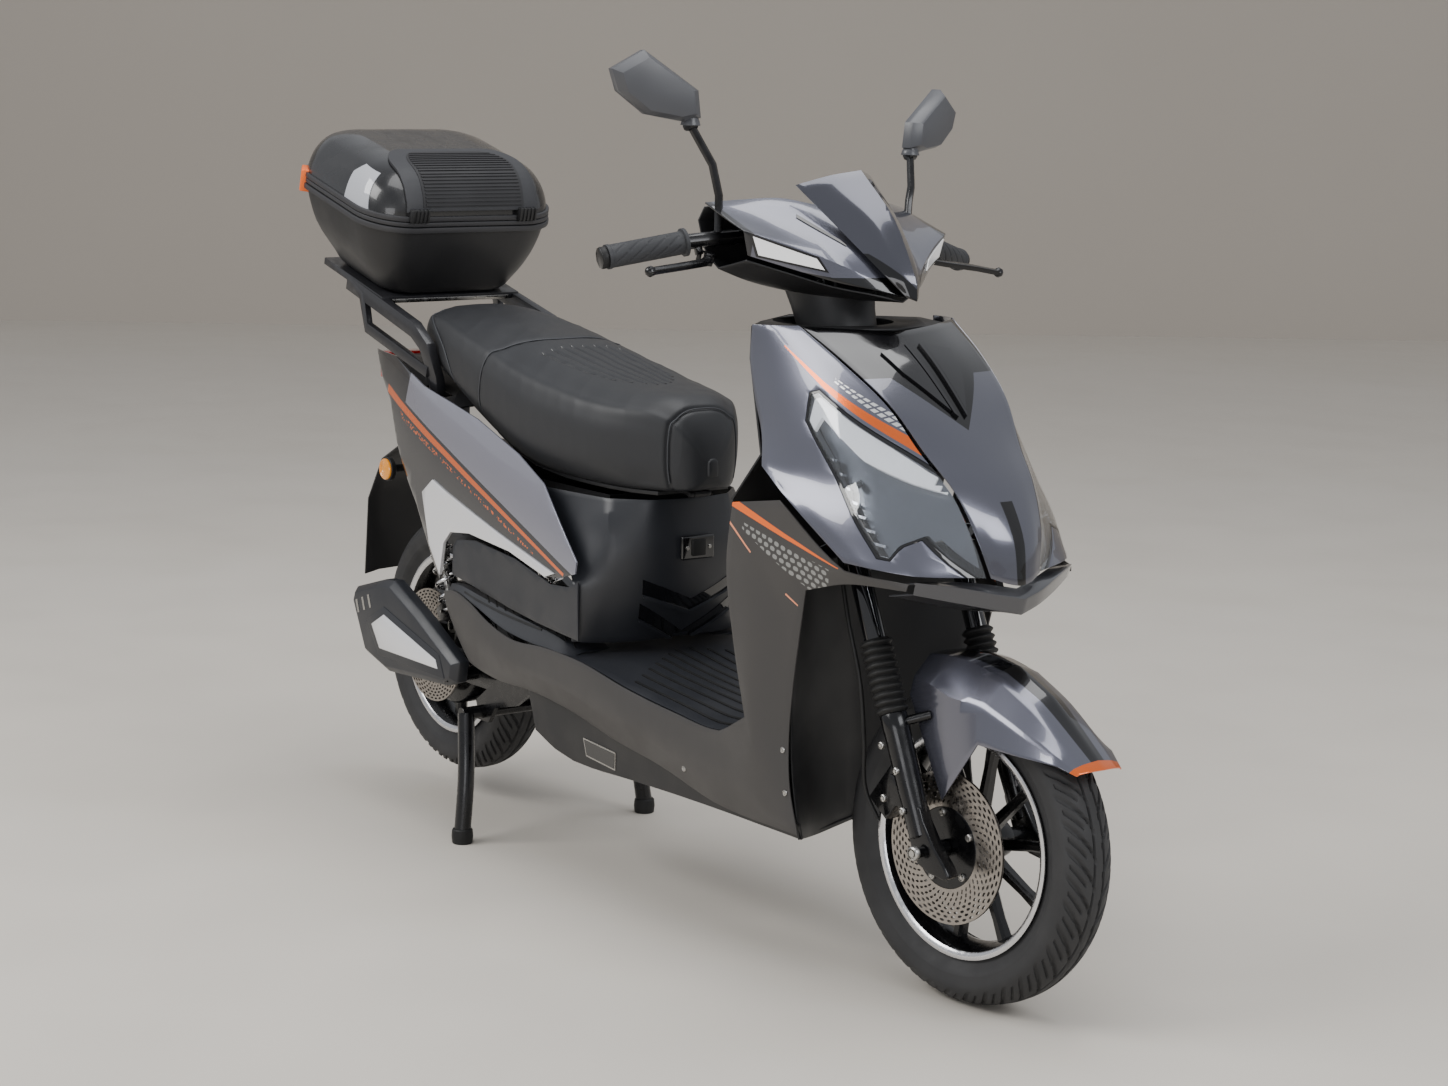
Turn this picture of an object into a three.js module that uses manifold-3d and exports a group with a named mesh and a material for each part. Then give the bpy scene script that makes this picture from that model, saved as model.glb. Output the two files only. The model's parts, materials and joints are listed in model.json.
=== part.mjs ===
// Seated electric scooter on its centre stand: x forward from the rear axle, y to the rider's left, z up
import * as THREE from 'three';
import { mergeVertices } from 'three/addons/utils/BufferGeometryUtils.js';
import Module from 'manifold-3d';

const wasm = await Module();
wasm.setup();

// Driving dimensions, in millimetres
const barReach = 1000; // rear axle to the steering axis at bar height
const barHeight = 1000; // ground to the handlebar
const halfWidth = 200; // centre line to the body's side
const rake = THREE.MathUtils.degToRad(23.6); // steering axis from the vertical
const steerRest = THREE.MathUtils.degToRad(5.5); // the bars are turned a little to the left
const forkLead = 36; // fork tubes and front axle ahead of the steering axis
const tyreRadius = 226.5; // 90/80-12
const tyreWidth = 88;
const rimRadius = 160; // over the rim's lip
const standLift = 48; // rear tyre off the ground on the stand
const wall = 2.6; // moulded panels
const seam = 1.6; // shut line between two panels
const clearance = 0.3; // between touching pieces
const overrun = 60; // cutting tools run past what they cut
const weld = 0.001; // points closer than this are one

const origin = new THREE.Vector3();
const up = new THREE.Vector3(0, 0, 1);
const along = new THREE.Vector3(0, 1, 0);
const steerAxis = new THREE.Vector3(-Math.sin(rake), 0, Math.cos(rake));
const steerFront = new THREE.Vector3(Math.cos(rake), 0, Math.sin(rake));
const frontAxleHeight = tyreRadius;
const footHeight = frontAxleHeight - forkLead * Math.sin(rake);
const footReach = barReach + (barHeight - footHeight) * Math.tan(rake);
const steerFoot = new THREE.Vector3(footReach, 0, footHeight); // beside the front axle on the steering axis
const frontAxle = steerFoot.clone().addScaledVector(steerFront, forkLead);
const rearAxle = new THREE.Vector3(0, 0, tyreRadius + standLift);

// Materials
const finish = (color, roughness, metalness = 0) => new THREE.MeshStandardMaterial({ color, roughness, metalness });
const greyPaint = finish(0x5c5d6b, 0.22, 0.5);
const silverPaint = finish(0xb9bac2, 0.3, 0.6);
const brownPlastic = finish(0x4a4644, 0.5);
const bluePlastic = finish(0x33363c, 0.5);
const blackPlastic = finish(0x141416, 0.45);
const glossBlack = finish(0x0a0a0c, 0.12);
const clearLens = finish(0xc9ced4, 0.08);
const amberLens = finish(0xf29a1c, 0.15);
const redLens = finish(0xc2221c, 0.15);
const vinyl = finish(0x2a2b30, 0.6);
const rubber = finish(0x17171a, 0.8);
const bareSteel = finish(0x9a9a98, 0.35, 0.9);
const chrome = finish(0xc8c8ca, 0.15, 1);
const blackMetal = finish(0x101012, 0.35, 0.4);
const cellCase = finish(0x2c3a4a, 0.5);

// Places: shares of reach, half width and height
const place = ([x, y, z]) => new THREE.Vector3(x * barReach, y * halfWidth, z * barHeight);
const placeRow = (row) => row.map(place);
const flat = ([x, z]) => new THREE.Vector2(x * barReach, z * barHeight);
const onSteer = (height, ahead = 0, side = 0) => steerFoot.clone()
  .addScaledVector(steerAxis, (height - footHeight) / Math.cos(rake))
  .addScaledVector(steerFront, ahead)
  .addScaledVector(along, side);

// Closed meshes as solids, for joins and cuts
function solidOf(geometry) {
  const loose = geometry.index ? geometry.toNonIndexed() : geometry;
  const bare = new THREE.BufferGeometry();
  bare.setAttribute('position', loose.getAttribute('position').clone());
  const merged = mergeVertices(bare, weld);
  const order = merged.index.array;
  const kept = [];
  for (let i = 0; i < order.length; i += 3) {
    const [a, b, c] = [order[i], order[i + 1], order[i + 2]];
    if (a !== b && b !== c && c !== a) kept.push(a, b, c);
  }
  const vertProperties = new Float32Array(merged.getAttribute('position').array);
  return new wasm.Manifold(new wasm.Mesh({ numProp: 3, vertProperties, triVerts: new Uint32Array(kept) }));
}

function geometryOf(solid) {
  const mesh = solid.getMesh();
  const points = new Float32Array(mesh.numVert * 3);
  for (let i = 0; i < mesh.numVert; i++) {
    for (let k = 0; k < 3; k++) points[i * 3 + k] = mesh.vertProperties[i * mesh.numProp + k];
  }
  const geometry = new THREE.BufferGeometry();
  geometry.setAttribute('position', new THREE.BufferAttribute(points, 3));
  geometry.setIndex([...mesh.triVerts]);
  return geometry;
}

const join = (...parts) => geometryOf(parts.map(solidOf).reduce((sum, part) => sum.add(part)));
const meet = (a, b) => geometryOf(solidOf(a).intersect(solidOf(b)));
function cut(body, ...tools) {
  return geometryOf(tools.map(solidOf).reduce((rest, tool) => rest.subtract(tool), solidOf(body)));
}

// What is left of a body once loose offcuts are dropped
function largest(geometry) {
  const parts = solidOf(geometry).decompose();
  const volume = (part) => part.volume();
  return geometryOf(parts.reduce((best, part) => (volume(part) > volume(best) ? part : best)));
}

// Plain shapes
function closedMesh(points, faces) {
  const geometry = new THREE.BufferGeometry();
  geometry.setAttribute('position', new THREE.Float32BufferAttribute(points.flatMap((p) => p.toArray()), 3));
  let volume = 0;
  for (let i = 0; i < faces.length; i += 3) {
    const [a, b, c] = [points[faces[i]], points[faces[i + 1]], points[faces[i + 2]]];
    volume += a.dot(b.clone().cross(c));
  }
  geometry.setIndex(volume < 0 ? faces.reverse() : faces);
  return geometry;
}

function box(low, high) {
  const size = high.clone().sub(low);
  const middle = low.clone().add(high).divideScalar(2);
  return new THREE.BoxGeometry(size.x, size.y, size.z).translate(middle.x, middle.y, middle.z);
}

function rod(from, to, radius, sides = 8) {
  const length = from.distanceTo(to);
  const turn = new THREE.Quaternion().setFromUnitVectors(along, to.clone().sub(from).normalize());
  const middle = from.clone().add(to).divideScalar(2);
  return new THREE.CylinderGeometry(radius, radius, length, sides)
    .applyQuaternion(turn).translate(middle.x, middle.y, middle.z);
}

function disc(centre, radius, thickness, sides = 24) {
  const half = along.clone().multiplyScalar(thickness / 2);
  return rod(centre.clone().sub(half), centre.clone().add(half), radius, sides);
}

// A tube through points, mitred at its corners
function pipe(points, radius, sides = 8) {
  const ways = points.slice(1).map((p, i) => p.clone().sub(points[i]).normalize());
  const spoke = ways[0].clone().cross(Math.abs(ways[0].y) < 0.9 ? along : up).normalize().multiplyScalar(radius);
  return loft(points.map((point, i) => {
    const before = ways[Math.max(i - 1, 0)];
    const after = ways[Math.min(i, ways.length - 1)];
    const mitre = before.clone().add(after).normalize();
    if (i > 1) spoke.applyQuaternion(new THREE.Quaternion().setFromUnitVectors(ways[i - 2], before));
    return Array.from({ length: sides }, (_, k) => {
      const arm = spoke.clone().applyAxisAngle(before, (k / sides) * Math.PI * 2);
      return point.clone().add(arm).addScaledVector(before, -arm.dot(mitre) / before.dot(mitre));
    });
  }));
}

// A round cutter that leaves its rod free to turn in the hole
const boreFor = (from, to, radius, sides = 8, gap = clearance) => (
  rod(from, to, (radius + gap) / Math.cos(Math.PI / sides), sides)
);

// A side view outline, extruded across the scooter between two widths
function prism(outline, from, to) {
  const shape = new THREE.Shape(outline);
  return new THREE.ExtrudeGeometry(shape, { depth: to - from, bevelEnabled: false })
    .rotateX(Math.PI / 2).translate(0, to, 0);
}

// An outline moved outwards by a distance
function grown(outline, distance) {
  const turning = THREE.ShapeUtils.area(outline) > 0 ? 1 : -1;
  return outline.map((point, i) => {
    const before = outline[(i + outline.length - 1) % outline.length];
    const after = outline[(i + 1) % outline.length];
    const first = point.clone().sub(before).normalize();
    const second = after.clone().sub(point).normalize();
    const side = new THREE.Vector2(first.y + second.y, -first.x - second.x).normalize();
    const stretch = Math.max(side.dot(new THREE.Vector2(first.y, -first.x)), 0.5);
    return point.clone().addScaledVector(side, (turning * distance) / stretch);
  });
}

// A panel between two offsets of a grid of points, measured outwards from the core
function sheet(rows, low, high, core) {
  const [m, n] = [rows.length, rows[0].length];
  const normals = rows.map((row, i) => row.map((point, j) => {
    const down = rows[Math.min(i + 1, m - 1)][j].clone().sub(rows[Math.max(i - 1, 0)][j]);
    const across = row[Math.min(j + 1, n - 1)].clone().sub(row[Math.max(j - 1, 0)]);
    return down.cross(across).normalize();
  }));
  let facing = 0;
  rows.forEach((row, i) => row.forEach((point, j) => {
    facing += normals[i][j].dot(point.clone().sub(core).normalize());
  }));
  const sign = Math.sign(facing);
  const shifted = (offset) => rows.flatMap((row, i) => row.map((point, j) => (
    point.clone().addScaledVector(normals[i][j], sign * offset)
  )));
  const points = [...shifted(high), ...shifted(low)];
  const faces = [];
  const quad = (a, b, c, d) => faces.push(a, b, c, a, c, d);
  const back = m * n;
  for (let i = 0; i + 1 < m; i++) {
    for (let j = 0; j + 1 < n; j++) {
      const a = i * n + j;
      quad(a, a + n, a + n + 1, a + 1);
      quad(back + a, back + a + 1, back + a + n + 1, back + a + n);
    }
  }
  for (let j = 0; j + 1 < n; j++) {
    const last = (m - 1) * n + j;
    quad(j, j + 1, back + j + 1, back + j);
    quad(last + 1, last, back + last, back + last + 1);
  }
  for (let i = 0; i + 1 < m; i++) {
    const left = i * n;
    const right = left + n - 1;
    quad(left + n, left, back + left, back + left + n);
    quad(right, right + n, back + right + n, back + right);
  }
  return closedMesh(points, faces);
}

// A closed body through rings of points, capped at both ends
function loft(rings) {
  const n = rings[0].length;
  const middle = (ring) => ring.reduce((sum, p) => sum.add(p), new THREE.Vector3()).divideScalar(n);
  const points = [...rings.flat(), middle(rings[0]), middle(rings[rings.length - 1])];
  const faces = [];
  const firstCap = rings.length * n;
  for (let j = 0; j < n; j++) {
    const k = (j + 1) % n;
    for (let i = 0; i + 1 < rings.length; i++) {
      const [a, b] = [i * n, (i + 1) * n];
      faces.push(a + j, a + k, b + k, a + j, b + k, b + j);
    }
    const last = (rings.length - 1) * n;
    faces.push(firstCap, k, j, firstCap + 1, last + j, last + k);
  }
  return closedMesh(points, faces);
}

function mirrored(geometry) {
  const copy = geometryOf(solidOf(geometry)).scale(1, -1, 1);
  const order = [...copy.index.array];
  copy.setIndex(order.reverse());
  return copy;
}

// Both halves of a row given from the middle outwards, the right side first
function bothSides(row) {
  const left = row.map((p) => new THREE.Vector3(p.x, Math.abs(p.y), p.z));
  const right = left.slice(1).map((p) => new THREE.Vector3(p.x, -p.y, p.z)).reverse();
  return [...right, ...left];
}

const toRight = (p) => new THREE.Vector3(p.x, -Math.abs(p.y), p.z);
const rightRows = (table) => table.map((row) => placeRow(row).map(toRight));
const wholeRows = (table) => table.map((row) => bothSides(placeRow(row)));
const bodyCore = place([0.55, 0, 0.5]);
const panel = (rows, core = bodyCore) => sheet(rows, -wall, 0, core);
const clearOf = (rows, core = bodyCore) => sheet(rows, -wall - clearance, overrun, core);

// The object: one group, with the steered pieces in a group of their own
const group = new THREE.Group();
const steered = new THREE.Group();
const steerTurn = new THREE.Quaternion().setFromAxisAngle(steerAxis, steerRest);
steered.quaternion.copy(steerTurn);
steered.position.copy(steerFoot).sub(steerFoot.clone().applyQuaternion(steerTurn));
group.add(steered);

function piece(name, geometry, material, holder = group) {
  const mesh = new THREE.Mesh(geometry, material);
  mesh.name = name;
  holder.add(mesh);
  return mesh;
}

function pair(name, geometry, material, holder = group) {
  piece(`${name}_right`, geometry, material, holder);
  piece(`${name}_left`, geometry, material, holder).scale.set(1, -1, 1);
}

// Tail: the side surface swells forwards, and leans in above a crest line
const tailStationShares = [-0.15, -0.1, -0.05, 0, 0.1, 0.2, 0.3, 0.4, 0.5, 0.6, 0.66];
const tailWidthShares = [0.5, 0.57, 0.62, 0.665, 0.73, 0.775, 0.815, 0.85, 0.885, 0.92, 0.935];
const tailCrestShares = [0.765, 0.483];
const tailDropShares = [[-0.26, 0], [-0.1, 0], [0, 0], [0.045, 0.012], [0.13, 0.055]];
function tailRows(inset = 0) {
  const first = tailStationShares[0];
  const span = tailStationShares[tailStationShares.length - 1] - first;
  return tailDropShares.map(([rise, lean]) => tailStationShares.map((x, i) => {
    const crest = THREE.MathUtils.lerp(tailCrestShares[0], tailCrestShares[1], (x - first) / span);
    const point = place([x, -(tailWidthShares[i] - lean), crest + rise]);
    point.y += inset;
    return point;
  }));
}

const tailOutlineShares = [
  [-0.135, 0.788], [-0.097, 0.744], [-0.051, 0.706], [-0.021, 0.639], [0.01, 0.597], [0.07, 0.54],
  [0.12, 0.476], [0.148, 0.44], [0.166, 0.424], [0.172, 0.44], [0.186, 0.49], [0.212, 0.512],
  [0.282, 0.52], [0.424, 0.512], [0.545, 0.49], [0.59, 0.495], [0.636, 0.508], [0.638, 0.528],
  [0.521, 0.635], [0.433, 0.672], [0.293, 0.712], [0.205, 0.728], [0.096, 0.746], [-0.03, 0.785],
];
const wingOutlineShares = [
  [0.1, 0.566], [0.143, 0.593], [0.2, 0.578], [0.384, 0.538], [0.575, 0.5], [0.545, 0.49],
  [0.424, 0.512], [0.282, 0.52], [0.212, 0.512], [0.186, 0.49], [0.17, 0.432], [0.128, 0.48],
];
const sideOutlineShares = [
  [0.198, 0.438], [0.2, 0.486], [0.216, 0.5], [0.284, 0.508], [0.424, 0.5], [0.545, 0.478],
  [0.6, 0.482], [0.632, 0.494], [0.634, 0.402], [0.5, 0.408], [0.4, 0.416], [0.3, 0.428],
];
const wingProud = 3;
const sideInset = 8;
const tailOutline = tailOutlineShares.map(flat);
const wingOutline = wingOutlineShares.map(flat);

function makeTail() {
  const across = [-halfWidth - overrun, 0];
  const tailSheet = sheet(tailRows(), -wall, 0, bodyCore);
  const whole = meet(tailSheet, prism(grown(tailOutline, -seam / 2), ...across));
  const cover = largest(cut(whole, prism(grown(wingOutline, seam / 2), ...across)));
  const wingSheet = sheet(tailRows(), -wall, wingProud, bodyCore);
  const wing = largest(meet(wingSheet, prism(grown(wingOutline, -seam / 2), ...across)));
  pair('tail_cover', cover, greyPaint);
  pair('tail_wing', wing, silverPaint);
}

// Body panel under the seat, with its sides below the tail covers
const underSeatShares = [
  [[0.655, 0, 0.396], [0.65, 0.4, 0.394], [0.632, 0.64, 0.394], [0.622, 0.8, 0.396], [0.614, 0.885, 0.398]],
  [[0.686, 0, 0.46], [0.676, 0.38, 0.46], [0.648, 0.66, 0.46], [0.632, 0.8, 0.46], [0.618, 0.885, 0.46]],
  [[0.694, 0, 0.5], [0.684, 0.375, 0.5], [0.654, 0.67, 0.498], [0.632, 0.8, 0.492], [0.618, 0.885, 0.488]],
  [[0.697, 0, 0.545], [0.688, 0.375, 0.545], [0.654, 0.67, 0.54], [0.618, 0.77, 0.53], [0.58, 0.82, 0.52]],
  [[0.692, 0, 0.59], [0.683, 0.375, 0.59], [0.645, 0.65, 0.585], [0.575, 0.72, 0.58], [0.5, 0.76, 0.575]],
  [[0.69, 0, 0.622], [0.68, 0.36, 0.622], [0.63, 0.6, 0.622], [0.54, 0.66, 0.622], [0.45, 0.7, 0.622]],
];
const portHeightShare = 0.545;
const portSize = { wide: 62, high: 38, deep: 7, hole: 40 };
const underSeatRows = wholeRows(underSeatShares);

function makeBodyPanel() {
  const across = [-halfWidth - overrun, 0];
  const sideSheet = sheet(tailRows(sideInset), -wall, 0, bodyCore);
  const side = largest(meet(sideSheet, prism(sideOutlineShares.map(flat), ...across)));
  const front = panel(underSeatRows);
  const portFace = place([underSeatShares[3][0][0], 0, portHeightShare]);
  const halfHole = portSize.hole / 2;
  const holeBox = box(
    new THREE.Vector3(portFace.x - overrun, -halfHole, portFace.z - halfHole / 2),
    new THREE.Vector3(portFace.x + overrun, halfHole, portFace.z + halfHole / 2),
  );
  piece('body_panel', cut(join(front, side, mirrored(side)), holeBox), bluePlastic);
  const capLow = new THREE.Vector3(portFace.x + clearance, -portSize.wide / 2, portFace.z - portSize.high / 2);
  const capHigh = new THREE.Vector3(capLow.x + portSize.deep, portSize.wide / 2, portFace.z + portSize.high / 2);
  piece('charge_port_cap', box(capLow, capHigh), blackPlastic);
}

// Leg shield and sill, one panel a side: front or lower edge, swell, rear or upper edge
const sillShares = [
  [[1.392, 0.75, 0.598], [1.393, 0.745, 0.603], [1.394, 0.735, 0.608]],
  [[1.3, 0.88, 0.596], [1.301, 0.905, 0.606], [1.303, 0.93, 0.616]],
  [[1.215, 0.91, 0.575], [1.2, 0.98, 0.625], [1.18, 1.02, 0.698]],
  [[1.197, 0.89, 0.506], [1.132, 1, 0.6], [1.076, 1.04, 0.682]],
  [[1.178, 0.87, 0.42], [1.118, 0.985, 0.5], [1.058, 1.02, 0.596]],
  [[1.168, 0.855, 0.349], [1.112, 0.965, 0.41], [1.07, 0.99, 0.476]],
  [[1.17, 0.845, 0.28], [1.11, 0.95, 0.33], [1.088, 0.95, 0.372]],
  [[1.186, 0.83, 0.216], [1.06, 0.93, 0.285], [1.02, 0.925, 0.338]],
  [[0.99, 0.85, 0.222], [0.96, 0.935, 0.275], [0.9, 0.92, 0.342]],
  [[0.853, 0.85, 0.247], [0.83, 0.94, 0.295], [0.774, 0.92, 0.354]],
  [[0.728, 0.85, 0.262], [0.71, 0.94, 0.31], [0.646, 0.92, 0.373]],
  [[0.6, 0.85, 0.284], [0.59, 0.93, 0.325], [0.54, 0.91, 0.376]],
  [[0.48, 0.85, 0.294], [0.47, 0.92, 0.33], [0.435, 0.9, 0.372]],
  [[0.38, 0.84, 0.292], [0.37, 0.9, 0.34], [0.36, 0.88, 0.386]],
  [[0.283, 0.825, 0.305], [0.29, 0.87, 0.36], [0.29, 0.86, 0.409]],
  [[0.24, 0.82, 0.345], [0.245, 0.85, 0.375], [0.236, 0.84, 0.418]],
  [[0.212, 0.82, 0.38], [0.206, 0.83, 0.395], [0.2, 0.825, 0.412]],
];
const sillRows = rightRows(sillShares);

// Inner leg shield, from the middle outwards, with the plate round the neck on top
const innerShares = [
  [[1.05, 0, 0.372], [1.062, 0.55, 0.372], [1.076, 0.89, 0.374]],
  [[1.044, 0, 0.476], [1.048, 0.58, 0.476], [1.058, 0.93, 0.476]],
  [[1.03, 0, 0.6], [1.038, 0.6, 0.6], [1.044, 0.95, 0.6]],
  [[1.012, 0, 0.684], [1.035, 0.6, 0.684], [1.058, 0.98, 0.684]],
  [[0.995, 0, 0.75], [1.04, 0.56, 0.75], [1.094, 0.87, 0.75]],
  [[0.975, 0, 0.825], [1.02, 0.52, 0.825], [1.064, 0.82, 0.825]],
  [[0.95, 0, 0.88], [1.002, 0.5, 0.88], [1.044, 0.79, 0.88]],
  [[0.925, 0, 0.926], [0.99, 0.5, 0.926], [1.044, 0.78, 0.926]],
];
const innerRows = wholeRows(innerShares);
const capOutlineShares = [[0.924, 0], [0.989, 0.49], [1.045, 0.77], [1.126, 0.64], [1.16, 0.35], [1.178, 0]];
const neckHoleRadius = 88;
const innerCore = place([1.25, 0, 0.6]);

function makeInnerShield() {
  const half = capOutlineShares.map(([x, y]) => new THREE.Vector2(x * barReach, y * halfWidth));
  const otherHalf = half.slice(1, -1).reverse().map((p) => new THREE.Vector2(p.x, -p.y));
  const shape = new THREE.Shape([...half, ...otherHalf]);
  const neckCentre = onSteer(innerShares[7][0][2] * barHeight);
  const hole = new THREE.Path();
  hole.absarc(neckCentre.x, 0, neckHoleRadius, 0, Math.PI * 2, false);
  shape.holes.push(hole);
  const capTop = innerShares[7][0][2] * barHeight;
  const cap = new THREE.ExtrudeGeometry(shape, { depth: wall, bevelEnabled: false, curveSegments: 24 })
    .translate(0, 0, capTop - wall);
  piece('leg_shield_inner', join(panel(innerRows, innerCore), cap), blackPlastic);
}

// Front fairing and headlight share one surface, from the rear edge to the nose panel
const fairingShares = [
  [[1.061, 0.835, 0.93], [1.085, 0.81, 0.931], [1.11, 0.76, 0.932], [1.134, 0.7, 0.933]],
  [[1.061, 0.85, 0.88], [1.115, 0.83, 0.882], [1.17, 0.75, 0.884], [1.218, 0.63, 0.886]],
  [[1.082, 0.875, 0.825], [1.15, 0.86, 0.83], [1.23, 0.74, 0.832], [1.297, 0.53, 0.83]],
  [[1.106, 0.905, 0.78], [1.18, 0.88, 0.788], [1.265, 0.75, 0.785], [1.342, 0.45, 0.776]],
  [[1.122, 0.96, 0.738], [1.2, 0.905, 0.74], [1.305, 0.74, 0.735], [1.39, 0.375, 0.728]],
  [[1.183, 1.01, 0.709], [1.25, 0.95, 0.694], [1.35, 0.75, 0.675], [1.425, 0.305, 0.662]],
  [[1.305, 0.94, 0.628], [1.35, 0.86, 0.624], [1.395, 0.69, 0.618], [1.438, 0.24, 0.614]],
];
const lampOutlineShares = [
  [1.186, 0.846], [1.2, 0.85], [1.413, 0.728], [1.455, 0.58], [1.44, 0.6], [1.384, 0.664],
  [1.372, 0.655], [1.364, 0.636], [1.348, 0.638], [1.191, 0.808],
];
const fairingRows = rightRows(fairingShares);
const fairingCore = place([1, 0, 0.75]);

function makeFairing() {
  const across = [-halfWidth - overrun, 0];
  const lampOutline = lampOutlineShares.map(flat);
  const whole = panel(fairingRows, fairingCore);
  const fairing = largest(cut(whole, prism(grown(lampOutline, seam / 2), ...across)));
  const lens = largest(meet(whole, prism(grown(lampOutline, -seam / 2), ...across)));
  pair('front_fairing', fairing, greyPaint);
  pair('headlight', lens, clearLens);
}

const noseShares = [
  [[1.186, 0, 0.924], [1.168, 0.36, 0.928], [1.137, 0.685, 0.932]],
  [[1.246, 0, 0.882], [1.238, 0.32, 0.884], [1.222, 0.61, 0.886]],
  [[1.314, 0, 0.823], [1.31, 0.27, 0.826], [1.302, 0.51, 0.83]],
  [[1.366, 0, 0.772], [1.36, 0.23, 0.774], [1.348, 0.43, 0.776]],
  [[1.412, 0, 0.722], [1.407, 0.19, 0.724], [1.396, 0.355, 0.727]],
  [[1.449, 0, 0.659], [1.444, 0.15, 0.66], [1.431, 0.285, 0.661]],
  [[1.457, 0, 0.602], [1.453, 0.11, 0.606], [1.443, 0.22, 0.614]],
];
const noseRows = wholeRows(noseShares);

// Beak below the lamps, folded from its top to its underside
const beakShares = [
  [[1.446, 0, 0.597], [1.432, 0.22, 0.605], [1.405, 0.45, 0.608], [1.37, 0.69, 0.605]],
  [[1.464, 0, 0.585], [1.455, 0.18, 0.592], [1.436, 0.4, 0.602], [1.402, 0.705, 0.611]],
  [[1.457, 0, 0.562], [1.449, 0.18, 0.57], [1.43, 0.4, 0.58], [1.396, 0.7, 0.593]],
  [[1.39, 0, 0.556], [1.385, 0.18, 0.56], [1.37, 0.4, 0.568], [1.345, 0.7, 0.583]],
];
const beakRows = wholeRows(beakShares);
const beakCore = place([1.36, 0, 0.578]);

// Under-cover: belly pan, and the liner behind the front wheel
const bellyShares = [
  [[0.452, 0, 0.262], [0.452, 0.6, 0.262], [0.452, 0.77, 0.285], [0.452, 0.79, 0.307]],
  [[0.47, 0, 0.214], [0.47, 0.6, 0.214], [0.47, 0.76, 0.225], [0.47, 0.79, 0.306]],
  [[0.53, 0, 0.193], [0.53, 0.6, 0.193], [0.53, 0.76, 0.205], [0.53, 0.79, 0.302]],
  [[0.74, 0, 0.188], [0.74, 0.6, 0.188], [0.74, 0.75, 0.2], [0.74, 0.79, 0.27]],
  [[0.86, 0, 0.192], [0.86, 0.6, 0.192], [0.86, 0.75, 0.203], [0.86, 0.79, 0.256]],
  [[1, 0, 0.196], [1, 0.6, 0.196], [1, 0.75, 0.205], [1, 0.79, 0.234]],
  [[1.07, 0, 0.198], [1.08, 0.6, 0.198], [1.09, 0.75, 0.205], [1.09, 0.79, 0.232]],
  [[1.104, 0, 0.2], [1.15, 0.6, 0.2], [1.176, 0.75, 0.205], [1.18, 0.79, 0.23]],
];
const linerShares = [
  [[1.101, 0, 0.196], [1.14, 0.5, 0.196], [1.176, 0.77, 0.206]],
  [[1.101, 0, 0.3], [1.13, 0.5, 0.3], [1.162, 0.79, 0.3]],
  [[1.103, 0, 0.4], [1.13, 0.5, 0.4], [1.162, 0.81, 0.4]],
  [[1.105, 0, 0.5], [1.126, 0.5, 0.5], [1.166, 0.82, 0.5]],
  [[1.107, 0, 0.57], [1.12, 0.5, 0.57], [1.166, 0.84, 0.568]],
];
const bellyRows = wholeRows(bellyShares);
const linerRows = wholeRows(linerShares);
const linerCore = place([0.9, 0, 0.4]);
const bellyCore = place([0.75, 0, 0.4]);

// Floorboard with its raised pillion treads
const floorShares = [
  [[1.04, 0, 0.362], [1.055, 0.5, 0.36], [1.078, 0.885, 0.356]],
  [[1, 0, 0.352], [1, 0.5, 0.35], [1.01, 0.89, 0.337]],
  [[0.9, 0, 0.352], [0.9, 0.5, 0.352], [0.9, 0.89, 0.342]],
  [[0.774, 0, 0.362], [0.774, 0.5, 0.362], [0.774, 0.89, 0.354]],
  [[0.66, 0, 0.376], [0.66, 0.5, 0.376], [0.66, 0.89, 0.37]],
  [[0.56, 0, 0.38], [0.56, 0.5, 0.38], [0.56, 0.88, 0.374]],
];
const treadShares = [
  [[0.61, 0.5, 0.378], [0.61, 0.8, 0.376], [0.61, 0.885, 0.37]],
  [[0.56, 0.5, 0.39], [0.56, 0.8, 0.39], [0.56, 0.88, 0.374]],
  [[0.49, 0.66, 0.398], [0.49, 0.79, 0.398], [0.49, 0.87, 0.374]],
  [[0.4, 0.68, 0.406], [0.4, 0.78, 0.406], [0.4, 0.86, 0.382]],
  [[0.3, 0.69, 0.418], [0.3, 0.77, 0.418], [0.3, 0.83, 0.404]],
  [[0.23, 0.7, 0.426], [0.23, 0.77, 0.426], [0.23, 0.81, 0.417]],
  [[0.205, 0.7, 0.424], [0.205, 0.76, 0.424], [0.205, 0.8, 0.412]],
];
const floorRows = wholeRows(floorShares);
const treadRows = rightRows(treadShares);
const floorCore = place([0.7, 0, 0]);

function makeShells() {
  pair('side_sill', panel(sillRows), brownPlastic);
  makeInnerShield();
  makeFairing();
  piece('nose_panel', panel(noseRows, fairingCore), glossBlack);
  piece('front_beak', panel(beakRows, beakCore), bluePlastic);
  piece('under_cover', join(panel(bellyRows, bellyCore), panel(linerRows, linerCore)), blackPlastic);
  const tread = panel(treadRows, floorCore);
  piece('floorboard', join(panel(floorRows, floorCore), tread, mirrored(tread)), bluePlastic);
  makeBodyPanel();
  makeTail();
}

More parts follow.
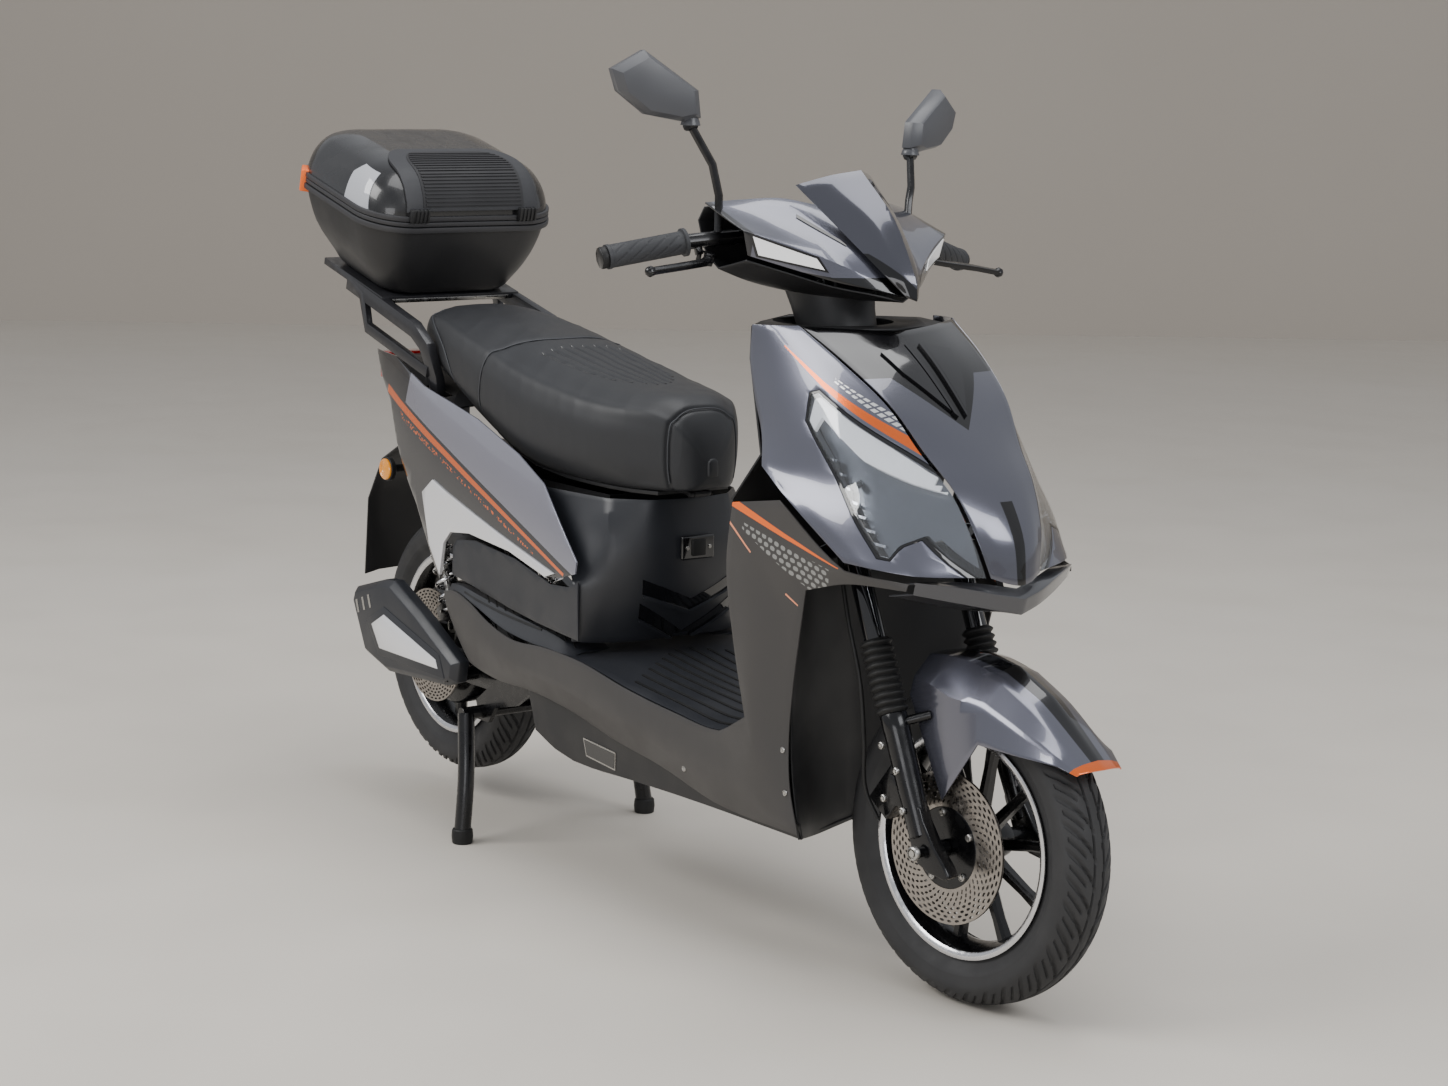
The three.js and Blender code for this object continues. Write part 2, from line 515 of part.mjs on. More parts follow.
// Rear end: lamp, indicators, inner fender with its mud flap
const fenderPathShares = [
  [0.235, 0.575], [0.15, 0.615], [0.02, 0.64], [-0.1, 0.632], [-0.18, 0.592], [-0.232, 0.513], [-0.246, 0.372],
];
const fenderHalf = 70;
const fenderCrown = 8;
const rearFenderRows = fenderPathShares.map(([x, z]) => bothSides([
  new THREE.Vector3(x * barReach, 0, z * barHeight),
  new THREE.Vector3(x * barReach, fenderHalf * 0.6, z * barHeight - fenderCrown / 4),
  new THREE.Vector3(x * barReach, fenderHalf, z * barHeight - fenderCrown),
]));
const tailLampShares = { rear: -0.15, front: -0.112, half: 0.44, low: 0.735, high: 0.782 };
const indicator = { x: -0.045, z: 0.586, radius: 21, thick: 15, inner: 0.635, stalk: 7 };

const deckShares = [
  [[-0.108, 0, 0.778], [-0.108, 0.3, 0.778], [-0.108, 0.52, 0.776]],
  [[-0.03, 0, 0.776], [-0.03, 0.3, 0.776], [-0.03, 0.59, 0.773]],
  [[0.096, 0, 0.738], [0.096, 0.35, 0.738], [0.096, 0.675, 0.734]],
  [[0.19, 0, 0.722], [0.19, 0.35, 0.722], [0.19, 0.715, 0.718]],
];
const deckRows = wholeRows(deckShares);
const railGate = { low: [0.07, 0.5, 0.6], high: [0.13, 0.8, 0.9] }; // room for the grab rail
const earPlate = { x: 0.022, low: 0.568, high: 0.64, thick: 4 };
const sternWall = { front: -0.1075, rear: -0.1117, half: 0.35, low: 0.618, high: 0.777 };

function makeRearEnd() {
  const t = tailLampShares;
  const lampLow = place([t.rear, -t.half, t.low]);
  piece('tail_light', box(lampLow, place([t.front, t.half, t.high])), redLens);
  const centre = place([indicator.x, 0, indicator.z]);
  centre.y = -indicator.inner * halfWidth - indicator.thick / 2;
  const body = disc(centre, indicator.radius, indicator.thick, 20);
  const stalkEnd = centre.clone();
  stalkEnd.y = -fenderHalf - clearance;
  pair('rear_indicator', join(body, rod(centre, stalkEnd, indicator.stalk)), amberLens);
  const ear = box(
    new THREE.Vector3((indicator.x - earPlate.x) * barReach, -fenderHalf, earPlate.low * barHeight),
    new THREE.Vector3((indicator.x + earPlate.x) * barReach, earPlate.thick - fenderHalf, earPlate.high * barHeight),
  );
  const w = sternWall;
  const stern = box(place([w.rear, -w.half, w.low]), place([w.front, w.half, w.high]));
  const gate = box(place(railGate.low), place(railGate.high));
  const deck = cut(panel(deckRows, rearAxle), gate, mirrored(gate));
  const fender = join(panel(rearFenderRows, rearAxle), ear, mirrored(ear), stern, deck);
  piece('rear_fender', fender, blackPlastic);
}

// Seat: rings of width and height from the rear to the nose
const seatShares = [
  [0.004, 0.3, 0.79, 0.85], [0.012, 0.42, 0.784, 0.866], [0.035, 0.51, 0.779, 0.875],
  [0.07, 0.56, 0.775, 0.876], [0.1, 0.59, 0.769, 0.874], [0.16, 0.645, 0.746, 0.866],
  [0.22, 0.685, 0.722, 0.856], [0.282, 0.71, 0.698, 0.845], [0.29, 0.71, 0.695, 0.84],
  [0.298, 0.715, 0.691, 0.842], [0.36, 0.74, 0.669, 0.83], [0.42, 0.75, 0.654, 0.819],
  [0.5, 0.73, 0.645, 0.805], [0.56, 0.7, 0.642, 0.796], [0.61, 0.65, 0.64, 0.79],
  [0.65, 0.56, 0.638, 0.786], [0.688, 0.42, 0.637, 0.781], [0.704, 0.35, 0.637, 0.768],
  [0.712, 0.325, 0.637, 0.767], [0.726, 0.24, 0.638, 0.747], [0.736, 0.15, 0.642, 0.718],
  [0.741, 0.08, 0.652, 0.69],
];
const seatPanRows = [3, 17]; // first and last ring over the pan
const seatSectionShares = [
  [0, 0], [0.5, 0], [0.86, 0.025], [0.96, 0.18], [1, 0.46], [0.975, 0.7], [0.9, 0.84],
];
const seatCrownShares = [0.78, 0.65, 0.55, 0.45, 0.35, 0.25, 0.12];
const channelFrom = 0.355;
const channelTo = 0.575;
const channelDeep = 3;
const panGap = 1;
const panThick = 6;

function seatRing([x, half, low, high]) {
  const height = high - low;
  const side = seatSectionShares.map(([y, z]) => [y * half, low + z * height]);
  const crown = seatCrownShares.map((y, i) => {
    const fall = 0.12 * (y / seatCrownShares[0]) ** 3;
    const drop = i % 2 && x > channelFrom && x < channelTo ? channelDeep / barHeight : 0;
    return [y * half, high - fall * height - drop];
  });
  const right = [...side.slice(1), ...crown, [0, high]];
  const left = [...side.slice(1), ...crown].reverse().map(([y, z]) => [-y, z]);
  return [side[0], ...right, ...left].map(([y, z]) => place([x, y, z]));
}

const seatHinge = { x: 0.704, z: 0.6295, pin: 3, eye: 5.5, half: 11, lug: 9, arm: 2 };

function makeSeat() {
  piece('seat_cushion', loft(seatShares.map(seatRing)), vinyl);
  const panRows = seatShares.slice(...seatPanRows).map(([x, half, low]) => (
    bothSides([place([x, 0, low]), place([x, half * 0.45, low]), place([x, half * 0.8, low])])
  ));
  const pan = sheet(panRows, -panThick - panGap, -panGap, bodyCore);
  const h = seatHinge;
  const pivot = place([h.x, 0, h.z]);
  const outer = h.half + h.lug;
  const side = (y) => pivot.clone().setY(y);
  const lugAt = (sign) => {
    const [inner, far] = [h.half + clearance, outer].map((y) => sign * y);
    const root = new THREE.Vector3(pivot.x - h.eye * 5, Math.min(inner, far), pivot.z);
    const tip = new THREE.Vector3(pivot.x, Math.max(inner, far), pivot.z + h.eye - panGap);
    return join(rod(side(inner), side(far), h.eye - panGap), box(root, tip));
  };
  const pin = rod(side(-outer), side(outer), h.pin);
  piece('seat_pan', join(pan, lugAt(-1), lugAt(1), pin), blackPlastic);
}

// Top box in a frame of its own: origin at its lower front edge, pitched with the rack
const boxPitch = THREE.MathUtils.degToRad(15);
const boxAtShares = [-0.053, 0, 0.885];
const boxTop = new THREE.Group();
boxTop.position.copy(place(boxAtShares));
boxTop.rotation.y = boxPitch;
group.add(boxTop);
const lidSeat = 145;
const boxRings = [ // rear end, front end, half width, height over the bottom
  { rear: -214, front: 0, half: 122, z: 0 },
  { rear: -224, front: 8, half: 134, z: 16 },
  { rear: -262, front: 24, half: 168, z: 70 },
  { rear: -284, front: 32, half: 184, z: 122 },
];
const rimFlange = { out: 7, low: 126, high: lidSeat - clearance };
const lidRings = [
  { rear: -290, front: 34, half: 188, z: lidSeat },
  { rear: -289, front: 31, half: 185, z: 166 },
  { rear: -285, front: 20, half: 175, z: 192 },
  { rear: -273, front: -1, half: 156, z: 215 },
  { rear: -246, front: -36, half: 120, z: 227 },
];
const boxCorner = 0.42; // corner radius over the half width
const boxWall = 3;
const cornerSteps = 3;
const hingeBlock = { at: 107, wide: 34, deep: 10, low: 147, high: 168 };

function boxRing({ rear, front, half, z }, inset = 0) {
  const radius = half * boxCorner;
  const ring = [];
  const corners = [[front, -1, -1], [front, 1, 0], [rear, 1, 1], [rear, -1, 2]];
  for (const [end, side, quarter] of corners) {
    const inward = Math.sign(rear - front) * (end === front ? 1 : -1);
    const centre = new THREE.Vector2(end + inward * radius, side * (half - radius));
    for (let i = 0; i <= cornerSteps; i++) {
      const turn = (quarter + i / cornerSteps) * (Math.PI / 2);
      const spread = new THREE.Vector2(Math.cos(turn), Math.sin(turn)).multiplyScalar(radius - inset);
      ring.push(new THREE.Vector3(centre.x + spread.x, centre.y + spread.y, z));
    }
  }
  return ring;
}

function makeTopBox() {
  const flange = ({ low, high, out }) => {
    const top = boxRings[boxRings.length - 1];
    const wide = { rear: top.rear - out, front: top.front + out, half: top.half + out };
    return loft([boxRing({ ...wide, z: low }), boxRing({ ...wide, z: high })]);
  };
  const last = boxRings[boxRings.length - 1];
  const outer = loft([...boxRings, { ...last, z: rimFlange.high }].map((ring) => boxRing(ring)));
  const hollow = loft([...boxRings, { ...last, z: rimFlange.high + overrun }].map((ring) => (
    boxRing({ ...ring, z: ring.z + (ring.z < rimFlange.high ? boxWall : 0) }, boxWall)
  )));
  piece('top_box_base', cut(join(outer, flange(rimFlange)), hollow), blackPlastic, boxTop);
  const shell = loft(lidRings.map((ring) => boxRing(ring)));
  const under = loft([{ ...lidRings[0], z: lidRings[0].z - overrun }, ...lidRings].map((ring) => (
    boxRing({ ...ring, z: ring.z - boxWall }, boxWall)
  )));
  const front = lidRings[0].front;
  const blockAt = (side) => box(
    new THREE.Vector3(front - hingeBlock.deep / 2, side * hingeBlock.at - hingeBlock.wide / 2, hingeBlock.low),
    new THREE.Vector3(front + hingeBlock.deep, side * hingeBlock.at + hingeBlock.wide / 2, hingeBlock.high),
  );
  piece('top_box_lid', join(cut(shell, under), blockAt(-1), blockAt(1)), glossBlack, boxTop);
}

// A flat bar through points that run fore and aft
function flatBar(points, width, thick) {
  return loft(points.map((point, i) => {
    const before = points[Math.max(i - 1, 0)];
    const after = points[Math.min(i + 1, points.length - 1)];
    const side = after.clone().sub(before).cross(along).normalize().multiplyScalar(width / 2);
    const out = along.clone().multiplyScalar(thick / 2);
    return [[1, 1], [1, -1], [-1, -1], [-1, 1]].map(([a, b]) => (
      point.clone().addScaledVector(side, a).addScaledVector(out, b)
    ));
  }));
}

// A sleeve: rings down the outside and back up the bore
function sleeve(rings) {
  const n = rings[0].length;
  const faces = [];
  rings.forEach((ring, i) => {
    const [a, b] = [i * n, ((i + 1) % rings.length) * n];
    for (let j = 0; j < n; j++) {
      const k = (j + 1) % n;
      faces.push(a + j, a + k, b + k, a + j, b + k, b + j);
    }
  });
  return closedMesh(rings.flat(), faces);
}

const ringAt = (centre, radius, count) => Array.from({ length: count }, (_, i) => {
  const turn = (i / count) * Math.PI * 2;
  return new THREE.Vector3(Math.cos(turn) * radius, Math.sin(turn) * radius, 0).add(centre);
});

// Steering: stem, clamp and fork tubes, in a frame along the fork with its foot beside the axle
const fork = new THREE.Group();
fork.position.copy(steerFoot);
fork.rotation.y = -rake;
steered.add(fork);
const forkSide = 101;
const forkTube = 15.5;
const stemRadius = 15;
const stemTop = 812;
const headTube = { radius: 24, low: 478, high: 690 };
const clampBlock = { low: 424, high: 452, back: 24, front: 24, end: 24 };
const lowerTop = 194;
const insertion = 90;
const forkTravel = 55;
const boreFoot = lowerTop - insertion - forkTravel - 5;
const lowerRadius = 19.5;
const stemSides = 12;
const legFoot = 20;
const boot = { ribs: 10, pitch: 10.6, valley: 20, crest: 23.2, bore: 17.5, points: 8, boreEvery: 5 };
const axleRadius = 7.5;
const footOutline = [
  [-17, 60], [-16, 10], [-12, -14], [4, -30], [30, -46], [41, -44], [38, -28], [26, 2], [17, 40], [17, 60],
];
const footThick = 22;
const hubEnds = { disc: -63, free: 48 };

const inFork = (ahead, side, height) => new THREE.Vector3(ahead, side, height);
const forkRod = (ahead, side, low, high, radius, sides = 10) => (
  rod(inFork(ahead, side, low), inFork(ahead, side, high), radius, sides)
);

function makeFork() {
  const c = clampBlock;
  const stem = forkRod(0, 0, c.low, stemTop, stemRadius, stemSides);
  const clampBody = box(
    inFork(-c.back, -forkSide - c.end, c.low),
    inFork(forkLead + c.front, forkSide + c.end, c.high),
  );
  const tube = (side) => forkRod(forkLead, side, lowerTop - insertion, c.high - clearance, forkTube);
  piece('fork_upper', join(stem, clampBody, tube(-forkSide), tube(forkSide)), blackMetal, fork);

  const footShape = footOutline.map(([x, z]) => new THREE.Vector2(forkLead + x, z));
  const leg = (side) => join(
    forkRod(forkLead, side, legFoot, lowerTop, lowerRadius),
    prism(footShape, side - footThick / 2, side + footThick / 2),
  );
  const axleAt = (side) => inFork(forkLead, side, 0);
  const collar = (inner, sign) => rod(axleAt(inner), axleAt(sign * forkSide), axleRadius * 1.6);
  const axle = rod(axleAt(-forkSide - footThick), axleAt(forkSide + footThick), axleRadius);
  const boss = (sign) => {
    const low = inFork(forkLead, sign * forkSide, fenderBoss.height);
    const high = inFork(forkLead + fenderBoss.ahead, sign * fenderBoss.inner, fenderBoss.height);
    return rod(low, high, fenderBoss.radius, 8);
  };
  const toFork = new THREE.Matrix4().makeRotationY(rake);
  const fenderSide = sheet(fenderRows, -overrun / 2, clearance * 2, fenderCore)
    .translate(-steerFoot.x, 0, -steerFoot.z).applyMatrix4(toFork);
  const bosses = largestTwo(cut(join(boss(-1), boss(1)), fenderSide));
  const bore = (side) => forkRod(forkLead, side, boreFoot, lowerTop + overrun, forkTube + clearance * 2);
  const legs = cut(join(
    leg(-forkSide), leg(forkSide), axle, bosses,
    collar(hubEnds.disc - clearance, -1), collar(hubEnds.free + clearance, 1),
  ), bore(-forkSide), bore(forkSide));
  piece('fork_lower', legs, blackMetal, fork);

  const b = boot;
  const ribRing = (i) => ringAt(
    inFork(forkLead, -forkSide, lowerTop + clearance + (i * b.pitch) / 2),
    i % 2 ? b.crest : b.valley,
    b.points,
  );
  const outside = Array.from({ length: b.ribs * 2 + 1 }, (_, i) => ribRing(i));
  const boreHeights = [];
  for (let rib = b.ribs; rib >= 0; rib -= b.boreEvery) boreHeights.push(rib * b.pitch);
  const inside = boreHeights.map((height) => (
    ringAt(inFork(forkLead, -forkSide, lowerTop + clearance + height), b.bore, b.points)
  ));
  pair('fork_boot', sleeve([...outside, ...inside]), rubber, fork);
}

// The two stubs left of a crossing bar once its middle is cut away
function largestTwo(geometry) {
  const parts = solidOf(geometry).decompose().sort((a, b) => b.volume() - a.volume());
  return geometryOf(parts[0].add(parts[1]));
}

// Front fender, from its rear end over the tyre to its front lip
const fenderShares = [
  [[1.3, 0, 0.487], [1.3, 0.175, 0.484], [1.301, 0.33, 0.455], [1.303, 0.37, 0.43]],
  [[1.345, 0, 0.495], [1.342, 0.19, 0.488], [1.34, 0.36, 0.45], [1.342, 0.38, 0.36]],
  [[1.385, 0, 0.496], [1.382, 0.19, 0.486], [1.378, 0.37, 0.44], [1.377, 0.38, 0.295]],
  [[1.437, 0, 0.486], [1.437, 0.19, 0.474], [1.437, 0.34, 0.435], [1.437, 0.375, 0.384]],
  [[1.5, 0, 0.455], [1.5, 0.19, 0.442], [1.5, 0.31, 0.412], [1.502, 0.35, 0.381]],
  [[1.562, 0, 0.405], [1.564, 0.17, 0.397], [1.566, 0.26, 0.388], [1.568, 0.29, 0.378]],
  [[1.6, 0, 0.374], [1.597, 0.13, 0.373], [1.594, 0.2, 0.371], [1.592, 0.225, 0.368]],
];
const fenderRows = wholeRows(fenderShares);
const fenderCore = frontAxle;
const fenderBoss = { height: 180, ahead: 52, inner: 66, radius: 7 };

// Front caliper: a block over the disc's rear edge, with a lug to the leg
const caliper = { x: 1.286, z: 0.294, outer: -0.42, inner: -0.235, radial: 44, tangent: 82 };
const frontDisc = { radius: 107, inner: 60, side: -60, thick: 4 };
const lug = { low: [1.296, -0.49, 0.276], high: [1.332, -0.36, 0.318] };
const slotGap = 0.8;

function caliperBlock(centre, axle, size) {
  const radial = new THREE.Vector2(centre.x - axle.x, centre.z - axle.z).normalize();
  const tangent = new THREE.Vector2(-radial.y, radial.x);
  const corners = [[-1, -1], [1, -1], [1, 1], [-1, 1]].map(([a, b]) => (
    new THREE.Vector2(centre.x, centre.z)
      .addScaledVector(radial, (a * size.radial) / 2)
      .addScaledVector(tangent, (b * size.tangent) / 2)
  ));
  return prism(corners, size.outer * halfWidth, size.inner * halfWidth);
}

const slotSides = 24;
function slotFor(rotor, axle) {
  const reach = (rotor.radius + slotGap) / Math.cos(Math.PI / slotSides);
  return disc(axle.clone().setY(rotor.side), reach, rotor.thick + slotGap * 2, slotSides);
}

function makeFrontEnd() {
  makeFork();
  piece('front_fender', panel(fenderRows, fenderCore), greyPaint, steered);
  const block = caliperBlock(place([caliper.x, 0, caliper.z]), frontAxle, caliper);
  const discSlot = slotFor(frontDisc, frontAxle);
  const toWorld = new THREE.Matrix4().makeRotationY(-rake).setPosition(steerFoot);
  const legRoom = forkRod(forkLead, -forkSide, 0, lowerTop, lowerRadius + clearance * 1.5).applyMatrix4(toWorld);
  const lugBox = box(place(lug.low), place(lug.high));
  const body = cut(join(block, lugBox), discSlot, legRoom);
  piece('front_caliper', largest(body), blackMetal, steered);
  makeWheel('front', frontHub, frontDisc, frontAxle, steered);
}

// Wheels: rim barrel, spokes, hub and disc in one casting, and the tyre
const rimProfile = [
  [160, -36], [160, -31], [152, -29], [143, -9], [143, 9], [152, 29],
  [160, 31], [160, 36], [148, 36], [138, 0], [148, -36],
];
const beadRadius = 152.4;
const bead = 28.6;
const lipTop = 160.4;
const lip = 30.6;
const tyreHalfProfile = [
  [1, 0], [0.991, 0.4], [0.956, 0.76], [0.885, 1], [0.8, 0.97],
];
const tyreInside = [[0.8, 0.8], [0.93, 0.6], [0.96, 0]];
const frontHub = [
  [8.3, -63], [62, -63], [62, -57], [34, -52], [30, 30], [26, 48], [8.3, 48],
];
const rearHub = [
  [8.8, -73], [58, -73], [58, -67], [36, -60], [36, -46], [98, -40], [108, -30],
  [108, 30], [98, 40], [34, 46], [26, 62], [8.8, 62],
];
const spokes = { count: 10, inner: 24, outer: 140, wide: 15, thick: 20 };
const wheelSteps = 20;
const hubSteps = 10;
const rearDisc = { radius: 100, inner: 56, side: -70, thick: 4 };

const lathe = (profile, steps = wheelSteps) => (
  new THREE.LatheGeometry([...profile, profile[0]].map(([r, y]) => new THREE.Vector2(r, y)), steps)
);

function tyreGeometry() {
  const half = tyreWidth / 2;
  const sized = (list) => list.map(([r, y]) => [r * tyreRadius, y * half]);
  const outside = [...sized(tyreHalfProfile), [lipTop, lip - clearance], [beadRadius, bead]];
  const inner = [[beadRadius, bead * 0.7], ...sized(tyreInside)];
  const flip = (list) => list.map(([r, y]) => [r, -y]).reverse();
  return lathe([...outside, ...inner, ...flip(inner).slice(1), ...flip(outside).slice(0, -1)]);
}

function makeWheel(end, hub, rotor, axle, holder) {
  const s = spokes;
  const spoke = (i) => box(
    new THREE.Vector3(s.inner, -s.thick / 2, -s.wide / 2),
    new THREE.Vector3(s.outer, s.thick / 2, s.wide / 2),
  ).rotateY((i / s.count) * Math.PI * 2);
  const [r, t] = [rotor, rotor.thick / 2];
  const ring = lathe([[r.inner, r.side - t], [r.radius, r.side - t], [r.radius, r.side + t], [r.inner, r.side + t]]);
  const arms = Array.from({ length: s.count }, (_, i) => spoke(i));
  const wheel = join(lathe(rimProfile), lathe(hub, hubSteps), ring, ...arms);
  const name = end === 'front' ? 'front_rim' : 'rear_hub_wheel';
  piece(name, wheel, blackMetal, holder).position.copy(axle);
  piece(`${end}_tyre`, tyreGeometry(), rubber, holder).position.copy(axle);
}

// Handlebar: bar, sleeve over the stem, lever perches and mirror stems
const gripInnerShares = [0.975, 1.19, 1.034];
const gripOuterShares = [0.938, 1.745, 1.01];
const barShares = [gripOuterShares, gripInnerShares, [1, 0.6, 1.048], [1, 0, 1.04]];
const barRadius = 11;
const barSleeve = { radius: 18, low: 780, high: 905 };
const barEnd = { radius: 15, long: 10 };
const leverPivotShares = [1, 1.075, 1.012];
const perchShares = [[0.979, 1.1, 1.036], [0.983, 1.09, 1.0168]];
const leverPathShares = [leverPivotShares, [1.02, 1.2, 1.008], [1.03, 1.45, 1.003], [1.029, 1.72, 0.996]];
const leverAxis = new THREE.Vector3(Math.sin(0.28), 0, Math.cos(0.28));
const leverSize = { boss: 8, tall: 9, pin: 3, wide: 12, thick: 7, ear: 4, knob: 8 };
const stemFootShares = [[0.985, 0.93, 1.04], [0.985, 0.94, 1.1]];
const mirrorBallShares = { right: [[0.982, 1, 1.143], [0.96, 1.125, 1.197]], left: [[0.976, 1, 1.12], [0.948, 1.11, 1.168]] };
const mirrorStem = 6;
const mirrorBall = 9;
const mirrorBallWide = 14;
const mirrorSides = 10;
const coverFrontShares = [
  [[1.055, 0, 1.088], [1.04, 0.225, 1.092], [1.01, 0.46, 1.1], [0.985, 0.725, 1.096], [0.962, 0.97, 1.09]],
  [[1.175, 0, 0.984], [1.155, 0.21, 0.995], [1.12, 0.475, 1.018], [1.09, 0.7, 1.036], [1.054, 1, 1.055]],
  [[1.183, 0, 0.97], [1.163, 0.19, 0.978], [1.125, 0.44, 0.988], [1.092, 0.66, 1.002], [1.054, 0.95, 1.02]],
];
const coverRearShares = [
  [[1.048, 0, 1.084], [1.033, 0.225, 1.088], [1.003, 0.46, 1.095], [0.978, 0.71, 1.091], [0.956, 0.95, 1.084]],
  [[0.966, 0, 1.078], [0.96, 0.225, 1.077], [0.95, 0.46, 1.074], [0.948, 0.725, 1.07], [0.948, 0.97, 1.064]],
  [[0.952, 0, 0.985], [0.953, 0.225, 0.986], [0.953, 0.46, 0.99], [0.955, 0.7, 1.002], [0.96, 0.93, 1.016]],
  [[1.05, 0, 0.962], [1.045, 0.225, 0.964], [1.02, 0.46, 0.97], [0.995, 0.7, 0.982], [0.98, 0.9, 0.997]],
  [[1.175, 0, 0.962], [1.155, 0.18, 0.97], [1.117, 0.43, 0.98], [1.085, 0.645, 0.994], [1.047, 0.93, 1.012]],
];
const visorShares = [
  [[1.075, 0, 1.144], [1.055, 0.2, 1.135], [1.022, 0.385, 1.119]],
  [[1.148, 0, 1.078], [1.13, 0.14, 1.072], [1.095, 0.275, 1.06]],
  [[1.2, 0, 0.99], [1.19, 0.075, 0.994], [1.167, 0.16, 1]],
  [[1.202, 0, 0.966], [1.198, 0.03, 0.968], [1.192, 0.06, 0.971]],
];
const coverFrontRows = wholeRows(coverFrontShares);
const coverRearRows = wholeRows(coverRearShares);
const visorRows = wholeRows(visorShares);
const barCore = place([1.02, 0, 1.03]);
const visorCore = place([1, 0, 0.95]);
const neckRings = [
  { back: 50, front: 64, half: 58, z: 0.912 }, { back: 50, front: 76, half: 68, z: 0.972 },
];
const neckSides = 10;
const mirrorHeadShares = [
  [-0.064, 0.01], [-0.037, 0.048], [0.382, 0.1], [0.615, 0.072], [0.562, 0.042], [0.35, 0.012], [0.06, 0.004],
];
const mirrorHead = { deep: 26, bevel: 0.82, ahead: 8 };
const mirrorToe = THREE.MathUtils.degToRad(18); // the glass faces back and inwards

function toSide(point, sign) {
  return new THREE.Vector3(point.x, point.y * sign, point.z);
}

function neckRing({ back, front, half, z }, inset) {
  const centre = onSteer(z * barHeight);
  return Array.from({ length: neckSides }, (_, i) => {
    const turn = (i / neckSides) * Math.PI * 2;
    const reach = Math.cos(turn) > 0 ? front : back;
    return centre.clone().add(new THREE.Vector3(
      Math.cos(turn) * (reach - inset), Math.sin(turn) * (half - inset), 0,
    ));
  });
}

function perch(sign) {
  const pivot = place(leverPivotShares);
  const [root, knee] = perchShares.map(place);
  const z = leverSize;
  const shift = (point, distance) => point.clone().addScaledVector(leverAxis, distance);
  const earAt = z.tall / 2 + clearance;
  const ears = [-1, 1].flatMap((side) => [
    rod(shift(pivot, side * earAt), shift(pivot, side * (earAt + z.ear)), z.boss, 6),
    rod(shift(knee, side * (earAt + z.ear / 2)), shift(pivot, side * (earAt + z.ear / 2)), z.ear / 2, 4),
  ]);
  const pin = rod(shift(pivot, -earAt - z.ear), shift(pivot, earAt + z.ear), z.pin);
  const post = rod(shift(knee, -earAt - z.ear), shift(knee, earAt + z.ear), z.ear, 4);
  const whole = join(rod(root, knee, z.ear * 1.5, 6), post, pin, ...ears);
  return sign > 0 ? whole : mirrored(whole);
}

function makeBars() {
  const half = barShares.map(place);
  const way = half[0].clone().sub(half[1]).normalize();
  const capFrom = half[0].clone().addScaledVector(way, clearance);
  const capTo = capFrom.clone().addScaledVector(way, barEnd.long);
  half[0].addScaledVector(way, barEnd.long / 2);
  const full = [...half, ...half.slice(0, -1).reverse().map((point) => toSide(point, -1))];
  const ends = [-1, 1].map((sign) => rod(toSide(capFrom, sign), toSide(capTo, sign), barEnd.radius));
  const axisAt = (height) => steerFoot.clone().addScaledVector(steerAxis, height);
  const sleeveRod = rod(axisAt(barSleeve.low), axisAt(barSleeve.high), barSleeve.radius, stemSides);
  const stays = [-1, 1].flatMap((sign) => stayShares.map((stay) => (
    rod(toSide(place(stay[0]), sign), toSide(place(stay[1]), sign), stayRadius, 6)
  )));
  const trimmed = cut(
    join(...stays),
    sheet(coverFrontRows, -wall - clearance, overrun / 2, barCore),
    sheet(coverRearRows, -wall - clearance, overrun / 2, barCore),
  );
  const stem = (sign, shares) => pipe(
    [...stemFootShares, ...shares].map((share) => toSide(place(share), sign)), mirrorStem, 6,
  );
  const ball = (sign, share) => {
    const at = toSide(place(share), sign);
    return disc(at, mirrorBall, mirrorBallWide, mirrorSides);
  };
  const { right, left } = mirrorBallShares;
  const stemBore = boreFor(axisAt(barSleeve.low - overrun), axisAt(stemTop + clearance), stemRadius, stemSides);
  const handlebar = cut(join(
    trimmed, pipe(full, barRadius), sleeveRod, ...ends, perch(-1), perch(1),
    stem(-1, right), stem(1, left), ball(-1, right[1]), ball(1, left[1]),
  ), stemBore);
  piece('handlebar', handlebar, blackMetal, steered);

  const holes = [[-1, right], [1, left]].map(([sign, shares]) => pipe(
    [...stemFootShares, ...shares].map((share) => toSide(place(share), sign)), mirrorStem + 1, 6,
  ));
  piece('bar_cover_front', largest(cut(panel(coverFrontRows, barCore), ...holes)), greyPaint, steered);
  const neck = cut(
    loft(neckRings.map((ring) => neckRing(ring, 0))),
    loft(neckRings.map((ring, i) => neckRing({ ...ring, z: ring.z + (i ? 0.01 : -0.01) }, wall))),
  );
  const stemHole = boreFor(axisAt(barSleeve.low - overrun), axisAt(barSleeve.high), barSleeve.radius, stemSides);
  const rearCover = cut(join(panel(coverRearRows, barCore), neck), stemHole);
  piece('bar_cover_rear', rearCover, blackPlastic, steered);

  const lugs = [-1, 1].map((sign) => (
    rod(toSide(place(visorLugShares[0]), sign), toSide(place(visorLugShares[1]), sign), stayRadius, 6)
  ));
  const inside = sheet(coverFrontRows, -overrun, clearance, barCore);
  piece('visor', largest(cut(join(panel(visorRows, visorCore), ...lugs), inside)), greyPaint, steered);
  makeControls();
}

const stayRadius = 5;
const stayShares = [
  [[1, 0.2, 1.041], [1.13, 0.3, 1.03]],
  [[0.998, 0.5, 1.046], [0.95, 0.5, 1.03]],
];
const visorLugShares = [[1.13, 0.12, 1.073], [1.08, 0.17, 1.03]];

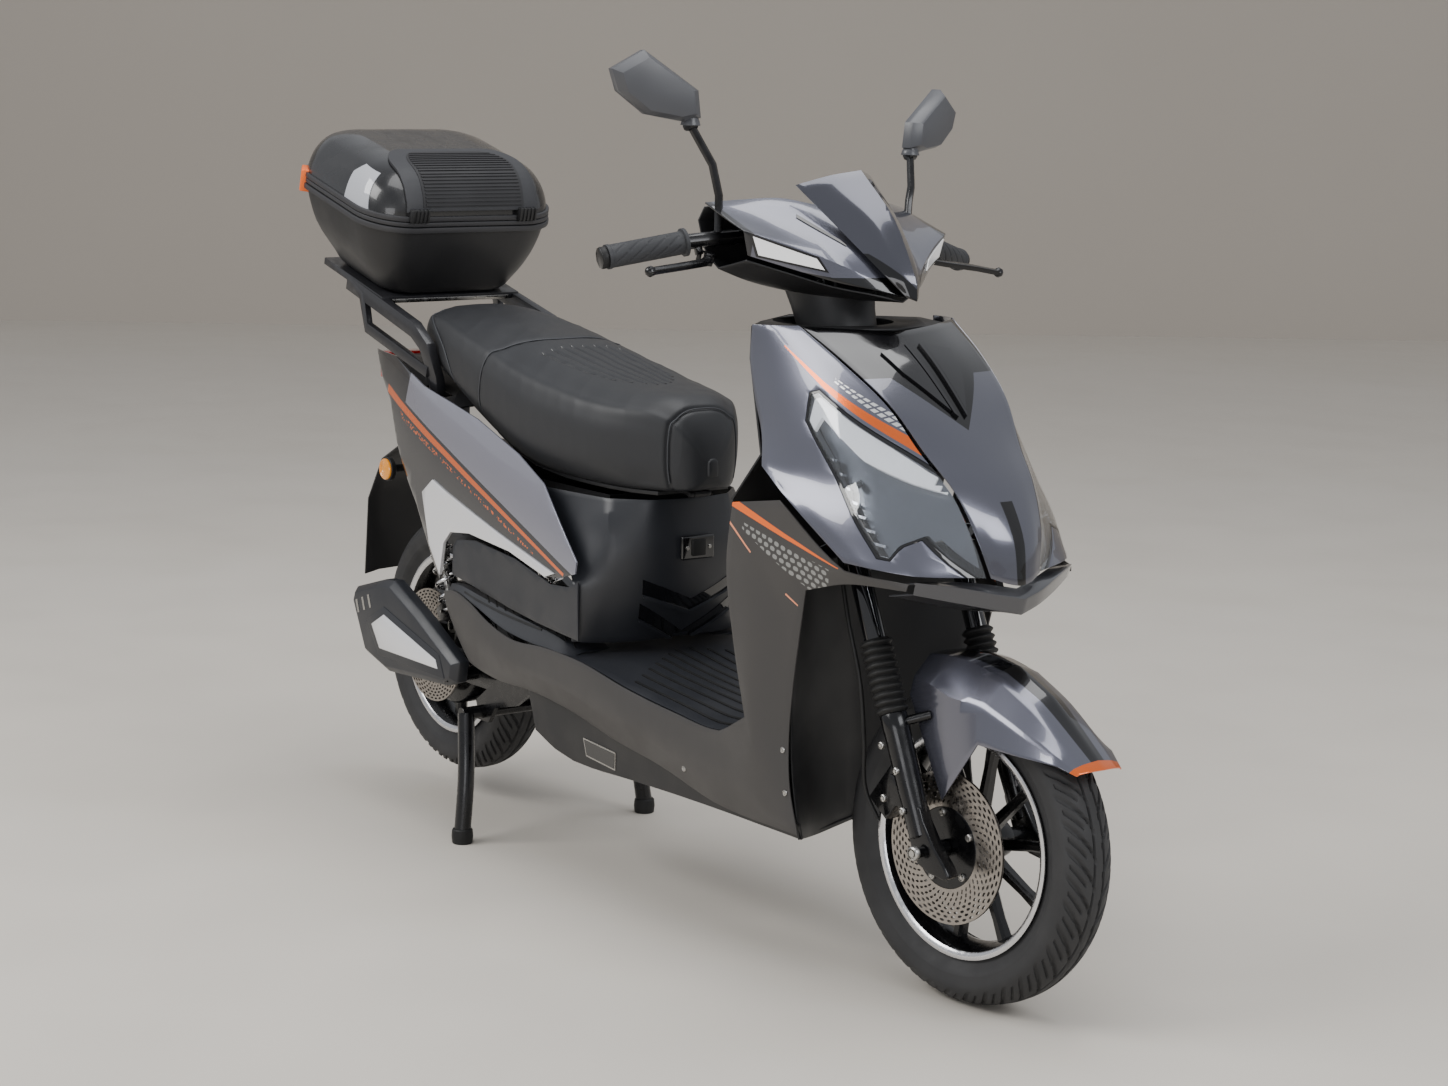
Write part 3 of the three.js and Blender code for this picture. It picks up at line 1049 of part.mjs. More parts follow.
function makeControls() {
  const [inner, outer] = [gripInnerShares, gripOuterShares].map(place);
  const way = outer.clone().sub(inner).normalize();
  const grip = cut(
    join(rod(inner, outer, 16.5, 12), rod(inner, inner.clone().addScaledVector(way, 5), 20, 12)),
    boreFor(inner.clone().addScaledVector(way, -overrun), outer.clone().addScaledVector(way, overrun), barRadius),
  );
  const z = leverSize;
  const pivot = place(leverPivotShares);
  const shift = (point, distance) => point.clone().addScaledVector(leverAxis, distance);
  const path = leverPathShares.map(place);
  const blade = loft(path.map((point, i) => {
    const before = path[Math.max(i - 1, 0)];
    const after = path[Math.min(i + 1, path.length - 1)];
    const side = after.clone().sub(before).cross(leverAxis).normalize().multiplyScalar(z.wide / 2);
    return [[1, 1], [1, -1], [-1, -1], [-1, 1]].map(([a, b]) => (
      point.clone().addScaledVector(side, a).addScaledVector(leverAxis, (b * z.thick) / 2)
    ));
  }));
  const tip = path[path.length - 1];
  const lever = cut(
    join(blade, rod(shift(pivot, -z.tall / 2), shift(pivot, z.tall / 2), z.boss), new THREE.SphereGeometry(z.knob, 8, 6).translate(tip.x, tip.y, tip.z)),
    boreFor(shift(pivot, -overrun), shift(pivot, overrun), z.pin),
  );
  const head = mirrorHeadShares.map(([y, h]) => new THREE.Vector2(y * halfWidth, h * barHeight));
  const headRing = (x, share) => {
    const middle = head.reduce((sum, p) => sum.clone().add(p), new THREE.Vector2()).divideScalar(head.length);
    return head.map((p) => p.clone().sub(middle).multiplyScalar(share).add(middle))
      .map((p) => new THREE.Vector3(x, p.x, p.y).applyAxisAngle(up, mirrorToe));
  };
  const m = mirrorHead;
  const shell = loft([
    headRing(-m.ahead, 1), headRing(m.deep / 4, 1), headRing(m.deep - m.ahead, m.bevel),
  ]);
  const socket = new THREE.SphereGeometry(mirrorBall * 1.6, 8, 6);
  const roomEnd = along.clone().multiplyScalar(mirrorBallWide / 2 + clearance);
  const room = boreFor(roomEnd.clone().negate(), roomEnd, mirrorBall, mirrorSides);
  const under = box(
    new THREE.Vector3(-overrun, -overrun, -overrun),
    new THREE.Vector3(overrun, overrun, -mirrorBall / 9),
  );
  const housing = cut(join(shell, socket), room, under);
  for (const [name, sign] of [['right', -1], ['left', 1]]) {
    piece(`grip_${name}`, sign > 0 ? grip : mirrored(grip), rubber, steered);
    piece(`brake_lever_${name}`, sign > 0 ? lever : mirrored(lever), blackMetal, steered);
    const side = sign > 0 ? housing : mirrored(housing);
    const at = toSide(place(mirrorBallShares[name][1]), sign);
    piece(`mirror_${name}`, side, silverPaint, steered).position.copy(at);
  }
}

// Rear wheel on its swingarm, with shocks, side covers and the centre stand
const swingPivot = place([0.345, 0, 0.262]);
const shockFoot = place([0.135, 0, 0.335]);
const shockHead = place([0.048, 0, 0.572]);
const armOutlineShares = [
  [0.363, 0.262], [0.356, 0.276], [0.2, 0.292], [0.02, 0.3], [-0.022, 0.292], [-0.026, 0.262],
  [-0.01, 0.25], [0.2, 0.246], [0.356, 0.247],
];
const shockPlateShares = [[0.165, 0.28], [0.148, 0.342], [0.136, 0.349], [0.123, 0.342], [0.108, 0.28]];
const arm = { inner: 88, outer: 112 };
const boltRadius = 8;
const swingTube = 15;
const earInner = 118;
const shock = { side: 104, eye: 12, pin: 6, thick: 16, body: 13, rod: 6, cup: 21.5, cupThick: 4 };
const shockLong = shockHead.distanceTo(shockFoot);
const shockBodyLong = 135;
const upperCup = 30;
const lowerCup = 30;
const rodInside = 55;
const spring = { turns: 7, wire: 3.5, radius: 17.8, steps: 8, sides: 5 };
const coverBosses = [[0, 0.275], [0.215, 0.268]];
const swingCoverShares = [
  [-0.107, 0.349], [-0.098, 0.373], [0.003, 0.401], [0.035, 0.403], [0.125, 0.364], [0.253, 0.298],
  [0.245, 0.262], [0.211, 0.251], [0.015, 0.24], [-0.062, 0.261],
];
const insertShares = [[-0.026, 0.319], [0.017, 0.342], [0.194, 0.294], [0.201, 0.279], [0.002, 0.28]];
const swingCover = { inner: 146, outer: 176, wall: 3, proud: 3 };
const rearCaliper = { x: 0.075, z: 0.335, outer: -0.43, inner: -0.28, radial: 42, tangent: 62 };
const caliperFoot = { low: [0.06, -0.49, 0.28], high: [0.092, -0.385, 0.33] };

function makeSwingarm() {
  const a = arm;
  const side = (sign) => {
    const [low, high] = [sign * a.inner, sign * a.outer].sort((p, q) => p - q);
    const plateLow = sign > 0 ? a.inner - 2 : -a.inner - 6;
    const at = (point, y) => point.clone().setY(sign * y);
    const bosses = coverBosses.map(([x, z]) => rod(
      place([x, 0, z]).setY(sign * a.outer - sign), place([x, 0, z]).setY(sign * (swingCover.outer - swingCover.wall - clearance)), 12, 8,
    ));
    return [
      prism(armOutlineShares.map(flat), low, high),
      prism(shockPlateShares.map(flat), plateLow, plateLow + 8),
      rod(at(shockFoot, a.inner), at(shockFoot, shock.side + shock.thick / 2 + 2), shock.pin),
      ...bosses,
    ];
  };
  const wheelAxle = rod(rearAxle.clone().setY(-a.outer), rearAxle.clone().setY(a.outer), boltRadius);
  const collars = [
    rod(rearAxle.clone().setY(-a.inner), rearAxle.clone().setY(rearHub[0][1] - clearance), boltRadius * 1.7),
    rod(rearAxle.clone().setY(a.inner), rearAxle.clone().setY(rearHub[rearHub.length - 1][1] + clearance), boltRadius * 1.7),
  ];
  const crossAt = place([0.3, 0, 0.269]);
  const cross = rod(crossAt.clone().setY(-a.inner), crossAt.clone().setY(a.inner), 12);
  const pivotEnd = earInner - clearance;
  const pivotTube = rod(swingPivot.clone().setY(-pivotEnd), swingPivot.clone().setY(pivotEnd), swingTube, 12);
  const block = caliperBlock(place([rearCaliper.x, 0, rearCaliper.z]), rearAxle, rearCaliper);
  const foot = box(place(caliperFoot.low), place(caliperFoot.high));
  const slot = slotFor(rearDisc, rearAxle);
  const pivotBore = boreFor(
    swingPivot.clone().setY(-pivotEnd - overrun), swingPivot.clone().setY(pivotEnd + overrun), boltRadius,
  );
  const blockCut = cut(join(block, foot), slot);
  const body = join(...side(-1), ...side(1), wheelAxle, ...collars, cross, pivotTube, blockCut);
  piece('swingarm', cut(body, pivotBore), blackMetal);

  const c = swingCover;
  const outline = swingCoverShares.map(flat);
  const shell = cut(
    prism(outline, -c.outer, -c.inner),
    prism(grown(outline, -c.wall), c.wall - c.outer, overrun - c.inner),
  );
  const insert = prism(insertShares.map(flat), -c.outer - c.proud, -c.outer + c.wall / 2);
  pair('swingarm_cover', join(shell, insert), blackPlastic);
}

const shockFrame = new THREE.Group();
shockFrame.position.copy(shockHead);
shockFrame.rotation.y = Math.atan2(shockHead.x - shockFoot.x, shockHead.z - shockFoot.z);
group.add(shockFrame);

function makeShocks() {
  const s = shock;
  const at = (depth, out = 0) => new THREE.Vector3(0, -s.side + out, -depth);
  const eye = (depth) => rod(at(depth, -s.thick / 2), at(depth, s.thick / 2), s.eye, 10);
  const eyeBore = (depth, gap) => boreFor(at(depth, -s.thick), at(depth, s.thick), s.pin, 8, gap);
  const body = cut(
    join(eye(0), rod(at(0), at(shockBodyLong), s.body, 10), rod(at(upperCup), at(upperCup + s.cupThick), s.cup, 12)),
    eyeBore(0, clearance),
    boreFor(at(shockBodyLong + overrun), at(shockBodyLong - rodInside - 38), s.rod),
  );
  pair('shock_body', body, chrome, shockFrame);
  const cupTop = shockLong - lowerCup;
  const rodPiece = cut(
    join(eye(shockLong), rod(at(shockLong), at(shockBodyLong - rodInside), s.rod), rod(at(cupTop + s.cupThick), at(cupTop), s.cup, 12)),
    eyeBore(shockLong, footGap),
  );
  pair('shock_rod', rodPiece, chrome, shockFrame);

  const w = spring;
  const top = upperCup + s.cupThick + clearance + w.wire;
  const bottom = cupTop - clearance - w.wire;
  const count = w.turns * w.steps;
  const rings = [];
  const centres = [];
  for (let i = 0; i <= count; i++) {
    const turn = (i / w.steps) * Math.PI * 2;
    const out = new THREE.Vector3(Math.cos(turn), Math.sin(turn), 0);
    const centre = at(THREE.MathUtils.lerp(top, bottom, i / count)).addScaledVector(out, w.radius);
    centres.push(centre);
    rings.push(Array.from({ length: w.sides }, (_, k) => {
      const lean = (k / w.sides) * Math.PI * 2;
      return centre.clone().addScaledVector(out, Math.cos(lean) * w.wire).addScaledVector(up, Math.sin(lean) * w.wire);
    }));
  }
  let gap = Infinity;
  for (let i = 0; i <= count; i++) {
    for (let j = i + w.steps / 2; j <= count; j++) {
      for (const a of rings[i]) for (const b of rings[j]) gap = Math.min(gap, a.distanceTo(b));
    }
  }
  console.error(`shock spring: least gap to itself ${gap.toFixed(2)} mm`);
  pair('shock_spring', loft(rings), chrome, shockFrame);
}

const footGap = 1.6; // the lower eye's play on its pin

const standPivot = place([0.262, 0, 0.212]);
const standLegShares = [[0.262, 0.79, 0.212], [0.285, 0.86, 0.11], [0.293, 0.92, 0.014]];
const standTube = 14;
const standShaft = 11;
const standFoot = { radius: 17, high: 24 };

function makeStand() {
  const leg = (sign) => {
    const points = standLegShares.map((share) => toSide(place(share), sign));
    const foot = points[2].clone().setZ(0);
    return join(pipe(points, standTube), rod(foot, foot.clone().setZ(standFoot.high), standFoot.radius, 10));
  };
  const reach = standLegShares[0][1] * halfWidth + standTube * 0.7;
  const shaft = rod(standPivot.clone().setY(-reach), standPivot.clone().setY(reach), standShaft, 12);
  piece('centre_stand', join(leg(-1), leg(1), shaft), blackMetal);
}

// Battery, controller and the tub under the seat
const batteryShares = { low: [0.52, -0.56, 0.222], high: [0.96, 0.56, 0.325] };
const controllerShares = { low: [0.43, -0.4, 0.2999], high: [0.515, 0.4, 0.352] };
const tubShares = { low: [0.3, -0.49, 0.49], high: [0.6, 0.49, 0.6215] };
const tubWall = 3;

function makeInside() {
  piece('battery_pack', box(place(batteryShares.low), place(batteryShares.high)), cellCase);
  piece('controller', box(place(controllerShares.low), place(controllerShares.high)), bareSteel);
  const [low, high] = [place(tubShares.low), place(tubShares.high)];
  const hollow = box(low.clone().addScalar(tubWall), high.clone().subScalar(tubWall).setZ(high.z + overrun));
  const h = seatHinge;
  const pivot = place([h.x, 0, h.z]);
  const side = (y) => pivot.clone().setY(y);
  const armLow = new THREE.Vector3(high.x - tubWall, -h.half, high.z - tubWall);
  const armBody = box(armLow, new THREE.Vector3(high.x, h.half, pivot.z - h.arm));
  const armTop = box(
    new THREE.Vector3(high.x - tubWall, -h.half, pivot.z - h.arm * 2),
    new THREE.Vector3(pivot.x, h.half, pivot.z - h.arm / 2),
  );
  const eye = rod(side(-h.half), side(h.half), h.eye);
  const bore = boreFor(side(-overrun), side(overrun), h.pin);
  piece('underseat_tub', cut(join(cut(box(low, high), hollow), armBody, armTop, eye), bore), blackPlastic);
}

// Grab rail: two flat bars a side, and the rack plate under the box
const railPathShares = [
  [-0.18, 0.65, 0.903], [0.06, 0.68, 0.838], [0.092, 0.665, 0.812], [0.1, 0.6, 0.76], [0.1, 0.545, 0.66],
];
const bracePathShares = [[-0.125, 0.67, 0.885], [-0.105, 0.68, 0.828], [0.092, 0.645, 0.768]];
const railSize = { wide: 26, thick: 16, brace: 18, braceThick: 11 };
const rackPlate = { rear: -215, half: 138, thick: 12 };

function makeRack() {
  const z = railSize;
  const one = join(
    flatBar(railPathShares.map(place), z.wide, z.thick),
    flatBar(bracePathShares.map(place), z.brace, z.braceThick),
  );
  const p = rackPlate;
  const plate = box(new THREE.Vector3(p.rear, -p.half, -p.thick), new THREE.Vector3(0, p.half, -clearance))
    .rotateY(boxPitch).translate(boxTop.position.x, boxTop.position.y, boxTop.position.z);
  const rail = pipe(railShares.map(place), railRadius + clearance * 1.5, 6);
  piece('grab_rail', largest(cut(join(one, mirrored(one), plate), rail, mirrored(rail))), blackMetal);
}

// Main frame: tubes first, then ears, trays and the arms that carry the panels
const railShares = [
  [1.06, 0.65, 0.272], [0.96, 0.65, 0.288], [0.48, 0.65, 0.29], [0.425, 0.6, 0.3],
  [0.39, 0.59, 0.42], [0.3, 0.575, 0.56], [0.1, 0.54, 0.655], [-0.08, 0.425, 0.695],
];
const downTubeShares = [[1.118, 0, 0.73], [1.083, 0, 0.6], [1.077, 0, 0.54], [1.077, 0, 0.3], [1.06, 0, 0.272]];
const crossShares = [[1.06, 0.65, 0.272], [0.465, 0.65, 0.29], [-0.08, 0.425, 0.695]];
const crossRadius = [14, 11, 10];
const railRadius = 13;
const downTube = 17;
const earShares = [
  [0.425, 0.3], [0.4, 0.4], [0.378, 0.4], [0.33, 0.29], [0.243, 0.23], [0.244, 0.196], [0.28, 0.196], [0.3, 0.224], [0.365, 0.24], [0.42, 0.275],
];
const ear = { thick: 8 };
const trayAt = [0.6, 0.88];
const tray = { half: 14, low: 0.207, inner: 0.575, outer: 0.7 };
const shockEarShares = [[0.03, 0.566], [0.048, 0.56], [0.066, 0.566], [0.1, 0.66], [0.04, 0.672]];
const crossArmHeight = 0.5;
const armShares = {
  sillFront: [[1.077, 0, crossArmHeight], [1.098, 0.5, crossArmHeight], [1.125, 1.03, crossArmHeight]],
  sillMiddle: [[0.71, 0.65, 0.29], [0.71, 1.01, 0.31]],
  sillRear: [[0.47, 0.65, 0.29], [0.47, 0.98, 0.36]],
  inner: [[1.098, 0.5, crossArmHeight], [1.035, 0.5, crossArmHeight]],
  liner: [[1.098, 0.5, crossArmHeight], [1.15, 0.5, crossArmHeight]],
  belly: [[0.8, 0.67, 0.29], [0.8, 0.67, 0.18]],
  floor: [[0.8, 0.65, 0.29], [0.8, 0.65, 0.385]],
  fairing: [[1.078, 0, 0.82], [1.18, 0.93, 0.81]],
  lens: [[1.12, 0, 0.725], [1.3, 0.8, 0.73]],
  tail: [[0.1, 0.54, 0.655], [0.1, 0.78, 0.655]],
  wing: [[0.3, 0.575, 0.56], [0.3, 0.86, 0.54]],
  side: [[0.385, 0.59, 0.43], [0.4, 0.84, 0.445]],
  front: [[0.372, 0.585, 0.45], [0.67, 0.64, 0.47]],
  deck: [[0, 0.475, 0.677], [0, 0.45, 0.785]],
  tub: [[0.345, 0.58, 0.5], [0.345, 0.47, 0.5]],
};
const noseArmShares = [[1.118, 0, 0.735], [1.345, 0, 0.762], [1.38, 0, 0.77]];
const beakArmShares = [[1.345, 0, 0.762], [1.432, 0, 0.549]];
const seatRestShares = { low: [0.25, -0.3, 0.6], high: [0.28, 0.3, 0.6905] };
const restArmShares = [[0.26, 0.56, 0.58], [0.26, 0.2, 0.63]];
const armRadius = 6;

function makeFrame() {
  const run = (shares, radius, sign = 1, sides = 6) => (
    pipe(shares.map(place).map((p) => toSide(p, sign)), radius, sides)
  );
  const headAt = (height) => steerFoot.clone().addScaledVector(steerAxis, height);
  const tubes = [
    rod(headAt(headTube.low), headAt(headTube.high), headTube.radius, stemSides),
    run(downTubeShares, downTube),
    ...crossShares.map(([x, y, z], i) => run([[x, -y, z], [x, y, z]], crossRadius[i])),
    rod(swingPivot.clone().setY(-earInner - ear.thick), swingPivot.clone().setY(earInner + ear.thick), boltRadius),
  ];
  const sides = [-1, 1].flatMap((sign) => {
    const slab = (shares, inner, outer) => {
      const [low, high] = [sign * inner, sign * outer].sort((p, q) => p - q);
      return prism(shares.map(flat), low, high);
    };
    const trays = trayAt.map((x) => {
      const [from, to] = [tray.inner, tray.outer].map((y) => sign * y).sort((p, q) => p - q);
      const half = tray.half / barReach;
      return box(place([x - half, from, tray.low]), place([x + half, to, railShares[2][2]]));
    });
    const pinTop = shockHead.clone().setY(sign * (shock.side + shock.thick / 2 + 2));
    return [
      run(railShares, railRadius, sign),
      slab(earShares, earInner, earInner + ear.thick),
      slab(shockEarShares, 80, 89),
      rod(shockHead.clone().setY(sign * 88), pinTop, shock.pin),
      ...trays,
    ];
  });
  const trayBars = trayAt.map((x) => {
    const half = tray.half / barReach;
    return box(place([x - half, -tray.outer, tray.low]), place([x + half, tray.outer, batteryShares.low[2]]).sub(up.clone().multiplyScalar(clearance)));
  });
  const arms = Object.values(armShares).flatMap((shares) => [run(shares, armRadius, -1, 4), run(shares, armRadius, 1, 4)]);
  const rest = box(place(seatRestShares.low), place(seatRestShares.high));
  const extras = [
    run(noseArmShares, armRadius, 1, 4), run(beakArmShares, armRadius, 1, 4), rest,
    run(restArmShares, armRadius, -1, 4), run(restArmShares, armRadius, 1, 4),
  ];
  const body = join(...tubes, ...sides, ...trayBars, ...arms, ...extras);
  const bore = boreFor(headAt(headTube.low - overrun), headAt(headTube.high + overrun), stemRadius, stemSides);
  const standBore = boreFor(standPivot.clone().setY(-halfWidth), standPivot.clone().setY(halfWidth), standShaft, 12);
  const tubCut = box(
    place(tubShares.low).subScalar(clearance),
    place(tubShares.high).addScalar(clearance),
  );
  const behind = (rows, core = bodyCore) => sheet(rows, -wall - clearance, overrun / 3, core);
  const tailSide = behind(tailRows());
  const lowerSide = meet(behind(tailRows(sideInset)), prism(grown(sideOutlineShares.map(flat), seam), -halfWidth * 2, 0));
  const sill = behind(sillRows);
  const fairing = behind(fairingRows, fairingCore);
  const cutters = [
    tailSide, mirrored(tailSide), lowerSide, mirrored(lowerSide), sill, mirrored(sill), fairing, mirrored(fairing),
    behind(noseRows, fairingCore), behind(beakRows, beakCore), behind(innerRows, innerCore),
    behind(linerRows, linerCore), behind(bellyRows, bellyCore), behind(floorRows, floorCore),
    behind(underSeatRows), behind(deckRows, rearAxle), bore, standBore, tubCut,
  ];
  piece('main_frame', largest(cut(body, ...cutters)), blackMetal);
}

makeShells();
makeRearEnd();
makeSeat();
makeTopBox();
makeFrontEnd();
makeBars();
makeSwingarm();
makeWheel('rear', rearHub, rearDisc, rearAxle, group);
makeShocks();
makeStand();
makeInside();
makeRack();
makeFrame();

// The origin sits under the middle of the whole
const bounds = new THREE.Box3().setFromObject(group, true);
const middle = bounds.getCenter(new THREE.Vector3());
group.position.set(-middle.x, -middle.y, -bounds.min.z);

export default group;
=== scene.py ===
import json
import math
import bmesh
import bpy
from mathutils import Matrix, Vector
from mathutils.bvhtree import BVHTree

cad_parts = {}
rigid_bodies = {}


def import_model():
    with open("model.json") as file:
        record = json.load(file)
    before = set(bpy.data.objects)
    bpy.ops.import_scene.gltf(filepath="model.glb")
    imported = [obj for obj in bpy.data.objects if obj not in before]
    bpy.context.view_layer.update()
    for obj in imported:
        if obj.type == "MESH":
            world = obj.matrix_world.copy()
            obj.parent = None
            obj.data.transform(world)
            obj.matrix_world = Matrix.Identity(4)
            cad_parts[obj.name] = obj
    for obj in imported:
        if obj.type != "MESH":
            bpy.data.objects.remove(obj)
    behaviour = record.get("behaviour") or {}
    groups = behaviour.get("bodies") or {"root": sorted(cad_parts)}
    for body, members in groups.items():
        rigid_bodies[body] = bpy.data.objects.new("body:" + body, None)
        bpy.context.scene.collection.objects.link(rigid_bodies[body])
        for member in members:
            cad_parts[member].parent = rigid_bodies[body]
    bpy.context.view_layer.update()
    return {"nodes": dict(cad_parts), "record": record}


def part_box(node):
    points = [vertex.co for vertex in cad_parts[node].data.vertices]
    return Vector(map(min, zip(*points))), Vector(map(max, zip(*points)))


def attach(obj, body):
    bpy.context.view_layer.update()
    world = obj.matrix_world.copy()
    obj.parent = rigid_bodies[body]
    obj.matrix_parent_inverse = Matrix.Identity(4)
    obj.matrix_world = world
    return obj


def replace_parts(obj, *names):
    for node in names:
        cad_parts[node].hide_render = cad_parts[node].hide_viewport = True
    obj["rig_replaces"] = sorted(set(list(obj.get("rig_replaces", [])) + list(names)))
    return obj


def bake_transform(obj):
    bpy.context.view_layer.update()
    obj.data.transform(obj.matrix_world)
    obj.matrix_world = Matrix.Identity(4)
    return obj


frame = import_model()
nodes = frame["nodes"]

# Where the shares of the tables start: under the rear axle, on the middle plane
tyreLow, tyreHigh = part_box("rear_tyre")
home = (tyreLow + tyreHigh) / 2
home.z = 0
body = {"halfWidth": 0.2, "wall": 0.0026, "seam": 0.0016}
trim = {"rise": 0.0012, "wall": 0.0012, "cell": 0.008}
steering = {"rake": math.radians(23.6), "turn": math.radians(5.5), "lead": 0.036, "tyre": 0.2265}
steerAxis = Vector((-math.sin(steering["rake"]), 0, math.cos(steering["rake"])))
steerFront = Vector((math.cos(steering["rake"]), 0, math.sin(steering["rake"])))
across = Vector((0, 1, 0))
forward = Vector((1, 0, 0))
rearward = Vector((-1, 0, 0))
upward = Vector((0, 0, 1))
down = Vector((0, 0, -1))
pair = (("Right", -1), ("Left", 1))
footHeight = steering["tyre"] - steering["lead"] * math.sin(steering["rake"])
footReach = 1 + (1 - footHeight) * math.tan(steering["rake"])
steerFoot = Vector((home.x + footReach, home.y, footHeight))
turned = Matrix.Translation(steerFoot) @ Matrix.Rotation(steering["turn"], 4, steerAxis)
turned = turned @ Matrix.Translation(-steerFoot)
flip = Matrix.Translation(home) @ Matrix.Scale(-1, 4, across) @ Matrix.Translation(-home)
fromBody = home + Vector((0.55, 0, 0.5))


def place(share):
    return Vector((home.x + share[0], home.y + share[1] * body["halfWidth"], share[2]))


def onFork(height, ahead, side):
    return steerFoot + steerAxis * height + steerFront * ahead + across * side


# A smooth line through points that keeps its sharp corners
def line(points, steps, fold=(20, 42)):
    low, high = math.radians(fold[0]), math.radians(fold[1])
    ways = [b - a for a, b in zip(points, points[1:])]
    coming, going = [], []
    for i in range(len(points)):
        first = ways[max(i - 1, 0)]
        second = ways[min(i, len(ways) - 1)]
        a, b = first.length, second.length
        one, two = first.normalized(), second.normalized()
        keep = min(max((one.angle(two, 0) - low) / (high - low), 0), 1)
        even = (one * b + two * a) / (a + b)
        coming.append(even.lerp(one, keep))
        going.append(even.lerp(two, keep))
    made = []
    for i, way in enumerate(ways):
        size = way.length
        for k in range(steps):
            t = k / steps
            lift = (2 * t ** 3 - 3 * t ** 2 + 1, t ** 3 - 2 * t ** 2 + t,
                    3 * t ** 2 - 2 * t ** 3, t ** 3 - t ** 2)
            made.append(points[i] * lift[0] + going[i] * (lift[1] * size)
                        + points[i + 1] * lift[2] + coming[i + 1] * (lift[3] * size))
    return made + [points[-1]]


def fine(rows, steps, fold=(20, 42)):
    wide = [line(row, steps, fold) for row in rows]
    columns = [line(list(column), steps, fold) for column in zip(*wide)]
    return [list(row) for row in zip(*columns)]


def rightSide(table):
    return [[place((x, -abs(y), z)) for x, y, z in row] for row in table]


def bothSides(table):
    rows = []
    for row in table:
        left = [place(p) for p in row]
        right = [place((x, -y, z)) for x, y, z in row[1:]]
        rows.append(right[::-1] + left)
    return rows


def outward(mesh, middle):
    mesh.normal_update()
    if sum(f.normal.dot(f.calc_center_median() - middle) for f in mesh.faces) < 0:
        bmesh.ops.reverse_faces(mesh, faces=mesh.faces)
    mesh.normal_update()
    return mesh


# Open surface over a grid of points, its faces turned away from a middle
def surface(rows, middle=fromBody):
    mesh = bmesh.new()
    made = bmesh.ops.create_grid(mesh, x_segments=len(rows[0]) - 1, y_segments=len(rows) - 1, size=0.5)
    for vert, point in zip(made["verts"], [p for row in rows for p in row]):
        vert.co = point
    return outward(mesh, middle)


def thicken(mesh, wall):
    bmesh.ops.solidify(mesh, geom=mesh.faces, thickness=wall)
    mesh.normal_update()
    return mesh


def sharpen(mesh, angle=35):
    for edge in mesh.edges:
        if len(edge.link_faces) == 2:
            edge.smooth = edge.calc_face_angle() < math.radians(angle)
    for face in mesh.faces:
        face.smooth = True


def rounded(mesh, edges, width, segments):
    bmesh.ops.bevel(mesh, geom=edges, offset=width, segments=segments, profile=0.5, affect="EDGES",
                    clamp_overlap=True, material=-1)


def soften(mesh, width, angle=35, segments=2):
    least = math.radians(angle)
    rounded(mesh, [e for e in mesh.edges if len(e.link_faces) == 2 and e.calc_face_angle() > least],
            width, segments)
    mesh.normal_update()


def skinOf(rows, steps=6, middle=fromBody):
    return BVHTree.FromBMesh(surface(fine(rows, steps), middle))


def shellOf(rows, steps=6, wall=0.0026, middle=fromBody, fold=(20, 42), edge=0.0006):
    mesh = thicken(surface(fine(rows, steps, fold), middle), wall)
    soften(mesh, edge, 60)
    return mesh


def shown(name, mesh, finish):
    data = bpy.data.meshes.new(name)
    mesh.to_mesh(data)
    mesh.free()
    data.materials.append(finish.made)
    piece = bpy.data.objects.new(name, data)
    bpy.context.scene.collection.objects.link(piece)
    return piece


# Turns a working mesh into a finished piece that rides on a body
def finished(name, mesh, rides, finish, stands=(), angle=35, matrix=None):
    if matrix:
        bmesh.ops.transform(mesh, matrix=matrix, verts=mesh.verts)
        if matrix.determinant() < 0:
            bmesh.ops.reverse_faces(mesh, faces=mesh.faces)
    mesh.normal_update()
    sharpen(mesh, angle)
    piece = shown(name, mesh, finish)
    if rides:
        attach(piece, rides)
    if stands:
        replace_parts(piece, *stands)
    return piece


def twins(name, mesh, rides, finish, node=None, angle=35, matrix=None):
    ridesLeft, ridesRight = (rides, rides) if isinstance(rides, str) else rides
    other = mesh.copy()
    side = matrix @ flip if matrix else flip
    left = [f"{node}_left"] if node else []
    right = [f"{node}_right"] if node else []
    first = finished(f"{name}Right", mesh, ridesRight, finish, right, angle, matrix)
    second = finished(f"{name}Left", other, ridesLeft, finish, left, angle, side)
    return first, second


# Working meshes cut or met by another one
def carve(mesh, tool, how="DIFFERENCE"):
    parts = []
    for each in (mesh, tool):
        data = bpy.data.meshes.new("work")
        each.to_mesh(data)
        each.free()
        part = bpy.data.objects.new("work", data)
        bpy.context.scene.collection.objects.link(part)
        parts.append(part)
    change = parts[0].modifiers.new("cut", "BOOLEAN")
    change.object = parts[1]
    change.operation = how
    change.solver = "EXACT"
    bpy.context.view_layer.update()
    result = bmesh.new()
    result.from_object(parts[0], bpy.context.evaluated_depsgraph_get())
    for part in parts:
        data = part.data
        bpy.data.objects.remove(part)
        bpy.data.meshes.remove(data)
    return result


def outlined(points, depth):
    mesh = bmesh.new()
    face = mesh.faces.new([mesh.verts.new(p) for p in points])
    made = bmesh.ops.extrude_face_region(mesh, geom=[face])
    moved = [v for v in made["geom"] if isinstance(v, bmesh.types.BMVert)]
    bmesh.ops.translate(mesh, vec=depth, verts=moved)
    bmesh.ops.recalc_face_normals(mesh, faces=mesh.faces)
    return mesh


def sideCutter(outline, start=-0.3, end=-0.001):
    return outlined(fromSide(outline, start), across * (end - start))


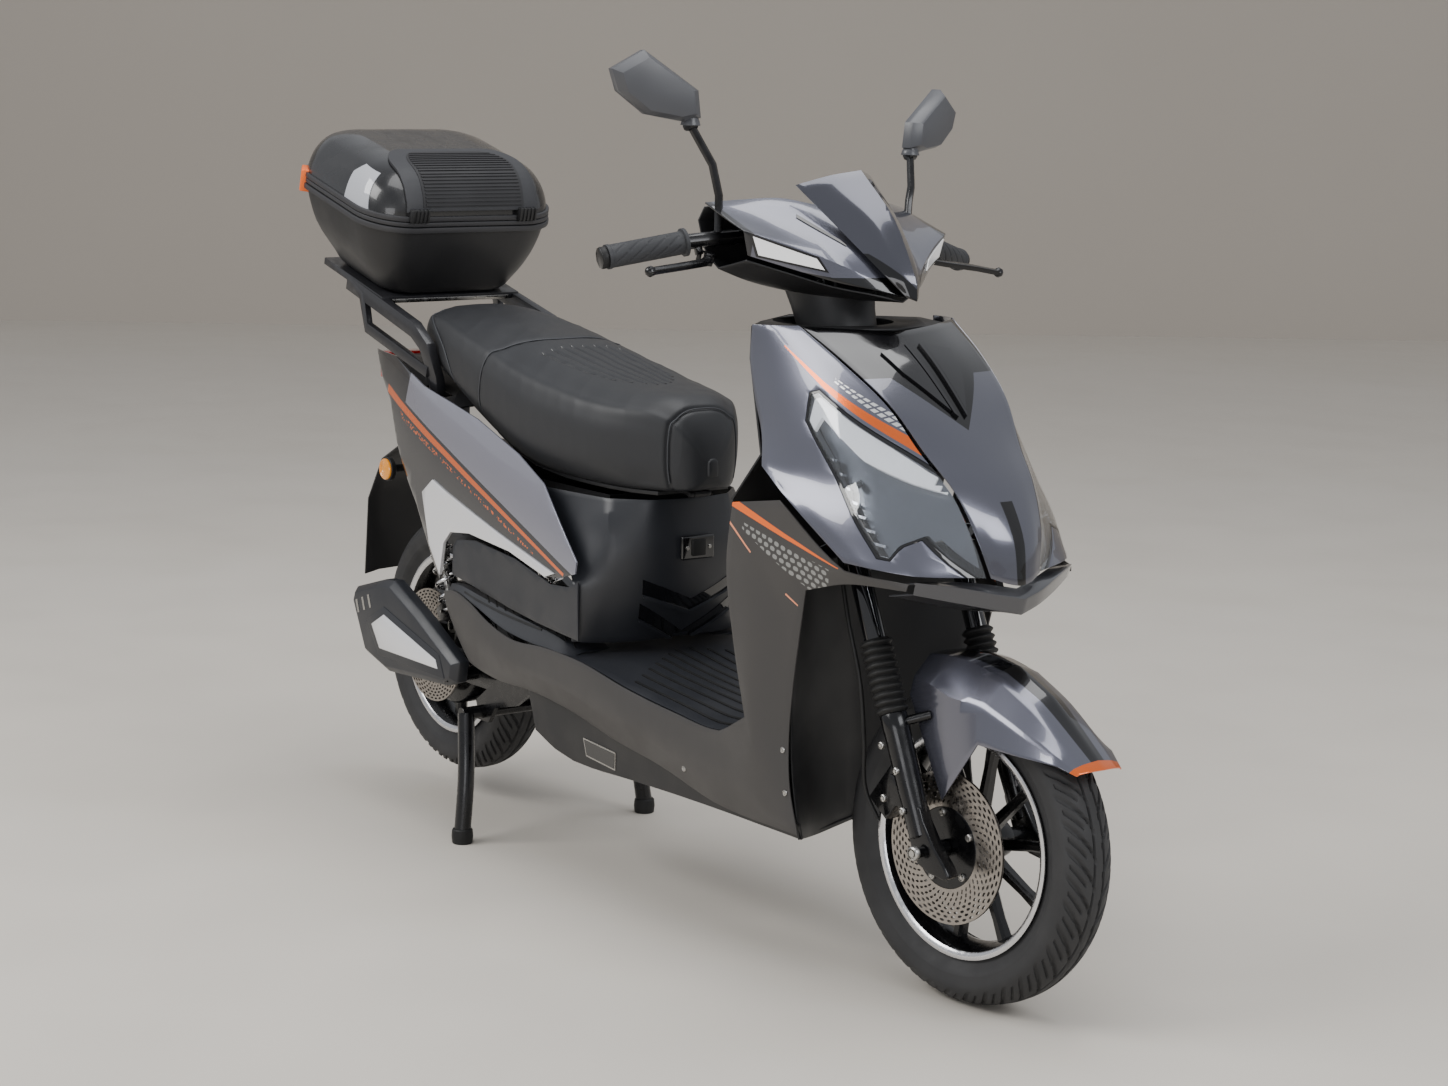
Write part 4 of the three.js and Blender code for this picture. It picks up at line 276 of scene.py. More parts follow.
def grown(outline, distance):
    area = sum(a[0] * b[1] - b[0] * a[1] for a, b in zip(outline, outline[1:] + outline[:1]))
    sign = 1 if area > 0 else -1
    made = []
    for i, point in enumerate(outline):
        here = Vector(point)
        first = (here - Vector(outline[i - 1])).normalized()
        second = (Vector(outline[(i + 1) % len(outline)]) - here).normalized()
        side = Vector((first.y + second.y, -first.x - second.x)).normalized()
        reach = max(side.dot(Vector((first.y, -first.x))), 0.5)
        made.append(tuple(here + side * (sign * distance / reach)))
    return made


# A patch laid on a surface: its outline is seen along a direction
def laid(tree, points, toward, rise=trim["rise"], wall=trim["wall"], cell=trim["cell"]):
    mesh = bmesh.new()
    mesh.faces.new([mesh.verts.new(p) for p in points])
    for axis in [v for v in (forward, across, upward) if abs(v.dot(toward)) < 0.9]:
        marks = [p.dot(axis) for p in points]
        count = int((max(marks) - min(marks)) / cell)
        for k in range(1, count + 1):
            spot = axis * (min(marks) + k * cell)
            bmesh.ops.bisect_plane(mesh, geom=mesh.verts[:] + mesh.edges[:] + mesh.faces[:], plane_co=spot,
                                   plane_no=axis, dist=0.00005)
    lost = []
    for vert in mesh.verts:
        hit, normal, _, _ = tree.ray_cast(vert.co, toward)
        if hit is None:
            lost.append(vert)
            continue
        if normal.dot(toward) > 0:
            normal = -normal
        vert.co = hit + normal * rise
    bmesh.ops.delete(mesh, geom=lost, context="VERTS")
    mesh.normal_update()
    if sum(f.normal.dot(toward) for f in mesh.faces) > 0:
        bmesh.ops.reverse_faces(mesh, faces=mesh.faces)
    mesh.normal_update()
    return thicken(mesh, wall)


def fromSide(outline, y=-0.4):
    return [Vector((home.x + x, home.y + y, z)) for x, z in outline]


def fromFront(outline):
    return [Vector((home.x + 2, home.y + y, z)) for y, z in outline]


def fromAbove(outline):
    return [Vector((home.x + x, home.y - y, 1)) for x, y in outline]


# Direction square to an axis, turned round it
def spokeOf(axis, turn):
    side = axis.orthogonal().normalized()
    return side * math.cos(turn) + axis.cross(side) * math.sin(turn)


# Round and rod-like forms
def spun(profile, centre, axis, steps=96):
    side = axis.orthogonal().normalized()
    mesh = bmesh.new()
    ring = [mesh.verts.new(centre + side * r + axis * s) for r, s in profile]
    edges = [mesh.edges.new(pair) for pair in zip(ring, ring[1:])]
    bmesh.ops.spin(mesh, geom=ring + edges, cent=centre, axis=axis, angle=math.tau, steps=steps,
                   use_merge=True)
    bmesh.ops.remove_doubles(mesh, verts=mesh.verts, dist=0.000001)
    bmesh.ops.recalc_face_normals(mesh, faces=mesh.faces)
    return mesh


def rodOf(start, end, radius, sides=32, edge=0.0004):
    way = end - start
    size = way.length
    inner = radius - edge
    profile = [(0, 0), (inner, 0), (radius, edge), (radius, size - edge), (inner, size), (0, size)]
    return spun(profile, start, way.normalized(), sides)


def blockOf(low, high, edge=0.001, segments=2):
    mesh = bmesh.new()
    bmesh.ops.create_cube(mesh, size=1)
    size = high - low
    for vert in mesh.verts:
        vert.co = (low + high) / 2 + Vector([a * b for a, b in zip(vert.co, size)])
    rounded(mesh, mesh.edges[:], edge, segments)
    return mesh


def tubeOf(points, radius, sides=16, steps=8, fold=(170, 179)):
    path = line(points, steps, fold) if steps > 1 else points
    rings = []
    spoke = None
    for i, point in enumerate(path):
        way = (path[min(i + 1, len(path) - 1)] - path[max(i - 1, 0)]).normalized()
        spoke = way.orthogonal() if spoke is None else spoke - way * spoke.dot(way)
        spoke.normalize()
        third = way.cross(spoke)
        size = radius(i / (len(path) - 1)) if callable(radius) else radius
        turns = [k / sides * math.tau for k in range(sides)]
        rings.append([point + (spoke * math.cos(t) + third * math.sin(t)) * size for t in turns])
    return ringed(rings)


def gathered(*meshes):
    whole = meshes[0]
    for mesh in meshes[1:]:
        data = bpy.data.meshes.new("work")
        mesh.to_mesh(data)
        mesh.free()
        whole.from_mesh(data)
        bpy.data.meshes.remove(data)
    return whole


def ringed(rings, capped=True):
    mesh = bmesh.new()
    rows = [[mesh.verts.new(p) for p in ring] for ring in rings]
    count = len(rows[0])
    for one, two in zip(rows, rows[1:]):
        for k in range(count):
            mesh.faces.new((one[k], one[(k + 1) % count], two[(k + 1) % count], two[k]))
    if capped:
        mesh.faces.new(rows[0][::-1])
        mesh.faces.new(rows[-1])
    bmesh.ops.recalc_face_normals(mesh, faces=mesh.faces)
    return mesh


def boltAt(point, out, radius=0.005, tall=0.003):
    profile = [(0, tall), (radius * 0.45, tall), (radius * 0.5, tall * 0.5), (radius * 0.62, tall * 0.5),
               (radius * 0.7, tall), (radius * 0.92, tall * 0.8), (radius, tall * 0.4), (radius, -0.001)]
    return spun(profile, point, out.normalized(), 24)


# Finishes
tints = {
    "grey": (0.125, 0.128, 0.162), "silver": (0.78, 0.78, 0.8), "brown": (0.04, 0.0375, 0.0365),
    "blueBlack": (0.018, 0.0195, 0.024), "black": (0.012, 0.012, 0.013),
    "deepBlack": (0.004, 0.004, 0.005),
    "orange": (0.86, 0.145, 0.01), "paleOrange": (0.8, 0.3, 0.16), "vinyl": (0.017, 0.018, 0.0205),
    "rubber": (0.028, 0.028, 0.029), "steel": (0.48, 0.47, 0.45), "chrome": (0.75, 0.75, 0.76),
    "amber": (0.95, 0.36, 0.02), "red": (0.5, 0.01, 0.008), "white": (0.8, 0.8, 0.8),
    "dot": (0.25, 0.25, 0.24),
}


class Finish:
    def __init__(self, name, tint, rough, metal=0, **sockets):
        self.made = bpy.data.materials.new(name)
        self.made.use_nodes = True
        self.tree = self.made.node_tree
        self.shader = self.tree.nodes["Principled BSDF"]
        self.here = self.node("ShaderNodeTexCoord").outputs["Object"]
        self.colour = None
        self.shader.inputs["Base Color"].default_value = (*tint, 1)
        self.shader.inputs["Roughness"].default_value = rough
        self.shader.inputs["Metallic"].default_value = metal
        for socket, value in sockets.items():
            self.shader.inputs[socket.replace("_", " ")].default_value = value

    def node(self, kind, **settings):
        made = self.tree.nodes.new(kind)
        for key, value in settings.items():
            setattr(made, key, value)
        return made

    def link(self, start, end):
        self.tree.links.new(start, end)

    def noise(self, scale, detail=4):
        made = self.node("ShaderNodeTexNoise")
        made.inputs["Scale"].default_value = scale
        made.inputs["Detail"].default_value = detail
        self.link(self.here, made.inputs["Vector"])
        return made.outputs["Fac"]

    def cells(self, scale, output="Distance", feature="F1"):
        made = self.node("ShaderNodeTexVoronoi", feature=feature)
        made.inputs["Scale"].default_value = scale
        self.link(self.here, made.inputs["Vector"])
        return made.outputs[output]

    def ranged(self, value, start, end, low, high):
        made = self.node("ShaderNodeMapRange")
        for key, number in zip(("From Min", "From Max", "To Min", "To Max"), (start, end, low, high)):
            made.inputs[key].default_value = number
        self.link(value, made.inputs["Value"])
        return made.outputs["Result"]

    def bump(self, height, strength, distance):
        made = self.node("ShaderNodeBump")
        made.inputs["Strength"].default_value = strength
        made.inputs["Distance"].default_value = distance
        self.link(height, made.inputs["Height"])
        old = self.shader.inputs["Normal"].links
        if old:
            self.link(old[0].from_socket, made.inputs["Normal"])
        self.link(made.outputs["Normal"], self.shader.inputs["Normal"])

    def rough(self, value, low, high, start=0.35, end=0.65):
        self.link(self.ranged(value, start, end, low, high), self.shader.inputs["Roughness"])

    def math(self, kind, one, two=None):
        made = self.node("ShaderNodeMath", operation=kind)
        for socket, value in zip(made.inputs, (one, two)):
            if value is None:
                continue
            if isinstance(value, (int, float)):
                socket.default_value = value
            else:
                self.link(value, socket)
        return made.outputs[0]

    # Distance along a way from a place
    def along(self, start, way):
        made = self.node("ShaderNodeVectorMath", operation="DOT_PRODUCT")
        self.link(self.here, made.inputs[0])
        made.inputs[1].default_value = way
        return self.math("SUBTRACT", made.outputs["Value"], start.dot(way))

    # Mask of a stripe between two places seen from a side, with its own width at each end
    def stripe(self, start, end, wide, narrow, side=None):
        way = (end - start).normalized()
        side = side or Vector((-way.z, 0, way.x))
        run = self.along(start, way)
        off = self.math("ABSOLUTE", self.along(start, side))
        width = self.ranged(run, 0, (end - start).length, wide / 2, narrow / 2)
        inside = self.math("LESS_THAN", off, width)
        inside = self.math("MULTIPLY", inside, self.math("GREATER_THAN", run, 0.0))
        return self.math("MULTIPLY", inside, self.math("LESS_THAN", run, (end - start).length))

    # Rows of small marks along a way, each row half a step further; square marks or round ones
    def pattern(self, start, end, pitch, rowPitch, long, tall, square=False):
        way = (end - start).normalized()
        up = self.math("DIVIDE", self.along(start, Vector((-way.z, 0, way.x))), rowPitch)
        shift = self.math("MULTIPLY", self.math("FLOOR", up), 0.5)
        run = self.math("ADD", self.math("DIVIDE", self.along(start, way), pitch), shift)
        aside = self.math("SUBTRACT", self.math("FRACT", run), 0.5)
        above = self.math("SUBTRACT", self.math("FRACT", up), 0.5)
        if square:
            aside = self.math("SUBTRACT", aside, self.math("MULTIPLY", above, 0.5))
            one = self.math("LESS_THAN", self.math("ABSOLUTE", aside), long)
            return self.math("MULTIPLY", one, self.math("LESS_THAN", self.math("ABSOLUTE", above), tall))
        reach = self.math("ADD", self.math("POWER", self.math("ABSOLUTE", aside), 2.5),
                          self.math("POWER", self.math("ABSOLUTE", above), 2.5))
        return self.math("LESS_THAN", reach, long ** 2.5)

    def painted(self, mask, tint):
        made = self.node("ShaderNodeMix", data_type="RGBA")
        made.inputs[6].default_value = self.shader.inputs["Base Color"].default_value
        if self.colour:
            self.link(self.colour, made.inputs[6])
        made.inputs[7].default_value = (*tint, 1)
        self.link(mask, made.inputs[0])
        self.colour = made.outputs[2]
        self.link(self.colour, self.shader.inputs["Base Color"])


def metallicPaint(name, tint, rough=0.26, metal=0.75, light=1.5):
    made = Finish(name, tint, rough, metal, Coat_Weight=1, Coat_Roughness=0.02, Coat_IOR=1.5)
    made.painted(made.ranged(made.cells(2600, "Color"), 0.55, 0.95, 0, 0.35), [c * light for c in tint])
    made.bump(made.noise(9, 2), 0.03, 0.004)
    made.bump(made.noise(420, 1), 0.006, 0.0003)
    return made


def moulded(name, tint, rough=0.48, grain=0.16, gloss=0.06):
    made = Finish(name, tint, rough, Specular_IOR_Level=0.5)
    made.rough(made.noise(14, 3), rough - gloss, rough + gloss)
    made.painted(made.ranged(made.noise(5, 3), 0.35, 0.7, 0, 0.25), [c * 1.35 for c in tint])
    made.bump(made.cells(900), grain, 0.0002)
    made.bump(made.noise(10, 2), 0.04, 0.003)
    return made


def glossy(name, tint, rough=0.07):
    made = Finish(name, tint, rough, Coat_Weight=0.6, Coat_Roughness=0.03)
    made.rough(made.noise(20, 3), rough * 0.7, rough * 1.6)
    made.bump(made.noise(7, 2), 0.04, 0.004)
    return made


def metalCoat(name, tint, rough=0.3, metal=0.4):
    made = Finish(name, tint, rough, metal, Coat_Weight=0.35, Coat_Roughness=0.12)
    made.rough(made.noise(60, 4), rough - 0.08, rough + 0.1)
    made.bump(made.noise(700, 2), 0.06, 0.0003)
    return made


def bareMetal(name, tint, rough=0.3):
    made = Finish(name, tint, rough, 1)
    made.rough(made.noise(90, 5), rough - 0.1, rough + 0.12)
    made.painted(made.ranged(made.noise(25, 4), 0.3, 0.7, 0, 0.3), [c * 0.72 for c in tint])
    made.bump(made.noise(1400, 2), 0.05, 0.0002)
    return made


def rubbery(name, tint, rough=0.68, grain=0.25):
    made = Finish(name, tint, rough, Specular_IOR_Level=0.35)
    made.rough(made.noise(30, 4), rough - 0.08, rough + 0.08)
    made.painted(made.ranged(made.noise(8, 4), 0.35, 0.75, 0, 0.4), [c * 1.8 for c in tint])
    made.bump(made.noise(600, 3), grain, 0.0003)
    return made


def leathery(name, tint):
    made = Finish(name, tint, 0.5, Specular_IOR_Level=0.5)
    made.rough(made.noise(8, 4), 0.44, 0.58)
    made.painted(made.ranged(made.noise(4, 3), 0.35, 0.7, 0, 0.3), [c * 1.3 for c in tint])
    made.bump(made.cells(620, "Distance", "DISTANCE_TO_EDGE"), 0.35, 0.0004)
    made.bump(made.noise(1500, 2), 0.1, 0.0001)
    made.bump(made.noise(12, 3), 0.1, 0.002)
    return made


def lensOf(name, tint, through=1.0, rough=0.02, glow=0.0):
    made = Finish(name, tint, rough, Transmission_Weight=through, IOR=1.45, Coat_Weight=1,
                  Coat_Roughness=0.01)
    made.bump(made.noise(14, 2), 0.02, 0.003)
    if glow:
        made.shader.inputs["Emission Color"].default_value = (*tint, 1)
        made.shader.inputs["Emission Strength"].default_value = glow
    return made


def spot(x, z, y=0):
    return place((x, y, z))


def striped(finish, start, end, wide, narrow, tint):
    finish.painted(finish.stripe(spot(*start), spot(*end), wide, narrow), tints[tint])


greyPaint = metallicPaint("greyPaint", tints["grey"])
silverPaint = metallicPaint("silverPaint", tints["silver"], 0.34, 0.3, 1.15)
mirrorShell = moulded("mirrorShell", (0.062, 0.064, 0.071), 0.34, 0.05)
railCoat = metalCoat("railCoat", (0.02, 0.02, 0.023), 0.4, 0.3)
sillPlastic = moulded("sillPlastic", tints["brown"], 0.42)
bluePlastic = moulded("bluePlastic", tints["blueBlack"], 0.4)
blackPlastic = moulded("blackPlastic", tints["black"], 0.46)
glossBlack = glossy("glossBlack", tints["deepBlack"])
blackSteel = metalCoat("blackSteel", tints["deepBlack"], 0.28)
blackAlloy = metalCoat("blackAlloy", (0.006, 0.006, 0.007), 0.24, 0.5)
brightSteel = bareMetal("brightSteel", tints["steel"], 0.3)
discSteel = bareMetal("discSteel", (0.36, 0.33, 0.3), 0.32)
chrome = bareMetal("chrome", tints["chrome"], 0.14)
silverLip = bareMetal("silverLip", (0.7, 0.7, 0.72), 0.22)
tyreRubber = rubbery("tyreRubber", tints["rubber"], 0.62)
softRubber = rubbery("softRubber", (0.009, 0.009, 0.009), 0.55, 0.15)
gripRubber = rubbery("gripRubber", (0.03, 0.031, 0.034), 0.6)
seatVinyl = leathery("seatVinyl", tints["vinyl"])
# The piping's vinyl is painted 2.6 times lighter than the seat's vinyl: a painted highlight along the piping
piping = leathery("piping", [c * 2.6 for c in tints["vinyl"]])
clearLens = lensOf("clearLens", (0.93, 0.96, 1.0))
amberLens = lensOf("amberLens", tints["amber"], 0.45, 0.08, 0.25)
redLens = lensOf("redLens", tints["red"], 0.35, 0.06)
lightGuide = lensOf("lightGuide", tints["white"], 0.1, 0.2, 0.5)
lampBowl = metallicPaint("lampBowl", (0.15, 0.16, 0.18), 0.3, 0.85, 1.2)
mirrorGlass = bareMetal("mirrorGlass", (0.85, 0.86, 0.88), 0.02)
orangeTape = moulded("orangeTape", tints["orange"], 0.35, 0.02)
cellCase = moulded("cellCase", (0.02, 0.03, 0.045), 0.45)
striped(greyPaint, (1.125, 0.905), (1.204, 0.857), 0.0015, 0.006, "orange")
striped(greyPaint, (1.204, 0.857), (1.404, 0.747), 0.006, 0.015, "orange")
zone = greyPaint.stripe(spot(1.215, 0.865), spot(1.404, 0.7645), 0.004, 0.02)
checks = greyPaint.pattern(spot(1.27, 0.836), spot(1.404, 0.7645), 0.0115, 0.0068, 0.34, 0.36, True)
greyPaint.painted(greyPaint.math("MULTIPLY", zone, checks), tints["white"])


# Side panels from the legs to the tail
sillShares = [
    [[1.392, 0.75, 0.598], [1.393, 0.745, 0.603], [1.394, 0.735, 0.608]],
    [[1.3, 0.88, 0.596], [1.301, 0.905, 0.606], [1.303, 0.93, 0.616]],
    [[1.215, 0.91, 0.575], [1.2, 0.98, 0.625], [1.18, 1.02, 0.698]],
    [[1.197, 0.89, 0.506], [1.132, 1, 0.6], [1.076, 1.04, 0.682]],
    [[1.178, 0.87, 0.42], [1.118, 0.985, 0.5], [1.058, 1.02, 0.596]],
    [[1.168, 0.855, 0.349], [1.112, 0.965, 0.41], [1.07, 0.99, 0.476]],
    [[1.17, 0.845, 0.28], [1.11, 0.95, 0.33], [1.088, 0.95, 0.372]],
    [[1.186, 0.83, 0.216], [1.06, 0.93, 0.285], [1.02, 0.925, 0.338]],
    [[0.99, 0.85, 0.222], [0.96, 0.935, 0.275], [0.9, 0.92, 0.342]],
    [[0.853, 0.85, 0.247], [0.83, 0.94, 0.295], [0.774, 0.92, 0.354]],
    [[0.728, 0.85, 0.262], [0.71, 0.94, 0.31], [0.646, 0.92, 0.373]],
    [[0.6, 0.85, 0.284], [0.59, 0.93, 0.325], [0.54, 0.91, 0.376]],
    [[0.48, 0.85, 0.294], [0.47, 0.92, 0.33], [0.435, 0.9, 0.372]],
    [[0.38, 0.84, 0.292], [0.37, 0.9, 0.34], [0.36, 0.88, 0.386]],
    [[0.283, 0.825, 0.305], [0.29, 0.87, 0.36], [0.29, 0.86, 0.409]],
    [[0.24, 0.82, 0.345], [0.245, 0.85, 0.375], [0.236, 0.84, 0.418]],
    [[0.212, 0.82, 0.38], [0.206, 0.83, 0.395], [0.2, 0.825, 0.412]],
]
sill = {"steps": 6, "screws": [(1.1585, 0.9, 0.336), (1.1625, 0.9, 0.274), (0.93, 0.93, 0.262)]}
zone = sillPlastic.stripe(spot(1.098, 0.652), spot(1.262, 0.587), 0.01, 0.056)
dots = sillPlastic.pattern(spot(1.098, 0.652), spot(1.262, 0.602), 0.0135, 0.0098, 0.34, 0.34)
sillPlastic.painted(sillPlastic.math("MULTIPLY", zone, dots), tints["dot"])
striped(sillPlastic, (1.073, 0.684), (1.292, 0.6175), 0.013, 0.0015, "orange")
striped(sillPlastic, (1.067, 0.654), (1.114, 0.6155), 0.0036, 0.0026, "paleOrange")
striped(sillPlastic, (1.1786, 0.565), (1.1993, 0.551), 0.003, 0.002, "paleOrange")
sillRows = rightSide(sillShares)
twins("sidePanel", shellOf(sillRows, sill["steps"]), "frame", sillPlastic, "side_sill")
sillSkin = skinOf(sillRows)
for i, share in enumerate(sill["screws"]):
    hit = sillSkin.ray_cast(place((share[0], -2, share[2])), across)
    if hit[0]:
        head = boltAt(hit[0], -across, 0.0045, 0.0015)
        twins(f"panelScrew{i}", head, "frame", brightSteel)
print("side panels are in")

# Front fairing with the headlights
fairingShares = [
    [[1.061, 0.835, 0.93], [1.085, 0.81, 0.931], [1.11, 0.76, 0.932], [1.134, 0.7, 0.933]],
    [[1.061, 0.85, 0.88], [1.115, 0.83, 0.882], [1.17, 0.75, 0.884], [1.218, 0.63, 0.886]],
    [[1.082, 0.875, 0.825], [1.15, 0.86, 0.83], [1.23, 0.74, 0.832], [1.297, 0.53, 0.83]],
    [[1.106, 0.905, 0.78], [1.18, 0.88, 0.788], [1.265, 0.75, 0.785], [1.342, 0.45, 0.776]],
    [[1.122, 0.96, 0.738], [1.2, 0.905, 0.74], [1.305, 0.74, 0.735], [1.39, 0.375, 0.728]],
    [[1.183, 1.01, 0.709], [1.25, 0.95, 0.694], [1.35, 0.75, 0.675], [1.425, 0.305, 0.662]],
    [[1.305, 0.94, 0.628], [1.35, 0.86, 0.624], [1.395, 0.69, 0.618], [1.438, 0.24, 0.614]],
]
lampOutlineShares = [
    [1.186, 0.846], [1.2, 0.85], [1.413, 0.728], [1.455, 0.58], [1.44, 0.6], [1.384, 0.664],
    [1.372, 0.655], [1.364, 0.636], [1.348, 0.638], [1.191, 0.808],
]
lamp = {"gasket": 0.0035, "glass": 0.002, "rim": 0.004, "bowlDeep": 0.02, "bowlWall": 0.002,
        "guideDeep": 0.008, "fins": 7, "wallSteps": 12}
fairingMiddle = place((1, 0, 0.75))
fairingRows = rightSide(fairingShares)
fairingShell = shellOf(fairingRows, 6, middle=fairingMiddle)
fairingShell = carve(fairingShell, sideCutter(grown(lampOutlineShares, 0.0008)))
soften(fairingShell, 0.0008, 65)
twins("frontFairing", fairingShell, "frame", greyPaint, "front_fairing")
lampShell = surface(fine(fairingRows, 6), fairingMiddle)
lampTree = BVHTree.FromBMesh(lampShell)
inner = grown(lampOutlineShares, -lamp["gasket"])
lens = carve(thicken(lampShell.copy(), lamp["glass"]), sideCutter(inner), "INTERSECT")
twins("lampLens", lens, "frame", clearLens, "headlight")
rim = carve(thicken(lampShell.copy(), lamp["rim"]), sideCutter(grown(lampOutlineShares, -0.0002)),
            "INTERSECT")
rim = carve(rim, sideCutter(inner))
twins("lampGasket", rim, "frame", glossBlack)
deep = surface(fine(fairingRows, 4), fairingMiddle)
for vert in deep.verts:
    vert.co -= vert.normal * lamp["bowlDeep"]
bowl = carve(thicken(deep, lamp["bowlWall"]), sideCutter(grown(lampOutlineShares, 0.002)), "INTERSECT")
twins("lampBowl", bowl, "frame", lampBowl)
guideOutline = [(1.196, 0.838), (1.204, 0.841), (1.3, 0.788), (1.36, 0.752), (1.405, 0.728),
                (1.402, 0.719), (1.35, 0.737), (1.29, 0.762), (1.215, 0.815), (1.205, 0.79),
                (1.197, 0.797)]
guide = laid(lampTree, fromSide(guideOutline), across, -0.003, lamp["guideDeep"])
twins("lightGuide", guide, "frame", lightGuide)
fins = []
for k in range(lamp["fins"]):
    t = k / lamp["fins"]
    x, z = 1.225 + 0.125 * t, 0.765 - 0.122 * t
    outline = [(x, z), (x + 0.02, z - 0.004), (x + 0.021, z - 0.0075), (x + 0.001, z - 0.0035)]
    fins.append(laid(lampTree, fromSide(outline), across, -0.006, 0.012))
twins("lampFins", gathered(*fins), "frame", silverLip)
eyeOutline = [(1.243, 0.757), (1.252, 0.758), (1.266, 0.728), (1.262, 0.704), (1.252, 0.708),
              (1.243, 0.733)]
eye = laid(lampTree, fromSide(eyeOutline), across, -0.006, 0.006)
twins("lampEye", eye, "frame", glossBlack)
wallOutline = grown(lampOutlineShares, -0.0036)
lampWalls = []
for a, b in zip(wallOutline, wallOutline[1:] + wallOutline[:1]):
    strip = [[], []]
    for k in range(lamp["wallSteps"] + 1):
        share = Vector(a).lerp(Vector(b), k / lamp["wallSteps"])
        hit, normal, _, _ = lampTree.ray_cast(place((share.x, -2, share.y)), across)
        if hit is None:
            continue
        strip[0].append(hit - normal * 0.002)
        strip[1].append(hit - normal * 0.0195)
    if len(strip[0]) > 1:
        lampWalls.append(thicken(surface(strip, fairingMiddle), 0.001))
twins("lampWalls", gathered(*lampWalls), "frame", lampBowl)
print("fairing and headlights are in")

# Nose panel between them
noseShares = [
    [[1.186, 0, 0.924], [1.168, 0.36, 0.928], [1.137, 0.685, 0.932]],
    [[1.246, 0, 0.882], [1.238, 0.32, 0.884], [1.222, 0.61, 0.886]],
    [[1.314, 0, 0.823], [1.31, 0.27, 0.826], [1.302, 0.51, 0.83]],
    [[1.366, 0, 0.772], [1.36, 0.23, 0.774], [1.348, 0.43, 0.776]],
    [[1.412, 0, 0.722], [1.407, 0.19, 0.724], [1.396, 0.355, 0.727]],
    [[1.449, 0, 0.659], [1.444, 0.15, 0.66], [1.431, 0.285, 0.661]],
    [[1.457, 0, 0.602], [1.453, 0.11, 0.606], [1.443, 0.22, 0.614]],
]
noseRows = bothSides(noseShares)
noseFinish = metallicPaint("noseFinish", [c * 0.8 for c in tints["grey"]], 0.2)
off = noseFinish.math("ABSOLUTE", noseFinish.along(home, across))
high = noseFinish.along(home, upward)
strip = noseFinish.math("LESS_THAN", off, noseFinish.ranged(high, 0.58, 0.72, 0.0065, 0.011))
strip = noseFinish.math("MULTIPLY", strip, noseFinish.math("LESS_THAN", high, 0.712))
topEdge = noseFinish.ranged(off, 0, 0.075, 0.8, 0.868)
top = noseFinish.math("GREATER_THAN", noseFinish.math("SUBTRACT", high, topEdge), 0.0)
noseFinish.painted(noseFinish.math("MAXIMUM", strip, top), tints["deepBlack"])
nose = shellOf(noseRows, 6, middle=fairingMiddle)
finished("nosePanel", nose, "frame", noseFinish, ["nose_panel"])
noseTree = skinOf(noseRows, middle=fairingMiddle)

plateOutline = [(-0.018, 0.905), (-0.062, 0.897), (-0.052, 0.872), (-0.013, 0.823)]
plate = laid(noseTree, fromFront(plateOutline), rearward, 0.0035, 0.0035)
twins("noseInset", plate, "frame", glossBlack)
edgeOutline = [(-0.0165, 0.905), (-0.0115, 0.82), (-0.0075, 0.815), (-0.0095, 0.905)]
edging = laid(noseTree, fromFront(edgeOutline), rearward, 0.0045, 0.0045)
twins("noseInsetEdge", edging, "frame", glossBlack)
print("nose is in")

# Beak below the lamps
beakShares = [
    [[1.446, 0, 0.597], [1.432, 0.22, 0.605], [1.405, 0.45, 0.608], [1.37, 0.69, 0.605]],
    [[1.464, 0, 0.585], [1.455, 0.18, 0.592], [1.436, 0.4, 0.602], [1.402, 0.705, 0.611]],
    [[1.457, 0, 0.562], [1.449, 0.18, 0.57], [1.43, 0.4, 0.58], [1.396, 0.7, 0.593]],
    [[1.39, 0, 0.556], [1.385, 0.18, 0.56], [1.37, 0.4, 0.568], [1.345, 0.7, 0.583]],
]
beak = shellOf(bothSides(beakShares), 5, middle=place((1.36, 0, 0.578)), fold=(10, 24))
beakFinish = metallicPaint("beakFinish", (0.05, 0.051, 0.058), 0.36, 0.5)
finished("frontBeak", beak, "frame", beakFinish, ["front_beak"])

# Belly pan, wheel-well liner and floor
bellyShares = [
    [[0.452, 0, 0.262], [0.452, 0.6, 0.262], [0.452, 0.77, 0.285], [0.452, 0.79, 0.307]],
    [[0.47, 0, 0.214], [0.47, 0.6, 0.214], [0.47, 0.76, 0.225], [0.47, 0.79, 0.306]],
    [[0.53, 0, 0.193], [0.53, 0.6, 0.193], [0.53, 0.76, 0.205], [0.53, 0.79, 0.302]],
    [[0.74, 0, 0.188], [0.74, 0.6, 0.188], [0.74, 0.75, 0.2], [0.74, 0.79, 0.27]],
    [[0.86, 0, 0.192], [0.86, 0.6, 0.192], [0.86, 0.75, 0.203], [0.86, 0.79, 0.256]],
    [[1, 0, 0.196], [1, 0.6, 0.196], [1, 0.75, 0.205], [1, 0.79, 0.234]],
    [[1.07, 0, 0.198], [1.08, 0.6, 0.198], [1.09, 0.75, 0.205], [1.09, 0.79, 0.232]],
    [[1.104, 0, 0.2], [1.15, 0.6, 0.2], [1.176, 0.75, 0.205], [1.18, 0.79, 0.23]],
]
linerShares = [
    [[1.101, 0, 0.196], [1.14, 0.5, 0.196], [1.176, 0.77, 0.206]],
    [[1.101, 0, 0.3], [1.13, 0.5, 0.3], [1.162, 0.79, 0.3]],
    [[1.103, 0, 0.4], [1.13, 0.5, 0.4], [1.162, 0.81, 0.4]],
    [[1.105, 0, 0.5], [1.126, 0.5, 0.5], [1.166, 0.82, 0.5]],
    [[1.107, 0, 0.57], [1.12, 0.5, 0.57], [1.166, 0.84, 0.568]],
]
